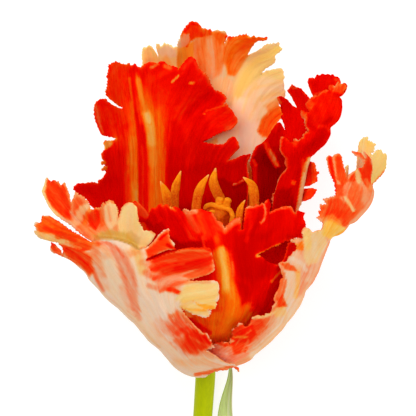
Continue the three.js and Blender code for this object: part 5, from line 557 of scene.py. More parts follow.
            ["P", [[31.35, 101.57], [33, 101.31], [33.65, 97.57], [34.6, 93.54], [34.42, 90.29], [32.93, 93.8], [31.99, 98.1]], 0, 0.46, 0.95, [0.92, 0.4, None, None]],
            ["P", [[33.54, 101.32], [35.16, 101.86], [36.39, 98.12], [37.4, 94.64], [36.29, 93.28], [34.56, 94.89]], 0, 0.46, 0.95, [0.7, 0.5, None, None]],
            ["L", [[35.46, 101.06], [36.71, 97.05], [37.39, 94.91]], 0.2, 0.4, 0.6, [0.78, 0.4, None, None]],
            ["P", [[34.31, 93.81], [36.28, 93.82], [36.36, 90.56], [34.7, 90.29]], 0, 0.57, 0.8, [0.74, 0.35, None, None]],
            ["P", [[37.4, 94.64], [38.45, 96.54], [40.33, 97.62], [40.79, 95.48], [38.85, 94.39]], 0, 0.46, 0.9, [0.8, 0.45, None, None]],
            ["P", [[40.33, 97.62], [42.13, 99.76], [41.51, 101.37], [43.51, 100.31], [44.56, 98.2], [44.34, 94.43], [43.49, 92.78], [41.11, 94.94]], 0, 0.46, 0.92, [0.86, 0.4, None, None]],
            ["P", [[39.62, 96.01], [39.74, 98.15], [40.94, 97.09], [41.71, 94.41], [40.57, 93.85]], 0, 0.4, 0.9, [0.1, 0.5, 0.05, None]],
            ["L", [[38.75, 102.29], [40.4, 102.03], [41.8, 100.83]], 0.28, 0.34, 0.9, [0.66, 0.3, None, None]],
            ["L", [[42.55, 94.96], [43.47, 93.88], [44.08, 92.24]], 0.4, 0.57, 0.7, [0.48, 0.4, None, None]],
            ["L", [[42.31, 102.17], [43.51, 100.31]], 0.2, 0.28, 0.8, [0.85, 0.3, None, None]],
            ["L", [[22.2, 78.29], [23.6, 78.55], [25.58, 78.39]], 0.2, 0.28, 0.9, [0.25, 0.4, None, None]],
            ["P", [[23.05, 77.73], [25.58, 78.25], [25.67, 75.74], [23.95, 75.78]], 0, 0.43, 0.9, [0.56, 1, None, None]],
        ],
    },
    "D_back": {
        "outline": [
            [38.46, 81.65], [37.56, 80.51], [36.37, 79.79], [35.03, 79.34], [34.06, 78.34], [33.4, 76.48], [32.59, 74.19], [30.97, 69.58], [30.15, 67.85], [29.32, 66.11],
            [28.21, 64.65], [27.38, 63.48], [26.84, 61.73], [26.02, 59.68], [24.91, 57.9], [23.79, 56.12], [22.39, 54.34], [20.99, 52.25], [19.28, 50.45], [17.57, 48.64],
            [15.86, 47.12], [14.13, 45.6], [12.98, 44.69], [12.11, 43.49], [10.66, 42.56], [8.92, 41.8], [6, 40.86], [3.66, 40.09], [1.61, 39.77], [1.61, 40.26],
            [2.79, 40.8], [5.16, 43.49], [9.59, 48.05], [14.29, 53.11], [19.27, 59.33], [23.07, 65.54], [25.96, 71.45], [28.25, 77.04], [30.49, 79.12], [32.68, 79.88],
            [33.75, 81.5], [33.7, 83.82], [34.96, 86.71], [37.56, 85.58], [38.69, 83.73],
        ],
        "pins": [
            [34.96, 86.43, 32.45], [37.57, 85, 37.45], [33.18, 83.23, 27.45], [30.77, 79.12, 22.95], [28.24, 76.46, 20.45], [34.82, 80.35, 29.45], [31.53, 75.08, 25.45],
            [25.96, 70.86, 18.95], [29.83, 69.82, 24.45], [23.06, 64.96, 17.75], [26.98, 64.54, 22.95], [19.26, 58.76, 16.95], [23.53, 58.64, 21.45], [14.28, 52.54, 16.05],
            [18.88, 52.75, 20.45], [9.58, 47.47, 15.05], [14.23, 47.95, 18.45], [5.16, 43.49, 15.05], [8.97, 43.75, 16.95], [2.8, 40.74, 15.85], [4.86, 41.36, 16.25],
            [1.61, 40.06, 16.75],
        ],
        "guides": [
            [-12, [[1.25, 46.55], [8.47, 53.29], [14.56, 57.01], [18.12, 61.8], [20.46, 69.68], [22.3, 74.14], [25.82, 79.63], [30.09, 86.2]]],
            [-6, [[2.4, 44.03], [11.34, 50.81], [17.4, 57.17], [22.31, 65.65], [25.53, 72.37], [28.67, 78.5], [31.83, 84.56], [33.58, 90.56], [33.56, 100.78]]],
            [0, [[3.56, 42.41], [13.15, 48.2], [19.83, 55.19], [24.68, 64.4], [28.16, 72.29], [32.06, 79.03], [36.9, 86.19], [39.73, 92.21], [41.83, 100.3]]],
            [6, [[4.72, 41.4], [15.47, 48.07], [21.88, 55.08], [26.23, 62.3], [29.51, 68.25], [33.3, 77.89], [38.85, 82.59], [43.17, 86.74], [45.28, 91.42], [43.79, 100.32]]],
        ],
        "fill": [0.3, 0.15, 0, 0],
        "other": [0.5, 0.5, 1, 0],
        "marks": [
        ],
    },
    "D_tips": {
        "outline": [
            [38.31, 93.02], [37.32, 94.65], [36.97, 97.1], [37.03, 98.59], [37.43, 99.01], [37.79, 98.61], [37.93, 97.11], [38.22, 95.48], [38.85, 94.8], [39.35, 95.5],
            [40.08, 97.97], [40.28, 100.41], [40.47, 103.11], [40.68, 104.99], [41.21, 105.94], [42.31, 106.62], [43.16, 106.37], [43.19, 105.56], [44.89, 105.04], [44.66, 103.97],
            [44.43, 102.89], [43.74, 102.34], [44.17, 102.07], [45.29, 102.9], [46.13, 103.32], [46.98, 103.19], [47.3, 102.11], [48.14, 102.39], [48.76, 101.31], [48.59, 99.69],
            [48.19, 97.79], [46.9, 96.15], [45.83, 94.77], [44.99, 93.66], [44.94, 91.72], [43.02, 89.49], [40.1, 89.76],
        ],
        "pins": [
            [38.31, 93.02, 69.05], [40.1, 89.76, 66.6], [43.02, 89.49, 63.8], [41.19, 91.95, 66.65], [37.44, 98.74, 70.05], [37.61, 96.02, 69.45], [40.08, 97.97, 66.95],
            [40.47, 103.11, 69.45], [42.32, 106.36, 70.45], [44.63, 104.5, 68.45], [46.14, 103.18, 66.45], [48.47, 101.31, 64.45], [46.9, 96.15, 59.45], [44.99, 93.39, 58.95],
            [43.46, 98.27, 65.45],
        ],
        "guides": [
            [0, [[39.21, 90.57], [40.66, 97.16], [42.06, 105.82]]],
            [6, [[42.42, 90.04], [45.37, 96.67], [47.87, 102.11]]],
        ],
        "fill": [0.05, 0.75, 0.08, 0],
        "other": [0.05, 0.9, 1, 0],
        "marks": [
            ["P", [[38.03, 93.02], [40.08, 95.5], [43.09, 93.35], [45.6, 92.84], [43.03, 88.94], [39.53, 89.48]], 0, 1.14, 0.9, [0.6, 0.3, None, None]],
            ["L", [[44.99, 93.39], [46.68, 95.33], [48.22, 97.52]], 0.26, 0.37, 0.95, [0.8, 0.4, None, None]],
            ["L", [[41.5, 105.81], [43.77, 104.76]], 0.28, 0.85, 0.5, [0.08, 0.95, 0.1, None]],
            ["P", [[40.01, 99.86], [41.6, 103.12], [43.3, 102.6], [42.87, 98.8], [40.66, 97.16]], 0, 0.85, 0.6, [0.05, 0.4, None, None]],
        ],
    },
    "E": {
        "outline": [
            [-30.84, 78.33], [-28.29, 78.5], [-26.33, 78.39], [-24.13, 77.87], [-21.95, 77.07], [-20.34, 76.27], [-19.01, 75.91], [-17.68, 76.12], [-16.06, 77.33], [-14.69, 78.69],
            [-13.32, 80.32], [-11.96, 81.4], [-10.88, 81.54], [-10.89, 80.06], [-10.35, 78.72], [-9.55, 77.91], [-9.57, 76.82], [-9.04, 76.28], [-10.65, 76.28], [-12.01, 75.91],
            [-13.92, 75.03], [-15.55, 74.07], [-16.64, 73.39], [-15.29, 73.66], [-13.39, 74.48], [-11.48, 75.23], [-9.05, 75.87], [-7.16, 76.28], [-5.28, 76.56], [-1.79, 76.56],
            [0.09, 76.28], [0.63, 74.65], [0.9, 73.3], [1.17, 71.93], [1.17, 70.57], [0.09, 69.74], [-1.26, 69.18], [-3.97, 68.32], [-6.14, 67.62], [-3.97, 67.49],
            [-1.26, 67.37], [1.99, 67.24], [2.54, 65.29], [2.27, 64.46], [2.55, 63.62], [2.28, 62.22], [1.74, 61.66], [1.74, 60.54], [0.92, 59.83], [-0.17, 59.69],
            [-2.63, 60.93], [-4.54, 62.05], [-2.9, 60.64], [-0.99, 59.54], [0.1, 59.12], [-0.17, 57.7], [-1.54, 57.11], [-2.64, 57.38], [-4.01, 58.21], [-5.93, 59.33],
            [-7.84, 60.18], [-6.76, 58.17], [-5.4, 56.59], [-4.03, 55.04], [-2.65, 53.76], [-1.83, 52.75], [-0.72, 52.47], [-0.17, 51.29], [0.39, 50.4], [0.67, 49.2],
            [1.5, 48.46], [0.11, 48.11], [-1.28, 47.73], [0.67, 46.74], [2.93, 44.83], [4.64, 43.65], [5.78, 43.27], [6.64, 43.23], [7.52, 42.34], [8.43, 40.78],
            [6.97, 41.59], [5.82, 41.75], [4.4, 41.28], [2.98, 40.93], [1.56, 40.36], [0.13, 39.71], [-1.32, 38.02], [-2.79, 37.86], [-4.26, 38.02], [-5.72, 38.34],
            [-7.18, 38.97], [-8.63, 39.91], [-10.09, 41.13], [-11.53, 42.97], [-12.96, 44.8], [-14.39, 46.62], [-17.24, 49.07], [-18.65, 50.87], [-20.06, 52.67], [-21.46, 54.47],
            [-22.87, 55.67], [-25.65, 58.65], [-28.42, 61.03], [-29.8, 62.5], [-31.16, 64.25], [-32.53, 65.71], [-33.9, 67.16], [-34.44, 68.31], [-35.25, 69.46], [-36.61, 70.62],
            [-37.93, 71.93], [-39.24, 72.95], [-40.44, 73.72], [-41.61, 74.36], [-42.44, 74.78], [-43.32, 74.76], [-43.85, 75.33], [-44.22, 75.9], [-43.97, 76.76], [-43.71, 77.62],
            [-43.09, 77.04], [-42.31, 76.34], [-41.5, 75.5], [-40.33, 74.5], [-40.86, 75.94], [-41.22, 77.06], [-41.87, 78.04], [-43.46, 78.33], [-45.41, 78.46], [-46.85, 78.87],
            [-47.97, 79.83], [-48.21, 80.94], [-47.6, 81.22], [-48.03, 82.05], [-48.15, 83.15], [-46.4, 83.44], [-46.38, 84.81], [-44.65, 85.09], [-43.8, 84.82], [-42.36, 84],
            [-40.94, 83.19], [-39.54, 82.1], [-38.14, 81.01], [-35.88, 79.93], [-33.93, 78.85], [-32.27, 78.04],
        ],
        "pins": [
            [-31.99, 77.77, 71.45], [-28.29, 78.1, 75.45], [-24.13, 77.6, 78.45], [-20.08, 76, 78.95], [-16.6, 76.52, 77.95], [-11.96, 80.86, 81.45], [-10.09, 77.91, 81.45],
            [-14.74, 74.34, 76.95], [-7.97, 75.73, 78.95], [-2.59, 76.02, 80.45], [0.36, 75.47, 79.45], [0.9, 72.21, 77.95], [-5.31, 71.07, 75.45], [-1.26, 69.46, 75.95],
            [-3.97, 67.21, 72.95], [1.72, 66.68, 73.45], [2.27, 63.9, 71.45], [1.19, 60.54, 68.95], [-3.17, 61.63, 68.95], [-0.72, 58.27, 66.95], [-4.28, 59.07, 66.45],
            [-7.57, 59.89, 66.45], [-5.95, 57.01, 63.45], [-2.38, 53.04, 60.95], [0.67, 49.5, 56.95], [-8.74, 54.09, 59.95], [-6.02, 49.95, 54.95], [-2.68, 48.13, 52.45],
            [0.67, 46.42, 51.95], [4.65, 43.15, 44.45], [8.13, 41.13, 37.45], [-1.29, 44.31, 44.95], [-2.74, 40.86, 35.45], [-6.98, 43.53, 41.45], [-46.68, 83.99, 63.45],
            [-47.92, 80.66, 61.45], [-43.8, 84.27, 65.45], [-43.87, 79.32, 64.45], [-38.17, 80.18, 67.95], [-34, 76.38, 69.45], [-41.85, 78.18, 61.45], [-43.76, 76.18, 57.45],
            [-38.43, 75.73, 63.45], [-37.13, 73.77, 61.95], [-29.73, 75.36, 73.45], [-31.52, 70.24, 63.95], [-27.04, 72.64, 72.95], [-28.01, 66.89, 62.45], [-23.92, 67.63, 68.95],
            [-24.22, 62.69, 60.45], [-18.83, 71.07, 75.45], [-19.11, 62.04, 65.45], [-20.7, 58.43, 57.95], [-15.05, 57.8, 62.45], [-16.02, 53.36, 56.45], [-11.66, 48.33, 50.95],
            [-13.01, 62.7, 68.45], [-12.11, 67.75, 72.95], [-11.97, 58.75, 65.45], [-10.35, 45.13, 44.45], [-5.34, 64.44, 71.45],
        ],
        "guides": [
            [-12, [[-2.75, 38.66], [-11.23, 44.13], [-19.44, 53.77], [-27.77, 61.64], [-33.73, 68.43], [-38.1, 72.89], [-42.41, 75.06]]],
            [-6, [[-4.18, 40.5], [-13.85, 50.43], [-21.46, 60.47], [-26.8, 67.52], [-30.46, 72.55], [-34.91, 75.53], [-41.32, 77.62], [-47.32, 80.67]]],
            [0, [[-3.87, 42.53], [-11.56, 52], [-17.43, 62.08], [-21.62, 69.1], [-24.48, 73.79], [-26.89, 77.85]]],
            [6, [[-2.99, 44.9], [-8.75, 53.5], [-14.12, 62.13], [-16.2, 67.19], [-15.6, 70.51], [-11.24, 73.26], [-3.94, 74.93], [0.36, 75.47]]],
            [11, [[-1.85, 46.9], [-5.98, 53.54], [-10.3, 60.75], [-10.25, 64.41], [-6.42, 66.65], [-1.53, 68.07], [1.17, 70.57]]],
            [15, [[-0.72, 47.6], [-3.77, 52.41], [-7.59, 58.16], [-8.1, 61.32], [-4.8, 63.32], [2.27, 64.74]]],
            [19, [[0.67, 48.29], [-2.1, 52.45], [-5.4, 57.03], [-3.73, 59.93], [-0.17, 60.53]]],
        ],
        "fill": [0.06, 0.1, 0, 0],
        "other": [0.5, 0.5, 1, 0],
        "marks": [
            # fourth value s above zero is painted shade along creases and under the curled lip, below zero painted
            # light; the greenish g on the long olive band is painted fold shade
            ["P", [[-23.65, 73.8], [-16.09, 73.8], [-8.09, 62.17], [-11.64, 48.95], [-16.64, 51.83], [-22.6, 60.71]], 0, 3.42, 0.85, [0.05, 0.08, None, 0]],
            ["L", [[-16.59, 53.34], [-13.9, 48.88], [-9.51, 44.81]], 1.14, 2.28, 0.6, [0.1, 0.1, None, None]],
            ["L", [[-26.63, 75.95], [-25.75, 70.42], [-25.25, 64.69], [-22.69, 58.93], [-16.67, 50.92]], 0.85, 1.71, 0.7, [0.06, 0.2, 0.03, None]],
            ["L", [[-28.17, 72.61], [-26.92, 65.78]], 1.14, 1.71, 0.5, [0.06, 0.3, None, None]],
            ["L", [[-38.15, 80.73], [-35.89, 79.71], [-33.66, 78.58]], 0.23, 0.51, 0.85, [0.92, 0.7, None, None]],
            ["L", [[-21.97, 75.45], [-19.91, 71.07], [-18.45, 64.92]], 0.57, 1.14, 0.6, [0.04, 0.1, None, None]],
            ["L", [[-20.07, 76.54], [-19.04, 73.81], [-18.03, 70.52]], 0.46, 1.42, 0.75, [0.12, 0.7, 0.16, 0.02]],
            ["P", [[-31.43, 77.51], [-26.89, 77.57], [-23.05, 75.99], [-18.74, 76.53], [-17.16, 74.62], [-24.2, 73.79], [-29.81, 73.69]], 0, 1.42, 0.5, [0.34, 0.3, None, None]],
            ["P", [[-29.14, 78.09], [-26.33, 77.99], [-24.14, 76.79], [-22, 74.36], [-20.45, 71.34], [-19.49, 66.88], [-19.39, 62.03], [-19.05, 56.75], [-20.45, 57.56], [-22.24, 61.9], [-23.42, 66.5], [-24.86, 71.28], [-26.91, 75.95]], 0, 1.28, 0.85, [0.35, 0.04, None, None]],
            ["L", [[-26.62, 77.04], [-24.9, 73.78], [-23.67, 69.91], [-22.52, 64.8], [-20.94, 59.31]], 0.14, 0.57, 0.8, [0.46, 0.02, None, None]],
            ["L", [[-26.89, 77.57], [-24.42, 76.25], [-22.82, 74.08], [-21.55, 71.06], [-20.05, 66.59]], 0.11, 0.85, 0.7, [0.4, 0.05, None, None]],
            ["L", [[-21.84, 64.25], [-20.6, 60.51], [-19.33, 56.74]], 0.23, 1, 0.5, [0.38, 0.02, None, None]],
            ["L", [[-30.28, 77.8], [-28.01, 77.97], [-25.24, 76.78], [-23.09, 74.35]], 0.23, 0.4, 0.8, [0.52, 0.03, None, None]],
            ["P", [[-38.32, 77.55], [-35.38, 77.74], [-31.99, 77.77], [-32.59, 75.85], [-34.91, 75.53], [-36.6, 76.61]], 0, 0.46, 0.8, [0.92, 0.6, None, None]],
            ["P", [[-33.48, 75.28], [-29.71, 76.45], [-30.46, 72.55], [-32.4, 70.21], [-34.32, 71.87]], 0, 1.42, 0.85, [0.34, 0.3, None, None]],
            ["P", [[-33.11, 78.31], [-29.99, 78.48], [-29.43, 77], [-32.01, 76.13]], 0, 0.71, 0.8, [0.66, 0.5, None, None]],
            ["L", [[-31.44, 75.87], [-30.17, 72.56], [-29.28, 69.16]], 0.28, 1.71, 0.6, [0.46, 0.3, None, None]],
            ["L", [[-31.04, 72.54], [-29.57, 69.15], [-28.09, 65.73]], 0.28, 1.42, 0.5, [0.24, 0.1, None, None]],
            ["L", [[-31.77, 70.8], [-30.88, 67.37], [-29.34, 64.51]], 0.28, 0.71, 0.7, [0.66, 0.1, None, None]],
            ["L", [[-29.38, 63.92], [-24.4, 59.44], [-20.53, 55.49], [-13.92, 48.26]], 0.14, 0.51, 0.6, [0.2, 0.3, 0.03, None]],
            ["P", [[-41.88, 77.9], [-39.53, 77.38], [-35.45, 76.35], [-32.09, 74.19], [-31.52, 70.24], [-33.14, 68.45], [-35.86, 71.24], [-39.24, 73.43], [-41.47, 75.65]], 0, 1.14, 0.92, [0.8, 0.5, None, None]],
            ["L", [[-39.6, 76.26], [-36.75, 74.64], [-33.43, 71.9]], 0.2, 0.4, 0.6, [1, None, None, None]],
            ["L", [[-40.15, 77.23], [-36.63, 76.05], [-33.26, 74.16]], 0.17, 0.34, 0.4, [0.7, 0.8, None, None]],
            ["L", [[-43.89, 77.33], [-42.93, 75.91], [-40.95, 74.53]], 0.46, 0.46, 0.9, [0.84, 0.4, None, None]],
            ["P", [[-46.67, 85.09], [-43.79, 85.1], [-40.36, 83.19], [-35.32, 79.93], [-31.42, 77.78], [-32.59, 75.85], [-36.55, 77.44], [-41.82, 78.46], [-46.79, 79.57], [-47.87, 82.33]], 0, 0.74, 0.92, [0.74, 0.8, None, None]],
            ["L", [[-46.11, 83.44], [-43.22, 82.35], [-41.55, 81.54]], 0.28, 0.57, 0.6, [0.62, 1, None, None]],
            ["L", [[-42.1, 81.81], [-39.87, 80.99], [-37.04, 79.64]], 0.34, 0.85, 0.6, [0.76, 1, None, None]],
            ["L", [[-45.52, 81.79], [-41.61, 80.43], [-36.51, 78.55]], 0.2, 0.46, 0.6, [0.9, 0.5, None, None]],
            ["P", [[-48.2, 81.22], [-45.53, 80.69], [-42.74, 79.87], [-41.85, 78.18], [-46.33, 78.17], [-48.61, 79.26]], 0, 0.57, 0.85, [0.12, 0.6, 0.04, None]],
            ["L", [[-45.02, 79.31], [-41.84, 78.32], [-38.89, 77.95]], 0.34, 0.4, 0.92, [0.14, 0.7, 0.03, None]],
            ["L", [[-39.49, 78.08], [-37.15, 77.21], [-35.15, 76.36]], 0.11, 0.34, 0.7, [0.4, 0.6, None, None]],
            ["P", [[-16.11, 72.71], [-9.08, 72.71], [-6.41, 68.31], [-9.7, 64.42], [-14.05, 65.52], [-16.17, 68.86]], 0, 2.56, 0.75, [0.52, 0.1, None, None]],
            ["L", [[-24.02, 65.9], [-22.79, 62.46], [-21.79, 59.57]], 0.28, 1.14, 0.5, [0.3, 0.05, None, None]],
            ["L", [[-14.26, 55.79], [-13.22, 52.86]], 0.57, 1.42, 0.4, [0.3, 0, None, None]],
            ["L", [[-17.99, 72.72], [-16.12, 71.89], [-13.43, 70.79]], 0.28, 1.42, 0.5, [0.42, 0.05, None, None]],
            ["L", [[-17.5, 69.97], [-15.09, 68.58], [-11.85, 67.47]], 0.23, 1, 0.55, [0.56, 0.03, None, None]],
            ["L", [[-16.49, 66.35], [-14.05, 65.52], [-11.33, 65.25]], 0.23, 0.85, 0.55, [0.5, 0.05, None, None]],
            ["L", [[-15.59, 70.79], [-12.89, 71.06], [-9.09, 72.16]], 0.28, 0.51, 0.8, [0.85, 0.2, None, None]],
            ["L", [[-15.09, 68.31], [-11.82, 69.41], [-8.56, 70.51]], 0.28, 0.57, 0.7, [0.75, 0.15, None, None]],
            ["L", [[-14.03, 66.64], [-10.21, 68.03], [-5.32, 69.14]], 0.23, 0.57, 0.6, [0.25, 0.1, None, None]],
            ["L", [[-13.52, 64.68], [-10.23, 66.37], [-6.41, 67.48]], 0.23, 0.57, 0.6, [0.66, 0.1, None, None]],
            ["L", [[-11.33, 65.25], [-9.7, 65.11], [-8.34, 64.14]], 0.34, 0.51, 0.85, [0.85, 0.4, None, None]],
            ["P", [[-17.41, 75.98], [-14.42, 78.42], [-11.69, 81.13], [-10.61, 80.87], [-10.09, 78.18], [-9.04, 76.55], [-13.37, 75.44], [-16.63, 73.8]], 0, 0.57, 0.92, [0.84, 0.45, None, None]],
            ["P", [[-14.15, 78.42], [-12.24, 79.51], [-10.62, 78.45], [-11.18, 76.82], [-13.63, 76.53]], 0, 0.71, 0.7, [0.74, 0.75, None, None]],
            ["L", [[-13.33, 79.24], [-12.1, 80.32], [-11.15, 81]], 0.34, 0.51, 0.85, [1.12, None, None, None]],
            ["L", [[-16.06, 77.06], [-14.42, 78.56], [-12.78, 80.32], [-10.88, 81.27]], 0.17, 0.31, 0.6, [0.6, 0.4, None, None]],
            ["P", [[-15.57, 72.98], [-12.02, 75.17], [-5.28, 76.28], [0.09, 76.15], [1.17, 72.75], [-0.98, 71.11], [-8.03, 69.41], [-11.83, 69.13], [-14.52, 70.24]], 0, 1.71, 0.9, [0.84, 0.45, None, 0.11]],
            ["P", [[-9.08, 72.71], [-2.6, 73.84], [0.9, 73.84], [-0.45, 71.66], [-6.4, 70.24], [-10.19, 70.51]], 0, 1.14, 0.75, [0.97, 0.3, None, 0.13]],
            ["L", [[-16.12, 71.34], [-12.87, 72.84], [-9.08, 73.53]], 0.17, 0.51, 0.7, [0.62, 0.3, None, None]],
            ["L", [[-15.06, 70.24], [-10.72, 71.75], [-6.93, 72.44]], 0.14, 0.43, 0.6, [0.66, 0.2, None, None]],
            ["L", [[-10.68, 74.36], [-6.36, 75.46], [-1.52, 75.75]], 0.34, 0.74, 0.4, [0.8, 0.8, None, 0.1]],
            ["L", [[-11.17, 77.64], [-10.11, 76.82], [-8.5, 76.41]], 0.23, 0.51, 0.8, [1.1, 0.4, None, 0.1]],
            ["L", [[-9.04, 76.33], [-5.27, 76.66], [-1.52, 76.67], [0.9, 75.74]], 0.23, 0.51, 0.85, [1.1, 0.6, None, 0.05]],
            ["P", [[-7.49, 68.86], [-3.69, 70.53], [0.63, 71.94], [0.9, 70.57], [-1.53, 69.18], [-5.33, 68.03]], 0, 0.57, 0.85, [0.74, 0.4, None, None]],
            ["L", [[-5.87, 67.9], [-3.42, 68.6], [-0.99, 69.38], [0.9, 70.57], [1.17, 72.75]], 0.17, 0.28, 0.7, [0.46, 0.4, None, None]],
            ["L", [[-9.04, 76.06], [-11.75, 75.45], [-14.47, 74.34], [-16.91, 73.26]], 0.17, 0.34, 0.95, [1.2, None, None, 0.35]],
            ["P", [[-9.18, 62.17], [-6.42, 66.65], [-1.53, 67.51], [2.27, 66.96], [2.55, 63.9], [1.47, 60.26], [-1.54, 60.8], [-4.81, 62.19], [-7.55, 61.32]], 0, 1.42, 0.92, [0.09, 0.8, None, 0.02]],
            ["P", [[-8.66, 60.46], [-4.81, 61.91], [-0.45, 59.4], [-0.17, 57.42], [-3.74, 58.22]], 0, 0.71, 0.9, [0.12, 0.75, None, None]],
            ["L", [[-6.42, 67.2], [-3.7, 67.35], [0.1, 67.1]], 0.23, 0.46, 0.6, [0.35, 0.4, None, None]],
            ["P", [[-4.54, 62.05], [-2.36, 61.41], [1.47, 60.54], [1.47, 59.52], [-0.99, 59.96], [-3.18, 60.9]], 0, 0.34, 0.8, [0.32, 1.15, None, None]],
            ["L", [[-6.47, 59.9], [-3.73, 59.65], [-0.99, 59.4]], 0.17, 0.34, 0.6, [0.3, 1, None, None]],
            ["P", [[-12.37, 53.18], [-12.57, 56.42], [-8.96, 58.6], [-7.04, 57.87], [-3.76, 54.17], [-0.45, 51.28], [1.23, 48.3], [-2.7, 46.22], [-6.65, 45.82], [-9.4, 48.67]], 0, 3.13, 0.85, [0.42, 0, None, None]],
            ["P", [[-11.5, 54.67], [-8.69, 57.88], [-5.96, 55.86], [-5.99, 52.36], [-9.88, 52.31]], 0, 2.56, 0.8, [0.64, 0, None, None]],
            ["P", [[-7.72, 48.68], [-7.1, 52.34], [-4.03, 54.17], [-1, 51.87], [0.67, 48.89], [-2.13, 46.89], [-5.51, 46.8]], 0, 1.99, 0.92, [0.86, 0.4, None, None]],
            ["L", [[-9.36, 50.52], [-6.6, 48.7], [-3.82, 46.83]], 0.34, 1.14, 0.6, [0.66, 0.2, None, None]],
            ["L", [[-10.9, 57.31], [-8.68, 58.6], [-6.5, 57.01]], 0.23, 0.74, 0.7, [0.5, 0.3, None, None]],
            ["L", [[-8.76, 52.91], [-5.97, 54.12], [-2.66, 51.83]], 0.28, 1, 0.5, [0.9, 0.1, None, None]],
            ["P", [[-3.25, 47.48], [0.67, 47.05], [1.8, 45.15], [-1.58, 44.29]], 0, 1.14, 0.7, [0.36, 0.2, None, None]],
            ["L", [[-5.44, 51.77], [-2.67, 50.01], [0.11, 48.88]], 0.17, 0.4, 0.6, [0.6, 0.2, None, None]],
            ["L", [[-3.2, 53.9], [-1.28, 51.87], [0.11, 49.79]], 0.23, 0.63, 0.85, [1.05, 0.4, None, None]],
            ["L", [[-7.57, 59.89], [-5.95, 57.3], [-4.03, 55.04], [-1.83, 52.75]], 0.23, 0.31, 0.95, [0.22, 0.3, None, None]],
            ["L", [[-5.95, 57.01], [-4.03, 54.46], [-2.11, 52.15]], 0.17, 0.46, 0.4, [0.86, None, None, None]],
            ["P", [[-10.64, 44.8], [-6.66, 45.5], [-1.57, 45.62], [3.51, 43.83], [6.95, 42.37], [1.27, 40.37], [-3.9, 39.15], [-8.46, 41.18]], 0, 2.28, 0.8, [0.13, 0.15, None, -0.03]],
            ["L", [[-4.98, 44.19], [-1.58, 43.62], [2.39, 42.81]], 0.28, 1.14, 0.5, [0.26, 0.12, None, None]],
            ["L", [[-9.54, 43.5], [-4.99, 43.53], [0.12, 44.41]], 0.57, 1.14, 0.6, [0.2, 0.3, None, None]],
            ["L", [[-3.9, 39.32], [-0.45, 40.11], [2.97, 41.45], [6.39, 41.89], [8.12, 41.3]], 0.4, 0.51, 0.9, [0.62, 0.3, None, None]],
            ["L", [[-1, 47.27], [1.24, 45.96], [3.5, 44.5], [5.78, 43.44]], 0.11, 0.26, 0.5, [0.5, 0.6, None, None]],
        ],
    },
    "E_back": {
        "outline": [
            [0.13, 39.71], [-1.32, 38.02], [-2.79, 37.86], [-4.26, 38.02], [-5.72, 38.34], [-7.18, 38.97], [-8.63, 39.91], [-10.09, 41.13], [-11.53, 42.97], [-12.96, 44.8],
            [-14.39, 46.62], [-17.24, 49.07], [-18.65, 50.87], [-20.06, 52.67], [-21.46, 54.47], [-22.87, 55.67], [-25.65, 58.65], [-28.42, 61.03], [-29.8, 62.5], [-31.16, 64.25],
            [-32.53, 65.71], [-33.9, 67.16], [-34.44, 68.31], [-35.25, 69.46], [-36.61, 70.62], [-37.93, 71.93], [-39.24, 72.95], [-40.44, 73.72], [-39.09, 76.49], [-36.09, 77.23],
            [-32.47, 75.94], [-28.61, 72.33], [-24.33, 66.35], [-19.98, 60.35], [-15.27, 53.79], [-11.12, 47.87], [-8.13, 43.54], [-6.64, 40.98], [-5.15, 39.52], [-2.79, 38.74],
            [-0.74, 39.11],
        ],
        "pins": [
            [-39.09, 76.49, 41.45], [-36.09, 77.23, 33.45], [-32.47, 75.94, 24.45], [-35.04, 72.3, 31.45], [-28.61, 72.33, 18.95], [-31.26, 68.69, 25.45], [-24.33, 66.35, 15.05],
            [-27.63, 63.9, 21.45], [-19.98, 60.35, 12.45], [-23.31, 58.86, 19.45], [-15.27, 53.79, 11.25], [-18.7, 53.14, 16.45], [-11.12, 47.87, 11.45], [-14.6, 47.47, 15.05],
            [-8.13, 43.54, 13.45], [-10.16, 43.11, 16.05], [-6.64, 40.97, 14.75], [-7.51, 39.9, 16.45], [-5.15, 39.5, 17.05], [-2.8, 38.72, 17.75], [-0.74, 38.83, 18.05],
        ],
        "guides": [
            [-12, [[-2.75, 38.66], [-11.23, 44.13], [-19.44, 53.77], [-27.77, 61.64], [-33.73, 68.43], [-38.1, 72.89], [-42.41, 75.06]]],
            [-6, [[-4.18, 40.5], [-13.85, 50.43], [-21.46, 60.47], [-26.8, 67.52], [-30.46, 72.55], [-34.91, 75.53], [-41.32, 77.62], [-47.32, 80.67]]],
            [0, [[-3.87, 42.53], [-11.56, 52], [-17.43, 62.08], [-21.62, 69.1], [-24.48, 73.79], [-26.89, 77.85]]],
            [6, [[-2.99, 44.9], [-8.75, 53.5], [-14.12, 62.13], [-16.2, 67.19], [-15.6, 70.51], [-11.24, 73.26], [-3.94, 74.93], [0.36, 75.47]]],
            [11, [[-1.85, 46.9], [-5.98, 53.54], [-10.3, 60.75], [-10.25, 64.41], [-6.42, 66.65], [-1.53, 68.07], [1.17, 70.57]]],
            [15, [[-0.72, 47.6], [-3.77, 52.41], [-7.59, 58.16], [-8.1, 61.32], [-4.8, 63.32], [2.27, 64.74]]],
            [19, [[0.67, 48.29], [-2.1, 52.45], [-5.4, 57.03], [-3.73, 59.93], [-0.17, 60.53]]],
        ],
        "fill": [0.14, 0.3, 0, 0],
        "other": [0.5, 0.5, 1, 0],
        "marks": [
        ],
    },
    "E_up": {
        "outline": [
            [-45.26, 95.59], [-44.69, 95.03], [-44.11, 94.48], [-43.52, 94.75], [-42.63, 94.87], [-42.06, 94.18], [-41.46, 94.72], [-40.9, 93.34], [-39.99, 94.29], [-39.42, 93.05],
            [-38.84, 91.68], [-38.26, 90.3], [-37.99, 88.66], [-37.4, 89.75], [-36.5, 91.66], [-35.66, 90.84], [-34.83, 90.56], [-34.02, 89.75], [-33.22, 88.66], [-32.7, 87.02],
            [-32.43, 86.74], [-31.3, 87.02], [-30.45, 87.29], [-29.61, 87.29], [-29, 88.65], [-28.45, 88.38], [-27.59, 89.19], [-26.75, 89.32], [-25.94, 88.65], [-25.14, 87.29],
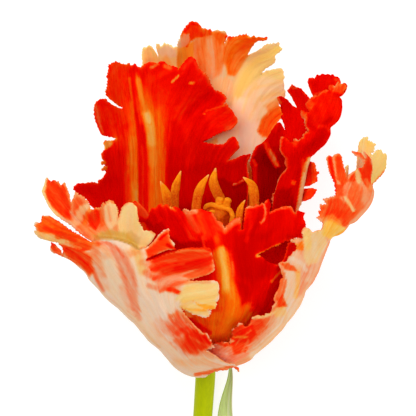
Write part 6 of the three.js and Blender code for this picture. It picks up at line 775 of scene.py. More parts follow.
            [-24.91, 85.66], [-25.24, 83.48], [-24.35, 85.66], [-23.75, 87.29], [-22.61, 88.37], [-21.5, 88.64], [-20.4, 88.5], [-19.58, 87.83], [-19.34, 86.21], [-19.1, 84.04],
            [-18.57, 82.69], [-18.02, 81.88], [-17.47, 81.07], [-16.63, 81.09], [-15.52, 80.96], [-14.97, 80.57], [-14.69, 80.03], [-15.25, 78.95], [-15.8, 78.13], [-16.65, 77.3],
            [-17.68, 76.12], [-19.01, 75.91], [-20.34, 76.27], [-21.95, 77.07], [-24.13, 77.87], [-26.33, 78.39], [-28.29, 78.5], [-30.84, 78.33], [-32.5, 78.39], [-34.19, 79.33],
            [-35.62, 80.42], [-38.16, 82.61], [-39.57, 83.43], [-41.27, 84.53], [-42.7, 85.63], [-44.14, 87.29], [-44.99, 88.67], [-45.58, 90.06], [-46.17, 91.72], [-45.87, 93.94],
        ],
        "pins": [
            [-45.57, 94.49, 59.45], [-41.18, 93.9, 63.45], [-41.88, 89.5, 60.95], [-44.71, 88.67, 59.95], [-40.69, 85.36, 62.45], [-38.29, 88.39, 65.95], [-36.51, 91.11, 68.45],
            [-34.37, 88.11, 67.45], [-35.65, 83.44, 63.95], [-32.73, 86.2, 67.45], [-31.25, 82.61, 63.95], [-28.77, 87.29, 70.45], [-26.5, 88.65, 72.95], [-25.25, 82.93, 69.95],
            [-27.8, 80.72, 67.45], [-22.07, 87.83, 75.45], [-19.91, 85.4, 75.45], [-21.69, 80.75, 70.45], [-15.25, 80.29, 78.45], [-16.64, 77.84, 76.45], [-18.35, 76.44, 72.95],
            [-20.6, 76.94, 70.45], [-24.49, 78.55, 68.45], [-28.69, 79.06, 65.95], [-32.23, 79.07, 66.45],
        ],
        "guides": [
            [0, [[-31.14, 78.25], [-34.55, 82.34], [-38.61, 87.29], [-43.54, 93.92]]],
            [5, [[-28.41, 78.24], [-31.53, 82.34], [-33.84, 86.74], [-36.24, 90.57]]],
            [10, [[-25.61, 77.99], [-27.22, 82.37], [-28.77, 87.29]]],
            [15, [[-22.28, 76.92], [-22.22, 81.85], [-21.52, 87.83]]],
            [20, [[-18.36, 76.16], [-16.64, 78.38], [-15.25, 80.29]]],
        ],
        "fill": [0.3, 0.4, 0, 0],
        "other": [0.3, 0.6, 1, 0],
        "marks": [
            # fourth value s: above zero is painted shade, below zero painted light
            ["P", [[-45.27, 95.04], [-41.75, 95], [-39.42, 93.05], [-37.7, 88.66], [-37.88, 82.89], [-40.7, 84.53], [-43.57, 87.29], [-45.3, 90.06]], 0, 0.57, 0.95, [0.78, 0.5, None, None]],
            ["L", [[-43.57, 92.27], [-41.87, 88.39], [-39.54, 85.09]], 0.57, 1.14, 0.5, [0.7, 0.7, None, None]],
            ["L", [[-41.19, 93.35], [-39.47, 89.49], [-38.67, 85.64]], 0.4, 0.85, 0.5, [0.88, 0.5, None, None]],
            ["L", [[-45.56, 95.32], [-46.17, 92], [-45.29, 89.23], [-43.99, 87.15], [-42.42, 85.77], [-41.27, 84.81]], 0.4, 0.46, 0.95, [0.04, 0.6, None, None]],
            ["L", [[-40.7, 83.98], [-39, 83.16], [-37.33, 82.34]], 0.8, 0.63, 0.95, [0.02, 0.4, 0.04, None]],
            ["P", [[-37.88, 83.44], [-37.4, 89.48], [-35.94, 91.11], [-33.75, 89.47], [-33.28, 86.74], [-33.99, 81.79], [-36.21, 81.79]], 0, 0.85, 0.85, [0.66, 0.4, None, None]],
            ["L", [[-37.8, 86.19], [-37.03, 83.71]], 0.4, 0.63, 0.7, [0.3, 0.3, None, None]],
            ["L", [[-36.48, 83.44], [-35.56, 85.92], [-34.1, 87.56]], 0.74, 0.91, 0.85, [0.1, 0.5, None, None]],
            ["L", [[-34.82, 81.79], [-33.49, 85.1], [-32.71, 86.74]], 0.28, 0.63, 0.8, [0.5, 0.9, None, None]],
            ["P", [[-37.05, 82.34], [-33.44, 82.34], [-32.23, 79.07], [-35.04, 79.33]], 0, 0.85, 0.8, [0.58, 0.3, None, None]],
            ["P", [[-33.29, 86.2], [-31.58, 87.02], [-29.92, 86.74], [-29.79, 83.45], [-31.21, 80.97], [-33.17, 82.34]], 0, 0.71, 0.9, [0.84, 0.5, None, None]],
            ["P", [[-29.89, 87.29], [-28.45, 88.65], [-27.69, 86.2], [-28.36, 82.91], [-30.09, 81.25]], 0, 0.71, 0.85, [0.5, 0.5, None, None]],
            ["P", [[-28.73, 88.38], [-27.03, 89.46], [-25.66, 88.65], [-24.89, 86.2], [-25.25, 82.93], [-27.23, 81.28], [-28.35, 83.46]], 0, 0.63, 0.9, [0.06, 0.45, None, -0.06]],
            ["L", [[-27.36, 87.83], [-26.91, 84.02]], 0.17, 0.51, 0.6, [0.34, 0.3, None, None]],
            ["L", [[-28.73, 88.51], [-27.03, 89.57], [-25.65, 88.92]], 0.23, 0.43, 0.8, [0.62, 0.5, None, None]],
            ["P", [[-24.96, 83.48], [-23.46, 87.83], [-20.94, 88.91], [-19.31, 87.83], [-18.84, 83.5], [-16.07, 81.36], [-14.42, 80.03], [-16.09, 77.04], [-20.61, 75.85], [-24.49, 78.55]], 0, 0.71, 0.92, [0.01, 0.6, None, -0.04]],
            # olive from the greenish pigment and shade s: painted shade at the foot of the ruffles
            ["P", [[-23.36, 80.2], [-21.12, 81.3], [-18.89, 79.15], [-19.48, 76.41], [-22.28, 76.92]], 0, 1.14, 0.8, [0.1, 0.9, 0.3, 0.1]],
            ["L", [[-21.52, 87.83], [-21.64, 82.94], [-20.03, 78.59]], 0.57, 1.14, 0.5, [0.02, 0.35, None, None]],
            # olive from the greenish pigment and shade s: painted shade along the crease under the ruffles
            ["P", [[-31.7, 79.61], [-27.8, 81.27], [-23.35, 80.74], [-19.47, 78.05], [-18.92, 75.6], [-24.5, 77.45], [-30.6, 78.24]], 0, 1.14, 0.9, [0.08, 0.9, 0.4, 0.08]],
            ["L", [[-31.15, 79.07], [-32.85, 80.7], [-35.1, 82.34]], 0.4, 0.85, 0.6, [0.35, 0.7, None, None]],
            ["L", [[-37.31, 80.82], [-35.61, 79.87], [-34.47, 79.33]], 0.34, 0.51, 0.8, [0.85, 0.4, None, None]],
        ],
    },
}
# Folds where two sheets of one tepal meet: sheets, rounding width, points (x, y, z).
FOLDS = {
    "E": (["E", "E_back"], [3.13, 3.13], [
            [-40.44, 73.72, 52.45], [-39.24, 72.95, 48.95], [-37.93, 71.93, 47.29], [-36.61, 70.62, 45.45], [-35.25, 69.46, 44.49], [-34.44, 68.31, 43.74], [-33.9, 67.16, 43.07],
            [-32.53, 65.71, 42.01], [-31.16, 64.25, 40.95], [-29.8, 62.5, 39.54], [-28.42, 61.03, 38.26], [-25.65, 58.65, 35.95], [-22.87, 55.67, 33.46], [-21.46, 54.47, 32.33],
            [-20.06, 52.67, 30.95], [-18.65, 50.87, 29.58], [-17.24, 49.07, 28.2], [-14.39, 46.62, 25.95], [-12.96, 44.8, 24.62], [-11.53, 42.97, 23.28], [-10.09, 41.13, 21.95],
            [-8.63, 39.91, 21.04], [-7.18, 38.97, 20.21], [-5.72, 38.34, 19.45], [-4.26, 38.02, 19.2], [-2.79, 37.86, 18.95], [-1.32, 38.02, 19.19], [0.13, 39.71, 35.45],
        ]),
    "E_up": (["E", "E_up"], [0, 1.42], [
            [-17.68, 76.12, 78.11], [-19.01, 75.91, 78.58], [-20.34, 76.27, 79.08], [-21.95, 77.07, 79.16], [-24.13, 77.87, 78.52], [-26.33, 78.39, 77.2], [-28.29, 78.5, 75.51],
            [-30.84, 78.33, 72.82],
        ]),
    "D": (["D", "D_back"], [2.85, 2.85], [
            [45.38, 92.53, 61.45], [45.93, 91.46, 57.45], [45.75, 90.07, 55.89], [45.06, 88.41, 53.84], [43.81, 86.73, 51.45], [42.2, 85.05, 50.31], [40.86, 83.64, 49.35],
            [39.22, 82.79, 48.45], [38.46, 81.65, 47], [37.56, 80.51, 45.45], [36.37, 79.79, 43.96], [35.03, 79.34, 42.45], [34.06, 78.34, 41.85], [33.4, 76.48, 40.99],
            [32.59, 74.19, 39.95], [30.97, 69.58, 37.99], [30.15, 67.85, 37.22], [29.32, 66.11, 36.45], [28.21, 64.65, 35.57], [27.38, 63.48, 34.88], [26.84, 61.73, 34],
            [26.02, 59.68, 32.95], [24.91, 57.9, 31.81], [23.79, 56.12, 30.68], [22.39, 54.34, 29.45], [20.99, 52.25, 28.16], [19.28, 50.45, 26.89], [17.57, 48.64, 25.62],
            [15.86, 47.12, 24.45], [14.13, 45.6, 23.46], [12.98, 44.69, 22.82], [12.11, 43.49, 22.19], [10.66, 42.56, 21.45], [8.92, 41.8, 20.87], [6, 40.86, 19.95],
            [3.66, 40.09, 19.45], [1.61, 39.77, 18.95],
        ]),
    "C": (["C", "C_flap"], [0, 4.56], [
            [38.01, 120.33, 39.86], [37.47, 119.5, 39.35], [36.95, 118.98, 38.32], [37.38, 117.72, 40.86], [37.58, 116.24, 42.45], [37.3, 114.54, 42.33], [36.76, 112.85, 41.96],
            [35.69, 111.48, 40.55], [34.37, 110.26, 38.63], [34.29, 108.36, 40.14], [33.77, 106.96, 39.1], [33, 105.58, 37.45], [31.67, 104.21, 35.24], [30.3, 103.09, 33.75],
            [29.16, 101.95, 33.5], [28.58, 100.51, 33.55], [27.88, 96.83, 29.63], [27.02, 93.36, 29.34], [27.02, 92.78, 29.46], [26.22, 88.74, 27.45], [25.41, 86.13, 25.92],
            [25.15, 83.22, 25.09], [24.11, 79.1, 21.33],
        ]),
    "F": (["F", "F_back"], [0, 0.85], [
            [-5.56, 48.93, 41.55], [-3.9, 44.66, 31.94], [-1.9, 42.17, 24.45], [0.14, 41.75, 22.45], [2.48, 41.98, 21.45], [5.65, 43.17, 26.45], [8.17, 46.53, 34.45],
        ]),
}

# tepal: its sheets, those facing down, those joined by overlap, thickness at the foot
TEPALS = {
    "tepal_outer_back": (["B"], [], [], 0.86),
    "tepal_outer_left": (["E", "E_up", "E_back"], ["E_back"], [], 0.8),
    "tepal_outer_right": (["D", "D_back"], ["D_back"], ["D_tips"], 0.8),
    "tepal_inner_left": (["A"], [], [], 0.8),
    "tepal_inner_right": (["C", "C_flap"], ["C_flap"], [], 0.75),
    "tepal_inner_front": (["F", "F_back"], ["F_back"], [], 0.75),
}
# height of the pleats at the rim and of the veins, mm
PLEATS = dict(B=(0.75, 0.09), A=(0.7, 0.10), C=(0.55, 0.08), C_flap=(0.55, 0.08), F=(0.55, 0.08), F_back=(0.1, 0.05),
              D=(0.6, 0.09), D_back=(0.15, 0.08), D_tips=(0.7, 0.08), E=(0.6, 0.09), E_back=(0.15, 0.08), E_up=(0.6, 0.08))
# size of the small teeth along the rim
TEETH = dict(E_back=0.35, D_back=0.35, F_back=0.3, B=0.9, C=0.7, F=0.8)
# long folds and grooves: points, half width, height, mm
RIDGES = {
    "A": [
        [[[-19.25, 82.22], [-19.5, 92.65], [-19.45, 100.06], [-19.7, 105.95], [-20.53, 111.51], [-21.38, 116.77], [-22.49, 121.39], [-23.29, 126.53]], 1, -0.35],
        [[[-16.88, 82.21], [-16.85, 92.66], [-16.78, 104.52], [-17.61, 111.85], [-19.03, 117.68], [-21.01, 123.42]], 1.14, 0.25],
        [[[-13, 88.19], [-12.38, 98.03], [-11.44, 105.72], [-9.32, 111.56], [-6.35, 115.66], [-2.51, 119.22], [1.03, 120.87]], 1.71, -0.55],
        [[[-22.47, 85.21], [-22.68, 96.18], [-23.18, 104.42], [-23.15, 111.76], [-24.53, 120.47]], 1.14, 0.2],
    ],
    "C_flap": [
        [[[28.25, 101.21], [27.16, 98.67], [26.65, 95.85], [26.14, 92.44], [25.64, 88.72]], 0.57, 0.35],
        [[[30.54, 110.11], [33.9, 110.94]], 1.14, -0.4],
    ],
    "F": [
        [[[1.98, 79.46], [3.65, 71.75], [4.51, 64.73], [4.84, 57.53]], 1.14, 0.3],
        [[[6.05, 78.63], [7.21, 70.33], [8.41, 61.84]], 1.42, -0.25],
        [[[-1.8, 79.73], [-1.26, 75.9]], 0.57, 0.3],
    ],
    "D": [
        [[[24.35, 72.97], [24.3, 66.71], [23.62, 61.54], [20.97, 55.74], [14.84, 49.36]], 1.14, 0.3],
        [[[30, 75.67], [26.35, 66.64], [21.96, 59.28]], 1.42, -0.25],
    ],
    "E": [
        [[[-27.73, 78.11], [-25.29, 74.33], [-23.29, 69.07], [-21.9, 63.09], [-19.89, 57.3]], 1.14, -0.35],
        [[[-21.96, 75.99], [-19.4, 69.96], [-17.43, 62.08]], 1.42, 0.3],
        [[[-26.36, 75.95], [-25.16, 66.15], [-21.56, 58.39]], 1.14, 0.2],
    ],
    "B": [
        [[[0.43, 139.13], [0.73, 130.86], [1.04, 119.32]], 1.14, 0.3],
        [[[6.66, 119.87], [7.24, 123.96], [10.15, 130.25]], 0.85, -0.35],
    ],
}


# --------------------------------------------------------------------- helpers
FOOT_AT = np.array([-1.3, 42.83, 13.65])   # where the tepals meet the stem, mm


def srgb(r, g, b):
    """sRGB 0..255 to linear"""
    f = lambda c: c / 12.92 if c <= 0.04045 else ((c + 0.055) / 1.055) ** 2.4
    return (f(r / 255), f(g / 255), f(b / 255), 1.0)


def smooth(t):
    t = np.clip(t, 0, 1)
    return t * t * (3 - 2 * t)


class Plate:
    """Thin-plate spline through points, for one or more values."""

    def __init__(self, at, values):
        at = np.asarray(at, float)
        values = np.asarray(values, float).reshape(len(at), -1)
        self.at = at
        n = len(at)
        a = np.zeros((n + 3, n + 3))
        a[:n, :n] = self.kernel(at)
        a[:n, n] = 1
        a[:n, n + 1:] = at
        a[n, :n] = 1
        a[n + 1:, :n] = at.T
        b = np.zeros((n + 3, values.shape[1]))
        b[:n] = values
        self.c = np.linalg.solve(a, b)

    def kernel(self, q):
        d = ((q[:, None, :] - self.at[None, :, :]) ** 2).sum(-1)
        return 0.5 * d * np.log(np.maximum(d, 1e-12))

    def __call__(self, q):
        q = np.atleast_2d(q)
        n = len(self.at)
        return self.kernel(q) @ self.c[:n] + self.c[n] + q @ self.c[n + 1:]


def nearest(line, q):
    """Distance from points q to a polyline, and the place on it."""
    line = np.asarray(line, float)
    a = line[:-1]
    ab = line[1:, :2] - a[:, :2]
    l = np.maximum((ab ** 2).sum(1), 1e-12)
    best = np.full(len(q), 1e9)
    at = np.zeros((len(q), line.shape[1]))
    for i in range(len(a)):
        t = np.clip(((q - a[i, :2]) @ ab[i]) / l[i], 0, 1)
        p = a[i] + t[:, None] * (line[i + 1] - a[i])
        d = np.hypot(*(q - p[:, :2]).T)
        m = d < best
        best[m] = d[m]
        at[m] = p[m]
    return best, at


def inside(ring, q):
    """Which points are inside a closed ring."""
    x, y = q[:, 0], q[:, 1]
    r = np.asarray(ring, float)
    out = np.zeros(len(q), bool)
    for a, b in zip(r, np.roll(r, -1, axis=0)):
        if a[1] == b[1]:
            continue
        m = (a[1] > y) != (b[1] > y)
        out ^= m & (x < (b[0] - a[0]) * (y - a[1]) / (b[1] - a[1]) + a[0])
    return out


def hermite(p0, p1, p2, p3, n):
    """n steps of a smooth curve from p1 to p2, without p2."""
    p0, p1, p2, p3 = (np.asarray(p, float)[:2] for p in (p0, p1, p2, p3))
    def tangent(a, b, c):
        d = c - a
        l, p, q = np.hypot(*d), np.hypot(*(b - a)), np.hypot(*(c - b))
        if min(l, p, q) < 1e-6:
            return d * 0
        turn = (b - a) @ (c - b) / (p * q)      # 1 straight on, -1 back again
        return d / l * min(p, q) * min(1.0, max(0.12, 0.55 + 0.75 * turn))
    m1, m2 = tangent(p0, p1, p2), tangent(p1, p2, p3)
    t = (np.arange(n) / n)[:, None]
    return (2 * t ** 3 - 3 * t ** 2 + 1) * p1 + (t ** 3 - 2 * t ** 2 + t) * m1 + (3 * t ** 2 - 2 * t ** 3) * p2 + (t ** 3 - t ** 2) * m2


def on_fold(name, p, q):
    """The fold that the outline edge p-q lies on, as its four curve points."""
    for fold, (sheets, _, line) in FOLDS.items():
        if name not in sheets:
            continue
        l = np.asarray(line, float)[:, :2]
        i = np.hypot(*(l - p[:2]).T)
        j = np.hypot(*(l - q[:2]).T)
        a, b = int(i.argmin()), int(j.argmin())
        if i[a] < 0.05 and j[b] < 0.05 and abs(a - b) == 1:
            before = l[a - (b - a)] if 0 <= a - (b - a) < len(l) else 2 * l[a] - l[b]
            after = l[b + (b - a)] if 0 <= b + (b - a) < len(l) else 2 * l[b] - l[a]
            return before, l[a], l[b], after
    return None


def fine_fold(line):
    """A fold with points as close together as those of the rims that meet on it."""
    l = np.asarray(line, float)
    out = []
    for a in range(len(l) - 1):
        before = l[a - 1] if a else 2 * l[0] - l[1]
        after = l[a + 2] if a + 2 < len(l) else 2 * l[-1] - l[-2]
        steps = max(1, int(math.ceil(np.hypot(*(l[a + 1] - l[a])[:2]) / EDGE)))
        out.append(np.c_[hermite(before, l[a], l[a + 1], after, steps), l[a, 2] + (l[a + 1, 2] - l[a, 2]) * np.arange(steps) / steps])
    return np.vstack(out + [l[-1:]])


FINE = {k: fine_fold(f[2]) for k, f in FOLDS.items()}


def outline(name):
    """Dense rim of a sheet, and which of its points lie on a fold."""
    raw = [np.asarray(p, float) for p in SHEETS[name]["outline"]]
    n = len(raw)
    pts, fold, along = [], [], 0.0
    r = np.array(raw)
    turned = 1.0 if (r[:, 0] * np.roll(r[:, 1], -1) - np.roll(r[:, 0], -1) * r[:, 1]).sum() > 0 else -1.0
    for i in range(n):
        p, q = raw[i], raw[(i + 1) % n]
        shared = on_fold(name, p, q)
        steps = max(1, int(math.ceil(np.hypot(*(q - p)) / EDGE)))
        if shared is not None:
            seg = hermite(*shared, steps)
        else:
            seg = hermite(raw[i - 1], p, q, raw[(i + 2) % n], steps)
            d = (q - p) / max(np.hypot(*(q - p)), 1e-6)
            out = turned * np.array([d[1], -d[0]])
            for k in range(1, len(seg)):
                # small teeth and nicks
                x, y = seg[k]
                along += np.hypot(*(seg[k] - seg[k - 1]))
                s = 0.12 * noise.noise(Vector((x * 0.9, y * 0.9, 3.1)))
                phase = along / 0.95 + 0.9 * noise.noise(Vector((along * 0.5, 1.3, 0.7)))
                tooth = 1 - 2 * abs(phase % 1 - 0.5) / 1.0
                size = 0.10 + 0.62 * max(0.0, 0.25 + noise.noise(Vector((x * 0.16, y * 0.16, 6.3))))
                seg[k] = seg[k] + out * (s + TEETH.get(name, 1.0) * size * (tooth - 0.45))
        pts.extend(seg)
        fold.extend([shared is not None] * len(seg))
    fold = [f or fold[i - 1] for i, f in enumerate(fold)]
    return np.array(pts), np.array(fold)


def height(name):
    pins = np.asarray(SHEETS[name]["pins"], float)
    f = Plate(pins[:, :2], pins[:, 2])

    def z(q):
        h = f(q)[:, 0]
        for key, (sheets, width, _) in FOLDS.items():
            if name not in sheets:
                continue
            d, at = nearest(FINE[key], q)
            if width[sheets.index(name)] > 0:
                t = np.clip(d / width[sheets.index(name)], 0, 1)
                h = at[:, 2] + (h - at[:, 2]) * np.sqrt(1 - (1 - t) ** 2)
            else:
                h = np.where(d < 0.02, at[:, 2], h)
        return np.maximum(h, FLOOR_Z)
    return z


def mesh_sheet(name):
    """Points (x, y) and triangles inside the outline of a sheet."""
    ring, fold = outline(name)
    lo, hi = ring.min(0), ring.max(0)
    rows = []
    grid = GRID * (0.55 if name.endswith("_back") else 1.0)     # steep sides
    h = grid * math.sqrt(3) / 2
    for k, y in enumerate(np.arange(lo[1], hi[1], h)):
        x = np.arange(lo[0] + (k % 2) * grid / 2, hi[0], grid)
        rows.append(np.c_[x, np.full(len(x), y)])
    q = np.vstack(rows)
    q = q[inside(ring, q)]
    rng = np.random.default_rng(sum(map(ord, name)))
    q = q + rng.uniform(-0.08, 0.08, q.shape) * grid
    closed = np.vstack([ring, ring[:1]])
    d, _ = nearest(closed, q)
    q = q[d > 0.5 * grid]
    extra = []
    for sheets, width, line in FOLDS.values():
        if name in sheets and width[sheets.index(name)] > 1.5:
            w = width[sheets.index(name)]
            n = len(ring)
            for i in range(n):
                if fold[i] and fold[(i + 1) % n]:
                    t = ring[(i + 1) % n] - ring[i - 1]
                    t = t / max(np.hypot(*t), 1e-9)
                    for f in (0.04, 0.11):
                        for s in (1, -1):
                            extra.append(ring[i] + s * f * w * np.array([-t[1], t[0]]))
    if extra:
        e = np.array(extra)
        e = e[inside(ring, e)]
        d, _ = nearest(closed, e)
        e = e[d > 0.06]
        keep = []
        cells = {}
        for k, p in enumerate(e):
            c = (int(p[0] / 0.12), int(p[1] / 0.12))
            if all(cells.get((c[0] + a, c[1] + b)) is None for a in (-1, 0, 1) for b in (-1, 0, 1)):
                cells[c] = k
                keep.append(k)
        e = e[keep]
        if len(e):
            dd = np.array([np.hypot(*(q - p).T).min() if len(q) else 9 for p in e])
            q = np.vstack([q, e[dd > 0.15]])
    pts = np.vstack([ring, q])
    n = len(ring)
    edges = [(i, (i + 1) % n) for i in range(n)]
    out, _, faces, orig, *_ = delaunay_2d_cdt([Vector(p) for p in pts], edges, [], 1, 1e-6)
    xy = np.array([[v.x, v.y] for v in out])
    isrim = np.array([any(o < n for o in group) for group in orig]) if orig else np.zeros(len(xy), bool)
    tris = [tuple(f) for f in faces]
    area = lambda f: np.cross(xy[f[1]] - xy[f[0]], xy[f[2]] - xy[f[0]])
    tris = [f if area(f) > 0 else (f[0], f[2], f[1]) for f in tris if abs(area(f)) > 1e-9]
    return xy, tris, closed


def veins(name, xy):
    """Coordinates along (u) and across (v) the veins, in mm."""
    at, uv = [], []
    for v, pts in SHEETS[name]["guides"]:
        p = np.asarray(pts, float)
        s = np.r_[0, np.cumsum(np.hypot(*np.diff(p, axis=0).T))]
        for a, u in zip(p, s):
            at.append(a)
            uv.append((u, v))
    at, uv = np.array(at), np.array(uv, float)
    keep = [i for i in range(len(at)) if all(np.hypot(*(at[i] - at[j])) > 0.9 for j in range(i))]
    return Plate(at[keep], uv[keep])(xy)


def paint(name, xy, uv):
    """Pigments r, y, g and painted shade s (below zero painted light) of points on a sheet."""
    c = np.tile(np.array(SHEETS[name]["fill"], float), (len(xy), 1))
    wob = np.array([noise.noise(Vector((u * 0.10, v * 0.9, 1.7))) + 0.6 * noise.noise(Vector((u * 0.25, v * 2.4, 5.2))) for u, v in uv])
    for kind, pts, w, f, k, to in SHEETS[name]["marks"]:
        p = np.asarray(pts, float)
        lo, hi = p.min(0) - w - f - 1, p.max(0) + w + f + 1
        m = np.flatnonzero(((xy > lo) & (xy < hi)).all(1))
        if not len(m):
            continue
        q = xy[m]
        if kind == "P":
            d, _ = nearest(np.vstack([p, p[:1]]), q)
            d = np.where(inside(p, q), -d, d) + 0.5 * f
        else:
            d, _ = nearest(p, q)
            d = d - w
        d = d + wob[m] * f * (0.45 if kind == "P" or w > 0.7 else 0.2)
        a = k * smooth(1 - d / max(f, 1e-3))
        for i, value in enumerate(to):
            if value is not None:
                c[m, i] += a * (value - c[m, i])
    return c


def other_side(name, c, uv):
    """Pigments of the side that the markings weren't drawn for."""
    a, b, yy, keel = SHEETS[name]["other"]
    o = c.copy()
    o[:, 0] = a + b * c[:, 0]
    o[:, 1] = c[:, 1] * yy
    # the painted shade and light carry over to this side at 0.3 of their strength
    o[:, 3] = c[:, 3] * 0.3
    if keel:
        k = np.exp(-(uv[:, 1] / 2.6) ** 2) * smooth((110 - uv[:, 0]) / 60)
        o[:, 0] *= 1 - 0.85 * k
        o[:, 2] = np.maximum(o[:, 2], 0.35 * k * smooth((45 - uv[:, 0]) / 40))
        foot = smooth((22 - uv[:, 0]) / 22)
        o[:, 0] *= 1 - 0.7 * foot
        o[:, 2] = np.maximum(o[:, 2], 0.4 * foot)
    return o


def new_object(name, verts, faces, material, points=None, autosmooth=None):
    me = bpy.data.meshes.new(name)
    me.from_pydata([tuple(v) for v in np.asarray(verts) * MM], [], [tuple(int(i) for i in f) for f in faces])
    me.validate()
    me.polygons.foreach_set("use_smooth", [True] * len(me.polygons))
    for key, values in (points or {}).items():
        a = me.attributes.new(key, "FLOAT_VECTOR", "POINT")
        a.data.foreach_set("vector", np.asarray(values, np.float32).ravel())
    me.materials.append(material)
    me.update()
    o = bpy.data.objects.new(name, me)
    bpy.context.scene.collection.objects.link(o)
    return o


# ------------------------------------------------------------------- materials
def material(name):
    m = bpy.data.materials.new(name)
    m.use_nodes = True
    t = m.node_tree
    t.nodes.clear()
    out = t.nodes.new("ShaderNodeOutputMaterial")
    b = t.nodes.new("ShaderNodeBsdfPrincipled")
    t.links.new(b.outputs[0], out.inputs[0])
    return m, t, b


class Graph:
    def __init__(self, tree):
        self.t = tree

    def node(self, kind, **props):
        n = self.t.nodes.new(kind)
        for k, v in props.items():
            setattr(n, k, v)
        return n

    def put(self, socket, value):
        if isinstance(value, bpy.types.NodeSocket):
            self.t.links.new(value, socket)
        else:
            socket.default_value = value

    def attribute(self, name):
        return self.node("ShaderNodeAttribute", attribute_name=name).outputs["Vector"]

    def split(self, v):
        n = self.node("ShaderNodeSeparateXYZ")
        self.put(n.inputs[0], v)
        return n.outputs

    def math(self, op, a, b=0.0, c=None, clamp=False):
        n = self.node("ShaderNodeMath", operation=op, use_clamp=clamp)
        self.put(n.inputs[0], a)
        self.put(n.inputs[1], b)
        if c is not None:
            self.put(n.inputs[2], c)
        return n.outputs[0]

    def scale(self, v, by):
        n = self.node("ShaderNodeVectorMath", operation="MULTIPLY")
        self.put(n.inputs[0], v)
        n.inputs[1].default_value = by
        return n.outputs[0]

    def noise(self, v, scale, detail=2.0, rough=0.5, distort=0.0):
        n = self.node("ShaderNodeTexNoise")
        self.put(n.inputs["Vector"], v)
        n.inputs["Scale"].default_value = scale
        n.inputs["Detail"].default_value = detail
        n.inputs["Roughness"].default_value = rough
        n.inputs["Distortion"].default_value = distort
        return n.outputs[0]

    def ramp(self, f, stops):
        n = self.node("ShaderNodeValToRGB")
        e = n.color_ramp.elements
        while len(e) < len(stops):
            e.new(0.5)
        for i, (p, c) in enumerate(stops):
            e[i].position = p
            e[i].color = c
        self.put(n.inputs[0], f)
        return n.outputs[0]

    def mix(self, f, a, b, blend="MIX"):
        n = self.node("ShaderNodeMix", data_type="RGBA", blend_type=blend)
        self.put(n.inputs[0], f)
        self.put(n.inputs[6], a)
        self.put(n.inputs[7], b)
        return n.outputs[2]

    def bump(self, h, strength, distance, normal=None):
        n = self.node("ShaderNodeBump")
        n.inputs["Strength"].default_value = strength
        n.inputs["Distance"].default_value = distance
        self.put(n.inputs["Height"], h)
        if normal is not None:
            self.put(n.inputs["Normal"], normal)
        return n.outputs[0]


# red pigment over yellow tissue, and over white tissue
OVER_YELLOW = [(0.0, srgb(240, 208, 104)), (0.2, srgb(246, 160, 44)), (0.4, srgb(249, 112, 6)), (0.56, srgb(250, 62, 2)),
               (0.70, srgb(248, 18, 0)), (0.80, srgb(226, 4, 0)), (0.90, srgb(186, 0, 0)), (1.0, srgb(128, 0, 0))]
OVER_WHITE = [(0.0, srgb(232, 205, 182)), (0.1, srgb(232, 182, 152)), (0.2, srgb(234, 152, 114)), (0.4, srgb(240, 98, 54)), (0.56, srgb(244, 54, 18)),
              (0.70, srgb(244, 16, 3)), (0.80, srgb(226, 4, 0)), (0.90, srgb(186, 0, 0)), (1.0, srgb(128, 0, 0))]


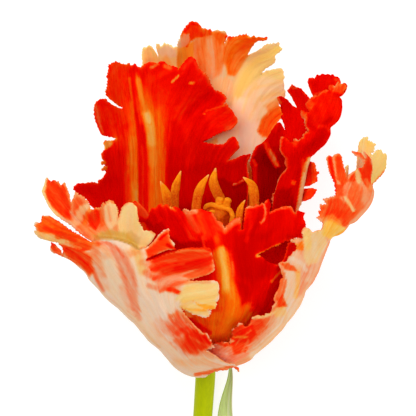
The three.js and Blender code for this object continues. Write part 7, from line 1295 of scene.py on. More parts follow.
def tepal_material(name, seed):
    m, t, b = material(name)
    g = Graph(t)
    r, y, green_and_olive_shade = g.split(g.attribute("pigment"))
    # detail holds the painted shade (below zero painted light), the streak amount and the rim weight
    shade, amount, rim = g.split(g.attribute("detail"))
    flow = g.attribute("flow")
    fine = g.noise(g.scale(flow, (0.05, 1.5, 1.0)), 1.0, 3.0, 0.6, 0.3)
    hair = g.noise(g.scale(flow, (0.16, 5.0, 1.0)), 1.0, 2.0, 0.55, 0.15)
    broad = g.noise(g.scale(flow, (0.035, 0.42, 1.0)), 1.0, 2.0, 0.5, 0.4)
    mottle = g.noise(g.scale(flow, (0.5, 0.9, 1.0)), 1.0, 3.0, 0.6, 0.5)
    s = g.math("ADD", g.math("MULTIPLY", g.math("SUBTRACT", fine, 0.5), 1.3), g.math("MULTIPLY", g.math("SUBTRACT", hair, 0.5), 0.8))
    s = g.math("ADD", s, g.math("MULTIPLY", g.math("SUBTRACT", broad, 0.5), 1.4))
    s = g.math("ADD", s, g.math("MULTIPLY", g.math("SUBTRACT", mottle, 0.5), 1.5))
    red = g.math("MULTIPLY_ADD", s, amount, r)
    f = g.math("DIVIDE", red, 1.3, clamp=True)
    yy = g.math("MULTIPLY_ADD", g.math("SUBTRACT", broad, 0.5), 0.5, y, clamp=True)
    c = g.mix(yy, g.ramp(f, OVER_WHITE), g.ramp(f, OVER_YELLOW))
    # olive tint from the greenish pigment; on E and E_up it paints the olive shade at the foot of the ruffles and along
    # folds
    c = g.mix(g.math("MULTIPLY", green_and_olive_shade, g.math("ADD", 0.75, g.math("MULTIPLY", fine, 0.5)), clamp=True), c, srgb(176, 138, 40))
    # painted shade darkens the colour; a negative shade is painted light that brightens it
    dark = g.math("SUBTRACT", 1.0, shade)
    grain = g.noise(g.scale(flow, (3.1, 3.4, 1.0)), 1.0, 2.0, 0.7)
    value = g.math("ADD", g.math("MULTIPLY", hair, 0.08), g.math("ADD", g.math("MULTIPLY", mottle, 0.10), g.math("MULTIPLY", grain, 0.16)))
    value = g.math("MULTIPLY", dark, g.math("ADD", 0.862, value))
    n = g.node("ShaderNodeVectorMath", operation="SCALE")
    g.put(n.inputs[0], c)
    g.put(n.inputs["Scale"], value)
    g.put(b.inputs["Base Color"], n.outputs[0])
    g.put(b.inputs["Roughness"], g.math("ADD", 0.40, g.math("MULTIPLY", fine, 0.2)))
    cells = g.noise(g.scale(flow, (2.2, 9.0, 1.0)), 1.0, 1.0)
    h = g.math("ADD", g.math("MULTIPLY", fine, 0.8), g.math("ADD", g.math("MULTIPLY", hair, 0.45), g.math("MULTIPLY", cells, 0.1)))
    g.put(b.inputs["Normal"], g.bump(h, 0.6, 0.0005))
    b.inputs["Subsurface Weight"].default_value = 0.18
    b.inputs["Subsurface Radius"].default_value = (1.0, 0.35, 0.2)
    b.inputs["Subsurface Scale"].default_value = 0.0016
    b.inputs["Specular IOR Level"].default_value = 0.0
    return m


def simple(name, dark, light, scale, rough, stretch=(1, 1, 1), bump=0.3, distance=0.0003, sss=0.15, tip=None):
    """Two tones mixed by noise in the object's own space, with a bump."""
    m, t, b = material(name)
    g = Graph(t)
    at = g.node("ShaderNodeTexCoord").outputs["Object"]
    n1 = g.noise(g.scale(at, stretch), scale, 4.0, 0.6)
    n2 = g.noise(g.scale(at, stretch), scale * 4.5, 2.0, 0.6)
    f = g.math("ADD", g.math("MULTIPLY", g.math("SUBTRACT", n1, 0.5), 2.0), g.math("MULTIPLY", g.math("SUBTRACT", n2, 0.5), 0.8))
    f = g.math("ADD", f, 0.5, clamp=True)
    g.put(b.inputs["Base Color"], g.mix(f, dark, light))
    g.put(b.inputs["Roughness"], g.math("ADD", rough - 0.06, g.math("MULTIPLY", n2, 0.12)))
    g.put(b.inputs["Normal"], g.bump(g.math("ADD", n1, g.math("MULTIPLY", n2, 0.6)), bump, distance))
    b.inputs["Subsurface Weight"].default_value = sss
    b.inputs["Subsurface Radius"].default_value = (0.8, 0.5, 0.2)
    b.inputs["Subsurface Scale"].default_value = 0.001
    return m


# ---------------------------------------------------------------------- tepals
def build_tepal(name, seed):
    sheets, down, extra, thick = TEPALS[name]
    verts, faces, attrs = [], [], {"pigment": [], "detail": [], "flow": []}

    def flush(P, tris, rims, col, oth, flow, flip):
        """thicken one welded surface and add it"""
        n = len(P)
        T = np.array(tris)
        fn = np.cross(P[T[:, 1]] - P[T[:, 0]], P[T[:, 2]] - P[T[:, 0]])
        N = np.zeros_like(P)
        for k in range(3):
            np.add.at(N, T[:, k], fn)
        N /= np.maximum(np.linalg.norm(N, axis=1), 1e-12)[:, None]
        for _ in range(2):
            A = N.copy()
            for k in range(3):
                np.add.at(A, T[:, k], N[T[:, (k + 1) % 3]] * 0.5)
            N = A / np.maximum(np.linalg.norm(A, axis=1), 1e-12)[:, None]
        pleat, vein = flow[:, 3], flow[:, 4]
        d = flow[:, 5]
        wave = np.array([noise.noise(Vector((u * 0.05, v * 0.42, 2.3 + seed))) + 0.55 * noise.noise(Vector((u * 0.10, v * 1.05, 9.4 + seed))) for u, v in flow[:, :2]])
        rib = np.array([noise.noise(Vector((u * 0.02, v * 1.7, 4.1 + seed))) for u, v in flow[:, :2]])
        off = wave * pleat * np.exp(-d / 6.0) + rib * vein * smooth(d / 2.0) + flow[:, 6]
        P = P + N * off[:, None]
        P[:, 2] = np.maximum(P[:, 2], FLOOR_Z)
        t = RIM + (thick - RIM) * smooth(d / 16.0)
        top = P + N * (t / 2)[:, None]
        low = P - N * (t / 2)[:, None]
        low[:, 2] = np.maximum(low[:, 2], 0.0)
        top[:, 2] = np.maximum(top[:, 2], 0.12)
        base = sum(len(v) for v in verts)
        edge = {}
        for a, b, c in tris:
            for p, q in ((a, b), (b, c), (c, a)):
                edge[(p, q)] = edge.get((p, q), 0) + 1
        open_edges = [(p, q) for (p, q) in edge if (q, p) not in edge]
        out = np.zeros((n, 3))
        for p, q in open_edges:
            e = np.cross(P[q] - P[p], N[p] + N[q])
            out[p] += e
            out[q] += e
        used = sorted({p for e in open_edges for p in e})
        mid = {p: 2 * n + i for i, p in enumerate(used)}
        o = out[used]
        o /= np.maximum(np.linalg.norm(o, axis=1), 1e-12)[:, None]
        lip = P[used] + o * 0.11
        lip[:, 2] = np.maximum(lip[:, 2], 0.06)
        verts.append(np.vstack([top, low, lip]))
        for a, b, c in tris:
            faces.append((base + a, base + b, base + c))
            faces.append((base + c + n, base + b + n, base + a + n))
        for p, q in open_edges:
            faces.append((base + q, base + p, base + mid[p], base + mid[q]))
            faces.append((base + mid[q], base + mid[p], base + p + n, base + q + n))
        up, dn = (col, oth)
        mixc = 0.5 * (up[used] + dn[used])
        c = np.vstack([up, dn, mixc])
        rim = np.exp(-d / 0.5)
        rim = np.r_[rim, rim, np.ones(len(used))]
        # the very rim is a little paler: partly the thin edge's own colour, partly a painted highlight along the edge
        c[:, 0] = np.where(c[:, 0] > 0.5, c[:, 0] - 0.24 * rim * np.clip(0.5 + 1.6 * np.r_[wave, wave, wave[used]], 0, 1.4), c[:, 0])
        x = np.clip(c[:, 0] / 1.12, 0, 1)
        amount = 0.045 + 0.20 * 4 * x * (1 - x)
        attrs["pigment"].append(c[:, :3])
        # first value is the painted shade (below zero painted light), then streak amount and rim weight
        attrs["detail"].append(np.c_[c[:, 3], amount, rim])
        fl = np.c_[flow[:, 0], flow[:, 1], np.full(n, seed * 7.3)]
        attrs["flow"].append(np.vstack([fl, fl + [0, 0, 3.0], fl[used]]))

    def gather(names):
        P, tris, col, oth, flow = [], [], [], [], []
        for s in names:
            xy, local, closed = mesh_sheet(s)
            uv = veins(s, xy)
            z = height(s)(xy)
            host = s.split("_")[0]
            c = paint(s, xy, uv)
            if s.endswith("_back"):
                # the veins and markings carry on round the fold
                key = [k for k, f in FOLDS.items() if s in f[0]][0]
                d, at = nearest(FINE[key], xy)
                round_fold = np.hypot(d, at[:, 2] - z)
                uv = veins(host, at[:, :2])
                side = np.sign(uv[:, 1].mean() - np.mean([g[0] for g in SHEETS[host]["guides"]]))
                wanted = np.c_[uv + np.c_[0.25 * d, side * round_fold], at[:, :2]]
                reach = 10.0
                if host == "D":
                    # steep side: away from the fold the veins run from the foot to the rim
                    steep, edge = np.c_[xy, z] - FOOT_AT, FINE[key] - FOOT_AT
                    turn = lambda p: 30.0 * np.arctan2(p[:, 0], p[:, 2] * 0.92 - p[:, 1] * 0.38)
                    far = np.c_[np.sqrt((steep ** 2).sum(1)), turn(steep) - turn(edge).mean() + uv[:, 1].mean()]
                    kk = np.exp(-(round_fold / 4.5) ** 2)[:, None]
                    uv = wanted[:, :2] * kk + far * (1 - kk)
                    hc = paint(host, at[:, :2], uv)
                    reach = 6.0
                else:
                    # evened out, so that no crease runs across the veins
                    spaced = []
                    for i in np.argsort(d):
                        gap = 4.0 if d[i] < 0.05 else 9.0
                        if all(np.hypot(*(xy[i] - xy[j])) > gap for j in spaced):
                            spaced.append(int(i))
                    even = Plate(xy[spaced], wanted[spaced])(xy)
                    uv = even[:, :2]
                    hc = paint(host, even[:, 2:], uv)
                k = np.exp(-(round_fold / reach) ** 2)[:, None]
                c = hc * k + c * (1 - k)
                flame = np.array([noise.noise(Vector((u * 0.016, v * 0.12, 5.3 + seed))) + 0.3 * noise.noise(Vector((u * 0.04, v * 0.28, 2.9))) for u, v in uv])
                c[:, 0] += 0.55 * smooth((flame - 0.02) / 0.35) * (1 - k[:, 0])
                c[:, 1] += 0.4 * smooth((flame * -1 - 0.05) / 0.3) * (1 - k[:, 0])
            o = other_side(s, c, uv)
            if s == "C_flap":
                c, o = o, c
            # distance to the free rim
            ring = closed[:-1]
            free = [i for i in range(len(ring)) if on_fold_xy(s, ring[i], ring[(i + 1) % len(ring)]) is False]
            d = np.full(len(xy), 99.0)
            seg_a = ring[free]
            seg_b = ring[[(i + 1) % len(ring) for i in free]]
            for a, b in zip(seg_a, seg_b):
                ab = b - a
                t = np.clip(((xy - a) @ ab) / max(ab @ ab, 1e-12), 0, 1)
                d = np.minimum(d, np.hypot(*(xy - a - t[:, None] * ab).T))
            pl, ve = PLEATS[s]
            ridge = np.zeros(len(xy))
            for pts, w, hgt in RIDGES.get(s, []):
                dd, _ = nearest(np.asarray(pts, float), xy)
                ridge += hgt * np.exp(-(dd / w) ** 2)
            sign = -1.0 if s in down else 1.0
            block = np.c_[uv, np.zeros(len(xy)), np.full(len(xy), pl), np.full(len(xy), ve), d, ridge * sign]
            index = []
            known = np.array([p for p in P]) if P else np.zeros((0, 3))
            for i, (x, y) in enumerate(xy):
                j = -1
                if len(known):
                    k = np.flatnonzero((np.abs(known[:, 0] - x) < 2e-3) & (np.abs(known[:, 1] - y) < 2e-3) & (np.abs(known[:, 2] - z[i]) < 0.05))
                    if len(k):
                        j = int(k[0])
                if j < 0:
                    j = len(P)
                    P.append((x, y, z[i]))
                    col.append(c[i])
                    oth.append(o[i])
                    flow.append(block[i])
                index.append(j)
            for a, b, cc in local:
                tris.append((index[a], index[cc], index[b]) if s in down else (index[a], index[b], index[cc]))
        return np.array(P), tris, None, np.array(col), np.array(oth), np.array(flow)

    flush(*gather(sheets), False)
    for s in extra:
        flush(*gather([s]), False)
    attrs = {k: np.vstack(v) for k, v in attrs.items()}
    return new_object(name + "_fine", np.vstack(verts), faces, tepal_material(name, seed), attrs)


_fold_cache = {}


def on_fold_xy(name, p, q):
    """False where the dense edge p-q is on the free rim."""
    if name not in _fold_cache:
        lines = []
        for key, (sheets, _, line) in FOLDS.items():
            if name in sheets:
                lines.append(FINE[key][:, :2])
        _fold_cache[name] = lines
    m = (p + q) / 2
    for l in _fold_cache[name]:
        if nearest(l, m[None])[0][0] < 0.12:
            return True
    return False


for i, tepal in enumerate(TEPALS):
    o = build_tepal(tepal, i)
    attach(o, "root")
    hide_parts(tepal)


# ------------------------------------------------------------ tubes and lofts
def curve(points, n):
    """n + 1 points evenly along a smooth curve through points."""
    p = np.asarray(points, float)
    out = []
    for i in range(len(p) - 1):
        a = p[i - 1] if i else 2 * p[0] - p[1]
        b, c = p[i], p[i + 1]
        d = p[i + 2] if i + 2 < len(p) else 2 * p[-1] - p[-2]
        t0, t1 = 0.0, np.linalg.norm(b - a) ** 0.5
        t2 = t1 + np.linalg.norm(c - b) ** 0.5
        t3 = t2 + np.linalg.norm(d - c) ** 0.5
        for t in np.linspace(t1, t2, 24, endpoint=False):
            a1 = (t1 - t) / (t1 - t0) * a + (t - t0) / (t1 - t0) * b
            a2 = (t2 - t) / (t2 - t1) * b + (t - t1) / (t2 - t1) * c
            a3 = (t3 - t) / (t3 - t2) * c + (t - t2) / (t3 - t2) * d
            b1 = (t2 - t) / (t2 - t0) * a1 + (t - t0) / (t2 - t0) * a2
            b2 = (t3 - t) / (t3 - t1) * a2 + (t - t1) / (t3 - t1) * a3
            out.append((t2 - t) / (t2 - t1) * b1 + (t - t1) / (t2 - t1) * b2)
    out.append(p[-1])
    out = np.array(out)
    s = np.r_[0, np.cumsum(np.linalg.norm(np.diff(out, axis=0), axis=1))]
    return np.array([np.interp(np.linspace(0, s[-1], n + 1), s, out[:, k]) for k in range(3)]).T


def tube(name, points, n, sides, radius, mat, up=(0, 0, 1), extra=None):
    """Closed tube; radius(t, angle) in mm, angle 0 towards up."""
    c = curve(points, n)
    d = np.gradient(c, axis=0)
    d /= np.linalg.norm(d, axis=1)[:, None]
    verts, faces, att = [], [], []
    for i in range(n + 1):
        t = i / n
        a = np.array(up, float) - d[i] * np.dot(up, d[i])
        a /= np.linalg.norm(a)
        b = np.cross(d[i], a)
        for k in range(sides):
            w = 2 * math.pi * k / sides
            r = radius(t, w)
            verts.append(c[i] + r * (math.cos(w) * a + math.sin(w) * b))
            att.append((t, w, r))
    for i in range(n):
        for k in range(sides):
            p, q = i * sides + k, i * sides + (k + 1) % sides
            faces.append((p, q, q + sides, p + sides))
    for ring, flip in ((0, True), (n, False)):
        # rounded closing cap
        idx = [ring * sides + k for k in range(sides)]
        centre = c[ring]
        base = len(verts)
        for k in idx:
            verts.append(centre + (verts[k] - centre) * 0.55)
            att.append(att[k])
        verts.append(centre)
        att.append((ring / n, 0, 0))
        for k in range(sides):
            p, q = idx[k], idx[(k + 1) % sides]
            a, b = base + k, base + (k + 1) % sides
            f1, f2 = (p, q, b, a), (a, b, base + sides)
            faces.append(tuple(reversed(f1)) if flip else f1)
            faces.append(tuple(reversed(f2)) if flip else f2)
    return new_object(name, verts, faces, mat, {"along": att})


# ------------------------------------------------------------------------ stem
STEM = [[-1.28, 44.15, 14.35], [-1.25, 42.83, 13.65], [-1.24, 37.07, 10.84], [-1.61, 31.12, 8.44], [-2.01, 25.03, 6.46], [-2.36, 18.81, 4.91], [-2.71, 12.5, 3.79], [-3.07, 6.12, 3.12], [-3.3, -0.29, 2.9], [-3.57, -17.17, 2.9], [-3.9, -37.17, 2.9], [-3.5, -57.17, 2.9], [-3.1, -77.17, 2.9], [-2.17, -97.17, 2.9], [-0.7, -117.17, 2.9], [1.3, -141.17, 2.9]]
stem_mat, t, b = material("stem_green")
g = Graph(t)
along = g.attribute("along")
ta, tw, tr = g.split(along)
at = g.node("ShaderNodeTexCoord").outputs["Object"]
fib = g.noise(g.scale(at, (1500, 60, 1500)), 1.0, 3.0, 0.6)
blot = g.noise(g.scale(at, (120, 28, 120)), 1.0, 2.0, 0.5)
c = g.mix(g.math("ADD", g.math("MULTIPLY", g.math("SUBTRACT", fib, 0.5), 1.6), 0.5, clamp=True), srgb(159, 174, 0), srgb(187, 197, 0))
c = g.mix(g.math("MULTIPLY", blot, 0.4), c, srgb(172, 190, 8))
# paler towards the flower, and a pale bloom
c = g.mix(g.math("MULTIPLY", g.math("SUBTRACT", 0.03, ta, clamp=True), 8.0, clamp=True), c, srgb(196, 200, 70))
ringcut = g.math("GREATER_THAN", ta, 0.9995)
c = g.mix(ringcut, c, srgb(205, 212, 140))
g.put(b.inputs["Base Color"], c)
g.put(b.inputs["Roughness"], g.math("ADD", 0.5, g.math("MULTIPLY", blot, 0.14)))
g.put(b.inputs["Normal"], g.bump(g.math("ADD", fib, g.math("MULTIPLY", blot, 0.5)), 0.25, 0.0002))
b.inputs["Subsurface Weight"].default_value = 0.2
b.inputs["Subsurface Radius"].default_value = (0.7, 1.0, 0.2)
b.inputs["Subsurface Scale"].default_value = 0.0012
b.inputs["Specular IOR Level"].default_value = 0.06


def stem_radius(t, w):
    r = 2.86 + 0.34 * math.exp(-t * t / 0.0006) if t > 0.006 else 2.6
    r += 0.05 * math.cos(7 * w + 5 * t) + 0.03 * math.cos(11 * w - 9 * t)
    return r + 0.04 * math.sin(40 * t)


stem = tube("stem_fine", STEM, 260, 48, stem_radius, stem_mat)
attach(stem, "root")
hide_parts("stem")

# ------------------------------------------------------------------------ leaf
# y, then five points (x, z) across
LEAF = [
    [40.63, [6.05, 3.85], [6.15, 3.65], [6.3, 3.55], [6.45, 3.65], [6.55, 3.85]],
    [36.83, [5.55, 4.25], [5.85, 3.55], [6.2, 3.15], [6.6, 3.35], [6.9, 3.95]],
    [27.83, [2.95, 4.85], [3.8, 3.05], [4.8, 2.25], [5.85, 2.55], [6.7, 3.85]],
    [14.83, [1.7, 5.45], [2.9, 2.65], [4.7, 1.55], [6.5, 1.65], [8, 3.45]],
    [-2.17, [1, 5.75], [2.9, 2.25], [6, 0.85], [9.5, 0.95], [12.3, 3.35]],
    [-22.17, [0.7, 6.05], [3.1, 1.95], [7.7, 0.5], [12.7, 0.65], [17.1, 3.05]],
    [-42.17, [0.7, 6.35], [3.1, 1.85], [7.9, 0.45], [12.9, 0.55], [17.3, 2.85]],
    [-62.17, [1, 6.75], [3, 2.05], [6.5, 0.5], [10.5, 0.75], [13.9, 3.15]],
    [-79.17, [0.3, 7.05], [2.1, 3.35], [3.7, 0.65], [6.3, 0.85], [8.5, 3.35]],
    [-93.17, [-0.8, 6.65], [1.1, 5.25], [1.8, 2.95], [1.6, 1.05], [3.1, 0.75]],
    [-101.17, [-0.4, 6.35], [1, 5.35], [1.9, 3.85], [2.1, 2.45], [1.6, 1.35]],
]
leaf_mat, t, b = material("leaf_green")
g = Graph(t)
lu, lv, le = g.split(g.attribute("leafuv"))
vein = g.noise(g.scale(g.attribute("leafuv"), (0.03, 14.0, 0.0)), 1.0, 3.0, 0.6, 0.1)
line = g.noise(g.scale(g.attribute("leafuv"), (0.02, 38.0, 0.0)), 1.0, 2.0, 0.5)
blot = g.noise(g.scale(g.attribute("leafuv"), (0.08, 2.0, 0.0)), 1.0, 2.0, 0.5)
c = g.mix(g.math("ADD", g.math("MULTIPLY", g.math("SUBTRACT", vein, 0.5), 1.8), 0.5, clamp=True), srgb(184, 202, 107), srgb(211, 224, 161))
# a pale band beside the fold and a dull rim
pale = g.math("MULTIPLY", g.math("SUBTRACT", 0.16, g.math("ABSOLUTE", g.math("SUBTRACT", lv, 0.78))), 9.0, clamp=True)
c = g.mix(g.math("MULTIPLY", pale, g.math("ADD", 0.6, g.math("MULTIPLY", blot, 0.5)), clamp=True), c, srgb(218, 220, 190))
c = g.mix(g.math("MULTIPLY", g.math("SUBTRACT", lv, 0.88, clamp=True), 7.0, clamp=True), c, srgb(200, 196, 160))
c = g.mix(g.math("MULTIPLY", g.math("SUBTRACT", 0.10, lv, clamp=True), 6.0, clamp=True), c, srgb(158, 176, 84))
g.put(b.inputs["Base Color"], c)
g.put(b.inputs["Roughness"], g.math("ADD", 0.44, g.math("MULTIPLY", blot, 0.14)))
g.put(b.inputs["Normal"], g.bump(g.math("ADD", vein, g.math("MULTIPLY", line, 0.7)), 0.4, 0.0003))
b.inputs["Subsurface Weight"].default_value = 0.2
b.inputs["Subsurface Radius"].default_value = (0.7, 1.0, 0.4)
b.inputs["Subsurface Scale"].default_value = 0.0012
b.inputs["Specular IOR Level"].default_value = 0.08


def loft_leaf():
    rows, across = 190, 44
    lines = [curve([(r[1 + j][0], r[0], r[1 + j][1]) for r in LEAF], rows) for j in range(5)]
    pts = np.zeros((rows + 1, across + 1, 3))
    for i in range(rows + 1):
        pts[i] = curve([l[i] for l in lines], across)
    u = np.linspace(0, 142, rows + 1)
    for i in range(rows + 1):
        for k in range(across + 1):
            v = k / across
            tip = smooth(np.array([u[i] / 9.0]))[0]
            rib = 0.035 * math.sin(v * 62.0) * tip * math.sin(math.pi * min(1, max(0, v)))
            pts[i, k, 2] += rib + 0.10 * noise.noise(Vector((u[i] * 0.05, v * 3.0, 8.8))) * tip
    du = np.gradient(pts, axis=0)
    dv = np.gradient(pts, axis=1)
    nrm = np.cross(dv, du)
    nrm /= np.maximum(np.linalg.norm(nrm, axis=2), 1e-9)[..., None]
    if nrm[rows // 2, across // 2, 2] < 0:
        nrm = -nrm
    v = np.linspace(0, 1, across + 1)
    edge = np.minimum(v, 1 - v)[None, :] * 2
    along = np.clip(np.arange(rows + 1) / rows, 0, 1)[:, None]
    t = 0.24 + 0.5 * np.minimum(1, edge * 1.6) * np.minimum(1, along * 8 + 0.2)
    top = pts + nrm * (t / 2)[..., None]
    low = pts - nrm * (t / 2)[..., None]
    low[..., 2] = np.maximum(low[..., 2], 0.0)
    top[..., 2] = np.maximum(top[..., 2], low[..., 2] + 0.1)
    verts = np.vstack([top.reshape(-1, 3), low.reshape(-1, 3)])
    n = (rows + 1) * (across + 1)
    w = across + 1
    faces = []
    for i in range(rows):
        for k in range(across):
            a = i * w + k
            faces.append((a, a + 1, a + w + 1, a + w))
            faces.append((n + a + w, n + a + w + 1, n + a + 1, n + a))
    for i in range(rows):
        for k, flip in ((0, False), (across, True)):
            a, b = i * w + k, (i + 1) * w + k
            f = (a, b, b + n, a + n)
            faces.append(tuple(reversed(f)) if flip else f)
    for i, flip in ((0, True), (rows, False)):
        for k in range(across):
            a, b = i * w + k, i * w + k + 1
            f = (a, b, b + n, a + n)
            faces.append(tuple(reversed(f)) if flip else f)
    uu = np.repeat(u, w)
    vv = np.tile(v, rows + 1)
    ee = np.exp(-np.minimum(vv, 1 - vv) * 30)
    att = np.c_[uu, vv, ee]
    return verts, faces, np.vstack([att, att])


lv_, lf_, la_ = loft_leaf()
leaf = new_object("leaf_fine", lv_, lf_, leaf_mat, {"leafuv": la_})
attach(leaf, "root")
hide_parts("leaf")

# --------------------------------------------------------- stamens and pistil
FOOT = np.array([-1.3, 42.83, 13.65])       # centre of the receptacle
HEAD_TILT = math.radians(28)
STAMENS = [
    (200, 1.42, [[-11.78, 79.25, 34.45], [-11.78, 85.58, 37.95], [-12.15, 90.7, 41.45], [-13.95, 94.85, 43.95]]),
    (140, 1.2, [[-10, 80.34, 28.45], [-10.13, 87.87, 31.45], [-9.72, 93.32, 33.95], [-8.96, 95.75, 35.25], [-8.23, 97.89, 36.05]]),
    (262, 1.3, [[-4.06, 78.74, 39.45], [-3.85, 86.15, 41.95], [-3.31, 90.69, 43.75], [-2.2, 93.79, 45.25], [-0.22, 96.71, 46.45]]),
    (82, 1.42, [[4.19, 83.23, 27.95], [3.75, 88.45, 29.45], [2.27, 91.62, 30.95], [1.11, 94.78, 32.05], [1.77, 98.79, 33.05]]),
    (20, 1.42, [[12.9, 79.8, 31.45], [12.87, 87.58, 34.45], [12.7, 91.3, 36.05], [11.99, 94.01, 37.45], [9.6, 96.08, 38.45]]),
    (318, 0.98, [[7.69, 76.44, 37.95], [8.23, 83.31, 40.95], [8.69, 86.72, 42.45], [9.28, 88.28, 43.25], [10.09, 89.56, 43.75]]),
]
PISTIL = [[-1.3, 45.13, 14.87], [-1.1, 53.43, 19.28], [-0.1, 67.55, 26.8], [1.3, 78.15, 32.43], [2.3, 83.45, 35.25], [2.7, 87.33, 37.31]]
STIGMA = [
    (0.75, [[-1.65, 86.83, 37.35], [-0.73, 87.86, 37.65], [0.7, 88.2, 37.75], [2.41, 87.69, 37.75], [4.13, 87.29, 37.75], [5.55, 86.8, 37.95], [6.38, 85.58, 38.05], [6.47, 84.15, 37.85], [5.79, 82.72, 37.25]]),
    (1.2, [[3.27, 87.29, 36.65], [2.87, 89.01, 37.35], [3.16, 90.43, 37.65]]),
    (1.1, [[4.82, 87, 36.85], [4.93, 88.72, 37.65], [5.52, 90.06, 38.25]]),
    (0.5, [[-0.02, 86.15, 38.15], [0.84, 86.26, 38.75], [1.64, 86.06, 38.85]]),
]


def in_flower(azimuth, r, h):
    a = math.radians(azimuth)
    q = r * math.sin(a)
    return FOOT + np.array([r * math.cos(a), h * math.cos(HEAD_TILT) + q * math.sin(HEAD_TILT), h * math.sin(HEAD_TILT) - q * math.cos(HEAD_TILT)])


def pollen_material():
    m, t, b = material("anther_pollen")
    g = Graph(t)
    ta, tw, tr = g.split(g.attribute("along"))
    at = g.node("ShaderNodeTexCoord").outputs["Object"]
    grain = g.noise(at, 2600.0, 3.0, 0.7)
    patch = g.noise(at, 420.0, 2.0, 0.5)
    side = g.math("ABSOLUTE", g.math("SINE", tw))
    f = g.math("ADD", g.math("MULTIPLY", side, 0.55), g.math("MULTIPLY", g.math("SUBTRACT", patch, 0.5), 1.2), clamp=True)
    low = g.mix(f, srgb(214, 72, 0), srgb(238, 118, 0))
    high = g.mix(f, srgb(240, 136, 0), srgb(252, 168, 14))
    up = g.math("ADD", g.math("MULTIPLY", g.math("SUBTRACT", ta, 0.62), 4.0), g.math("MULTIPLY", g.math("SUBTRACT", patch, 0.5), 1.4), clamp=True)
    c = g.mix(up, low, high)
    c = g.mix(g.math("MULTIPLY", g.math("SUBTRACT", grain, 0.42, clamp=True), 1.6, clamp=True), c, srgb(255, 188, 44))
    c = g.mix(g.math("MULTIPLY", g.math("SUBTRACT", ta, 0.93, clamp=True), 9.0, clamp=True), c, srgb(255, 206, 120))
    g.put(b.inputs["Base Color"], c)
    b.inputs["Roughness"].default_value = 0.75
    g.put(b.inputs["Normal"], g.bump(g.math("ADD", grain, patch), 0.5, 0.00025))
    b.inputs["Specular IOR Level"].default_value = 0.05
    b.inputs["Subsurface Weight"].default_value = 0.15
    b.inputs["Subsurface Radius"].default_value = (1.0, 0.5, 0.1)
    b.inputs["Subsurface Scale"].default_value = 0.0008
    return m


pollen = pollen_material()
stalk = simple("filament_yellow", srgb(205, 104, 0), srgb(240, 160, 12), 300.0, 0.5, (1, 1, 1), 0.3, 0.0002)
# darker orange on the pistil body is painted shade for the hollow under the stigma lobes; the lighter crest is partly
# its own colour and partly painted light on the raised lobes
stigma = simple("stigma_orange", srgb(194, 60, 0), srgb(228, 112, 0), 520.0, 0.6, (1, 1, 1), 0.5, 0.0003)
crest = simple("stigma_crest", srgb(230, 122, 0), srgb(250, 168, 22), 700.0, 0.6, (1, 1, 1), 0.5, 0.00025)
for m_ in (stalk, stigma, crest):
    m_.node_tree.nodes["Principled BSDF"].inputs["Specular IOR Level"].default_value = 0.08

for i, (azimuth, width, anther) in enumerate(STAMENS):
    anther = [np.array(p) for p in anther]
    foot, low = in_flower(azimuth, 2.95, 2.6), in_flower(azimuth, 3.6, 9)
    d = anther[1] - anther[0]
    d /= np.linalg.norm(d)
    join = anther[0] - 0.35 * d
    mid = 0.45 * low + 0.55 * join + np.array([0, -1.0, 0])
    o = tube("filament_fine_%d" % (i + 1), [foot, low, mid, join - 3 * d, join + 0.5 * d], 40, 14, lambda t, w: 0.75 * (1.15 - 0.45 * t) * (1 + 0.06 * math.cos(3 * w)), stalk)
    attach(o, "root")
    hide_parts("filament_%d" % (i + 1))

    # two pollen sacs side by side with a furrow between them
    def body(t, w, i=i, width=width):
        point = max(0.0, (t - 0.7) / 0.3)
        r = min(1.0, 0.8 + 0.7 * t) * (1 - 0.90 * point ** 1.5) * math.sqrt(min(1.0, 0.25 + 18 * t))
        lobes = 0.90 * (1 - 0.13 * math.cos(2 * w)) - 0.15 * math.exp(-((math.pi - abs(w - math.pi)) / 0.26) ** 2) - 0.15 * math.exp(-((abs(w - math.pi)) / 0.26) ** 2)
        wob = 1 + 0.07 * noise.noise(Vector((t * 14, w * 1.2, i * 3.3))) + 0.05 * noise.noise(Vector((t * 42, w * 3, i * 1.3)))
        return width * r * lobes * wob

    o = tube("anther_fine_%d" % (i + 1), anther, 110, 36, body, pollen)
    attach(o, "root")
    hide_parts("anther_%d" % (i + 1))


def pistil_radius(t, w):
    lobes = 1 + 0.13 * math.cos(3 * w)
    if t < 0.8:
        r = (1.5 + 1.0 * math.sin(math.pi * min(1, t / 0.8) ** 0.8 * 0.75)) * lobes
    else:
        s = (t - 0.8) / 0.2
        r = (2.1 + 1.1 * math.sin(math.pi * 0.5 * s)) * (1 + (0.12 + 0.08 * s) * math.cos(3 * w)) * (1 - 0.28 * max(0, (s - 0.9) / 0.1))
        r *= 1 + 0.05 * math.sin(18 * w) * s
    return r


o = tube("pistil_fine", PISTIL, 120, 60, pistil_radius, stigma)
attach(o, "root")
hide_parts("pistil")
# the stigma's curled lobes
for i, (width, path) in enumerate(STIGMA):
    def lobe(t, w, i=i, width=width):
        end = math.sqrt(max(0.02, 1 - abs(2 * t - 1) ** 7))
        return width * end * (1 + 0.10 * noise.noise(Vector((t * 9, w, i * 5.1))) + 0.07 * noise.noise(Vector((t * 30, w * 2.5, i * 2.7))))

    o = tube("stigma_lobe_%d" % (i + 1), path, 70 if len(path) > 4 else 34, 24, lobe, crest)
    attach(o, "root")
    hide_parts("pistil")


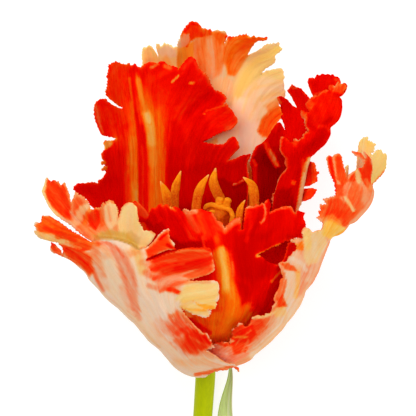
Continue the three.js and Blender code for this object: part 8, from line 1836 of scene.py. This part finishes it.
# ------------------------------------------------------------- floor and light
def plane(name, size, z, mat):
    s = size / 2
    me = bpy.data.meshes.new(name)
    me.from_pydata([(-s, -s, z), (s, -s, z), (s, s, z), (-s, s, z)], [], [(0, 1, 2, 3)])
    me.materials.append(mat)
    o = bpy.data.objects.new(name, me)
    bpy.context.scene.collection.objects.link(o)
    return o


m, t, b = material("white_table")
g = Graph(t)
paper = g.noise(g.node("ShaderNodeTexCoord").outputs["Object"], 40.0, 3.0)
g.put(b.inputs["Base Color"], g.mix(paper, (0.36, 0.36, 0.36, 1), (0.38, 0.38, 0.38, 1)))
b.inputs["Roughness"].default_value = 0.8
b.inputs["Specular IOR Level"].default_value = 0.1
b.inputs["Emission Color"].default_value = (1, 1, 1, 1)
b.inputs["Emission Strength"].default_value = 0.75
floor = plane("table_top", 6.0, 0.0, m)

world = bpy.data.worlds.new("studio")
bpy.context.scene.world = world
world.use_nodes = True
bg = world.node_tree.nodes["Background"]
bg.inputs[0].default_value = (1.0, 0.99, 0.975, 1)
bg.inputs[1].default_value = 0.55


def area(name, at, target, size, watts, colour=(1, 1, 1)):
    l = bpy.data.lights.new(name, "AREA")
    l.shape = "DISK"
    l.size = size
    l.energy = watts
    l.color = colour
    o = bpy.data.objects.new(name, l)
    o.location = at
    o.rotation_euler = (Vector(target) - Vector(at)).to_track_quat("-Z", "Y").to_euler()
    bpy.context.scene.collection.objects.link(o)


HEAD = (0.0, 0.085, 0.03)
area("softbox_over", (-0.25, 0.45, 1.15), HEAD, 0.9, 9.0)
area("softbox_low", (0.75, -0.35, 0.75), HEAD, 0.8, 3.2)

camera = bpy.data.cameras.new("camera")
camera.lens = LENS
camera.sensor_width = 36.0
camera.clip_start = 0.01
camera.clip_end = 20.0
cam = bpy.data.objects.new("camera", camera)
cam.location = [c * MM for c in CAMERA]
bpy.context.scene.collection.objects.link(cam)
bpy.context.scene.camera = cam
bpy.context.scene.view_settings.view_transform = "Standard"
bpy.context.scene.view_settings.look = "None"
